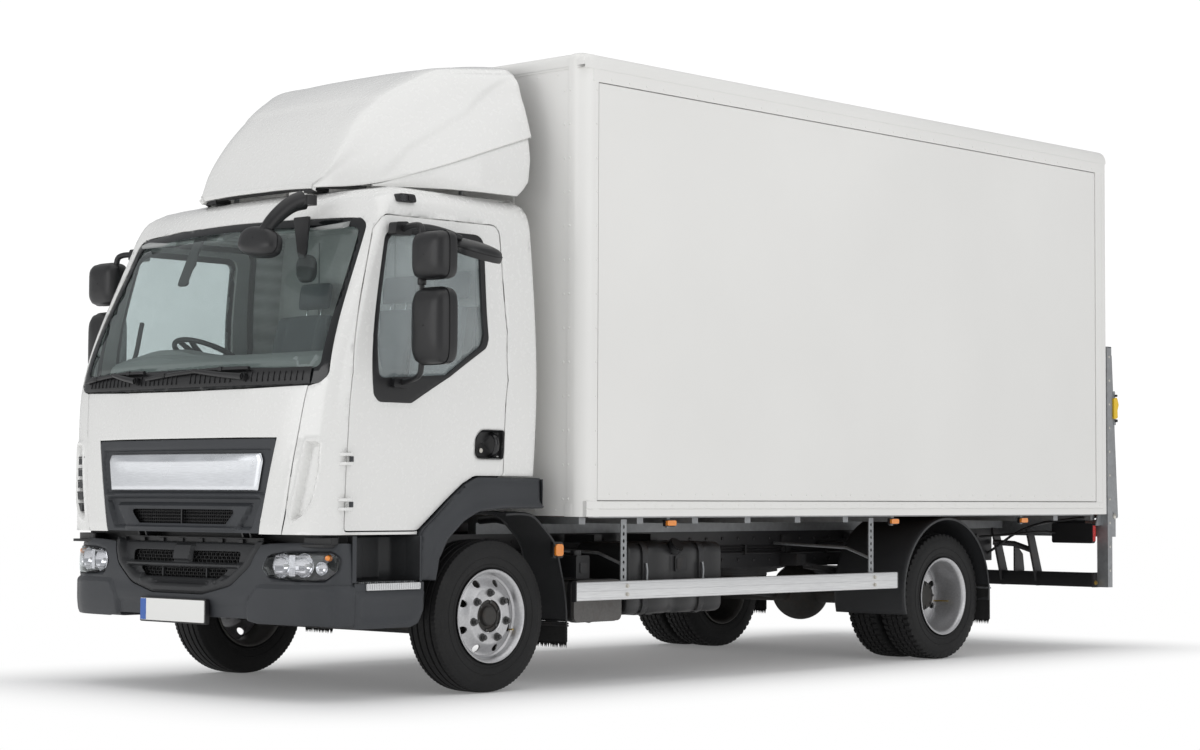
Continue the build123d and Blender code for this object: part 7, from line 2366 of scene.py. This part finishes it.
# light strip
c.prism(rounded([(-858, 542), (-502, 542), (-502, 575), (-858, 575)], 5), "x", 1060, 1080, "alu")
for i in range(24):
    y = -850 + i * 14.8
    c.prism([(y, 545), (y + 7, 545), (y + 7, 572), (y, 572)], "x", 1079.5, 1083, "alu")
# treads
for z in (578,):
    for i in range(9):
        c.box((830, 1070), (-900 + i * 46, -886 + i * 46), (z, z + 3), "grey_dark")
both(c, k)
k.make("step_skin", "chassis", "grey_plastic", angle=38, weld=0.5, replaces=("step_boxes",))


# rear lamps, plates and the lift -----------------------------------------
k = Kit()
c = Kit()
c.prism(rounded([(872, 702), (1190, 702), (1190, 836), (872, 836)], 16), "y", 5546, 5582, "black")
for x0, x1, key in ((880, 944, "white_lens"), (948, 1030, "amber"), (1034, 1184, "red")):
    c.prism(rounded([(x0, 712), (x1, 712), (x1, 826), (x0, 826)], 12), "y", 5580, 5598, key)
    for z in np.arange(720, 822, 9):
        c.box((x0 + 6, x1 - 6), (5597.6, 5599.4), (z, z + 3), key)
c.prism(rounded([(5552, 716), (5578, 716), (5578, 822), (5552, 822)], 6), "x", 1186, 1193, "red")
c.box((860, 1120), (5560, 5572), (836, 870), "black")
c.tube([(900, 5548, 770), (820, 5500, 780), (700, 5400, 760), (450, 5300, 740)], 8, "black", 8, smooth=2)
both(c, k)
# blank rear plate and its holder
k.prism(rounded([(-262, 560), (262, 560), (262, 688), (-262, 688)], 8), "y", 5586, 5592, "plate")
k.prism(rounded([(-272, 550), (272, 550), (272, 700), (-272, 700)], 8), "y", 5576, 5586.5, "black")
k.make("rear_lamps_skin", "chassis", "lamp_glass", angle=40, bevel=0, replaces=("rear_lamps",))


# ------------------------------------------------------------------ rear beam, columns and tail lift
k = Kit()
c = Kit()
# column: C section open towards the middle, with holes' plugs, a foot plate and a top cap
col = [(1250, 5644), (1250, 5700), (1232, 5700), (1232, 5696), (1245, 5696), (1245, 5650), (1172, 5650), (1172, 5656), (1166, 5656), (1166, 5644)]
c.prism(col, "z", 407, 2026, "galv")
c.prism(rounded([(1165, 5644), (1250, 5644), (1250, 5700), (1165, 5700)], 4), "z", 2022, 2028, "galv")
for z in np.arange(520, 2000, 160):
    c.lathe([(0, 10), (3, 9), (5, 5), (5, 0.01)], (1250 - 2, 5672, z), (1, 0, 0), "zinc", 8)
c.box((1168, 1244), (5634, 5646), (900, 1010), "galv")
c.box((1168, 1244), (5634, 5646), (1880, 1960), "galv")
# diagonal arms from the frame to the beam, gusset plates
c.prism(rounded([(5480, 800), (5560, 790), (5668, 500), (5668, 405), (5610, 405), (5560, 560)], [10, 20, 20, 4, 10, 30]), "x", 700, 716, "steel_dark")
c.prism(rounded([(5480, 800), (5560, 790), (5668, 500), (5668, 405), (5610, 405), (5560, 560)], [10, 20, 20, 4, 10, 30]), "x", 420, 436, "steel_dark")
c.prism(rounded([(5564, 820), (5676, 825), (5676, 905), (5600, 905)], [8, 8, 4, 4]), "x", 1196, 1206, "galv")
c.tube([(446, 5470, 700), (560, 5560, 690), (700, 5600, 640)], 20, "steel_dark", 10)
both(c, k)
beam = rounded([(5602, 407), (5678, 407), (5680, 412), (5680, 498), (5676, 503), (5604, 503), (5600, 498), (5600, 412)], [4, 3, 3, 3, 3, 3, 3, 4], 3)
k.prism(beam, "x", -1160, 1160, "black")
for s in (1, -1):
    k.prism(grow(beam, 2.0), "x", s * 1150, s * 1166, "steel_dark")
    k.lathe([(0, 17), (7, 17), (7, 10), (16, 9), (17, 0.01)], (s * 1166, 5618, 436), (s, 0, 0), "brass", 6)
    k.lathe([(0, 11), (7, 11), (7, 6), (12, 5), (12, 0.01)], (s * 1166, 5656, 470), (s, 0, 0), "zinc", 6)
for x in np.arange(-900, 901, 300):
    k.box((x - 90, x + 90), (5679, 5682), (440, 476), "red" if abs(x) > 700 else "steel_dark")
for x in (-560, 560):
    k.prism(rounded([(5560, 500), (5680, 500), (5660, 620), (5560, 700)], 14), "x", x - 6, x + 6, "steel_dark")
# hydraulic pack in its box behind the axle
k.prism(rounded([(-300, 5060), (300, 5060), (300, 5380), (-300, 5380)], 24), "z", 470, 560, "steel_dark")
for x in (-240, 240):
    k.prism(rounded([(5080, 560), (5360, 560), (5360, 640), (5080, 640)], 8), "x", x - 8, x + 8, "steel_dark")
k.tube([(250, 5380, 510), (420, 5440, 620), (700, 5490, 820), (1100, 5500, 870), (1180, 5620, 880)], 9, "black", 8, smooth=2)
k.tube([(-250, 5380, 510), (-420, 5440, 620), (-700, 5490, 820), (-1100, 5500, 870), (-1180, 5620, 880)], 9, "black", 8, smooth=2)
k.make("rear_beam_skin", "chassis", "steel", angle=40, replaces=("underrun_frame",))

# carriage: the CAD plates stay; bolts and wear pads ride with them
paint_node("lift_carriage", "galv")
k = Kit()
c = Kit()
for z in (1180, 1290, 1400):
    c.lathe([(0, 10), (3, 9), (6, 8), (6, 0.01)], (1212, 5715, z), (0, 1, 0), "zinc", 6)
for z in (780, 826):
    for x in (1150, 1000, 500, 120):
        c.lathe([(0, 11), (4, 11), (4, 7), (10, 6), (10, 0.01)], (x, 5715, z), (0, 1, 0), "zinc", 6)
c.lathe([(0, 19), (5, 18), (9, 12), (10, 0.01)], (1242.2, 5740, 885), (1, 0, 0), "zinc", 16)
both(c, k)
for x in np.arange(-1000, 1001, 400):
    k.box((x - 60, x + 60), (5714.6, 5716.4), (752, 760), "galv")
k.make("carriage_details", "lift_carriage_body", "steel", angle=40)

# platform: hollow planks, ribbed loading face, tapered tip, hinge lugs
k = Kit()
z0, z1 = 905.0, 1972.0


def outer_y(z):
    return 5815 + (5746 - 5815) * (z - z0) / (z1 - z0)


pl = []
n = 7
for i in range(n):
    a, b = z0 + (z1 - z0) * i / n, z0 + (z1 - z0) * (i + 1) / n
    pl += [(outer_y(a) - 3.5, a + 1.0), (outer_y(a) - 0.4, a + 6), (outer_y((a + b) / 2) - 0.2, (a + b) / 2), (outer_y(b) - 0.4, b - 6), (outer_y(b) - 3.5, b - 1.0)]
inner = []
m = 40
for i in range(m):
    z = z1 - 8 - (z1 - z0 - 16) * i / m
    inner += [(5725.4, z), (5727.6, z - 4), (5727.6, z - 14), (5725.4, z - 18)]
body = [(5727, 882), (5734, 872), (5806, 870), (5814.5, 880)] + pl + [(5742, 1972), (5729, 1972)] + inner
k.grid([[(x, y, z) for y, z in body] for x in (-1216, 1216)], "alu", closed_u=True)
for s in (1, -1):
    # end frames
    side_pl = rounded([(5725, 880), (5734, 869.5), (5806, 869.5), (5815, 880), (5815, 905), (5746, 1972), (5725, 1972)], [3, 4, 4, 4, 10, 4, 3])
    k.prism(side_pl, "x", s * 1212, s * 1225, "galv")
    # painted warning edge and the two reflecting flags in their clips
    k.prism(rounded([(5765, 1500), (5790, 1500), (5782, 1730), (5758, 1730)], 5), "x", s * 1224.6, s * 1228, "galv")
    k.prism(rounded([(5752, 1540), (5800, 1548), (5796, 1600), (5812, 1640), (5790, 1688), (5752, 1680)], [10, 14, 12, 14, 14, 8]), "x", s * 1222, s * 1238, "yellow")
    k.cyl((s * 1216, 5786, 1530), (s * 1240, 5786, 1530), 10, "steel_dark", 12)
    k.cyl((s * 1216, 5786, 1700), (s * 1240, 5786, 1700), 8, "steel_dark", 12)
    # hinge lug
    k.lathe([(0, 30), (10, 30), (12, 26), (12, 0.01)], (s * 1217, 5740, 885), (s, 0, 0), "galv", 28)
# warning stripes: plain yellow strip along the free edge, feet lamps
k.box((-1190, 1190), (5727, 5742), (1971, 1973.5), "yellow")
for x in (-900, 900):
    k.lathe([(0, 32), (3, 31), (5, 22), (5, 0.01)], (x, outer_y(1860) - 0.5, 1860), (0, 1, 0.06), "amber", 24)
for x in (-300, 300):
    k.prism(rounded([(x - 60, 1500), (x + 60, 1500), (x + 60, 1540), (x - 60, 1540)], 12), "y", 5768, 5779, "steel_dark")
k.make("platform_skin", "lift_platform_body", "aluminium", angle=35, replaces=("lift_platform",))
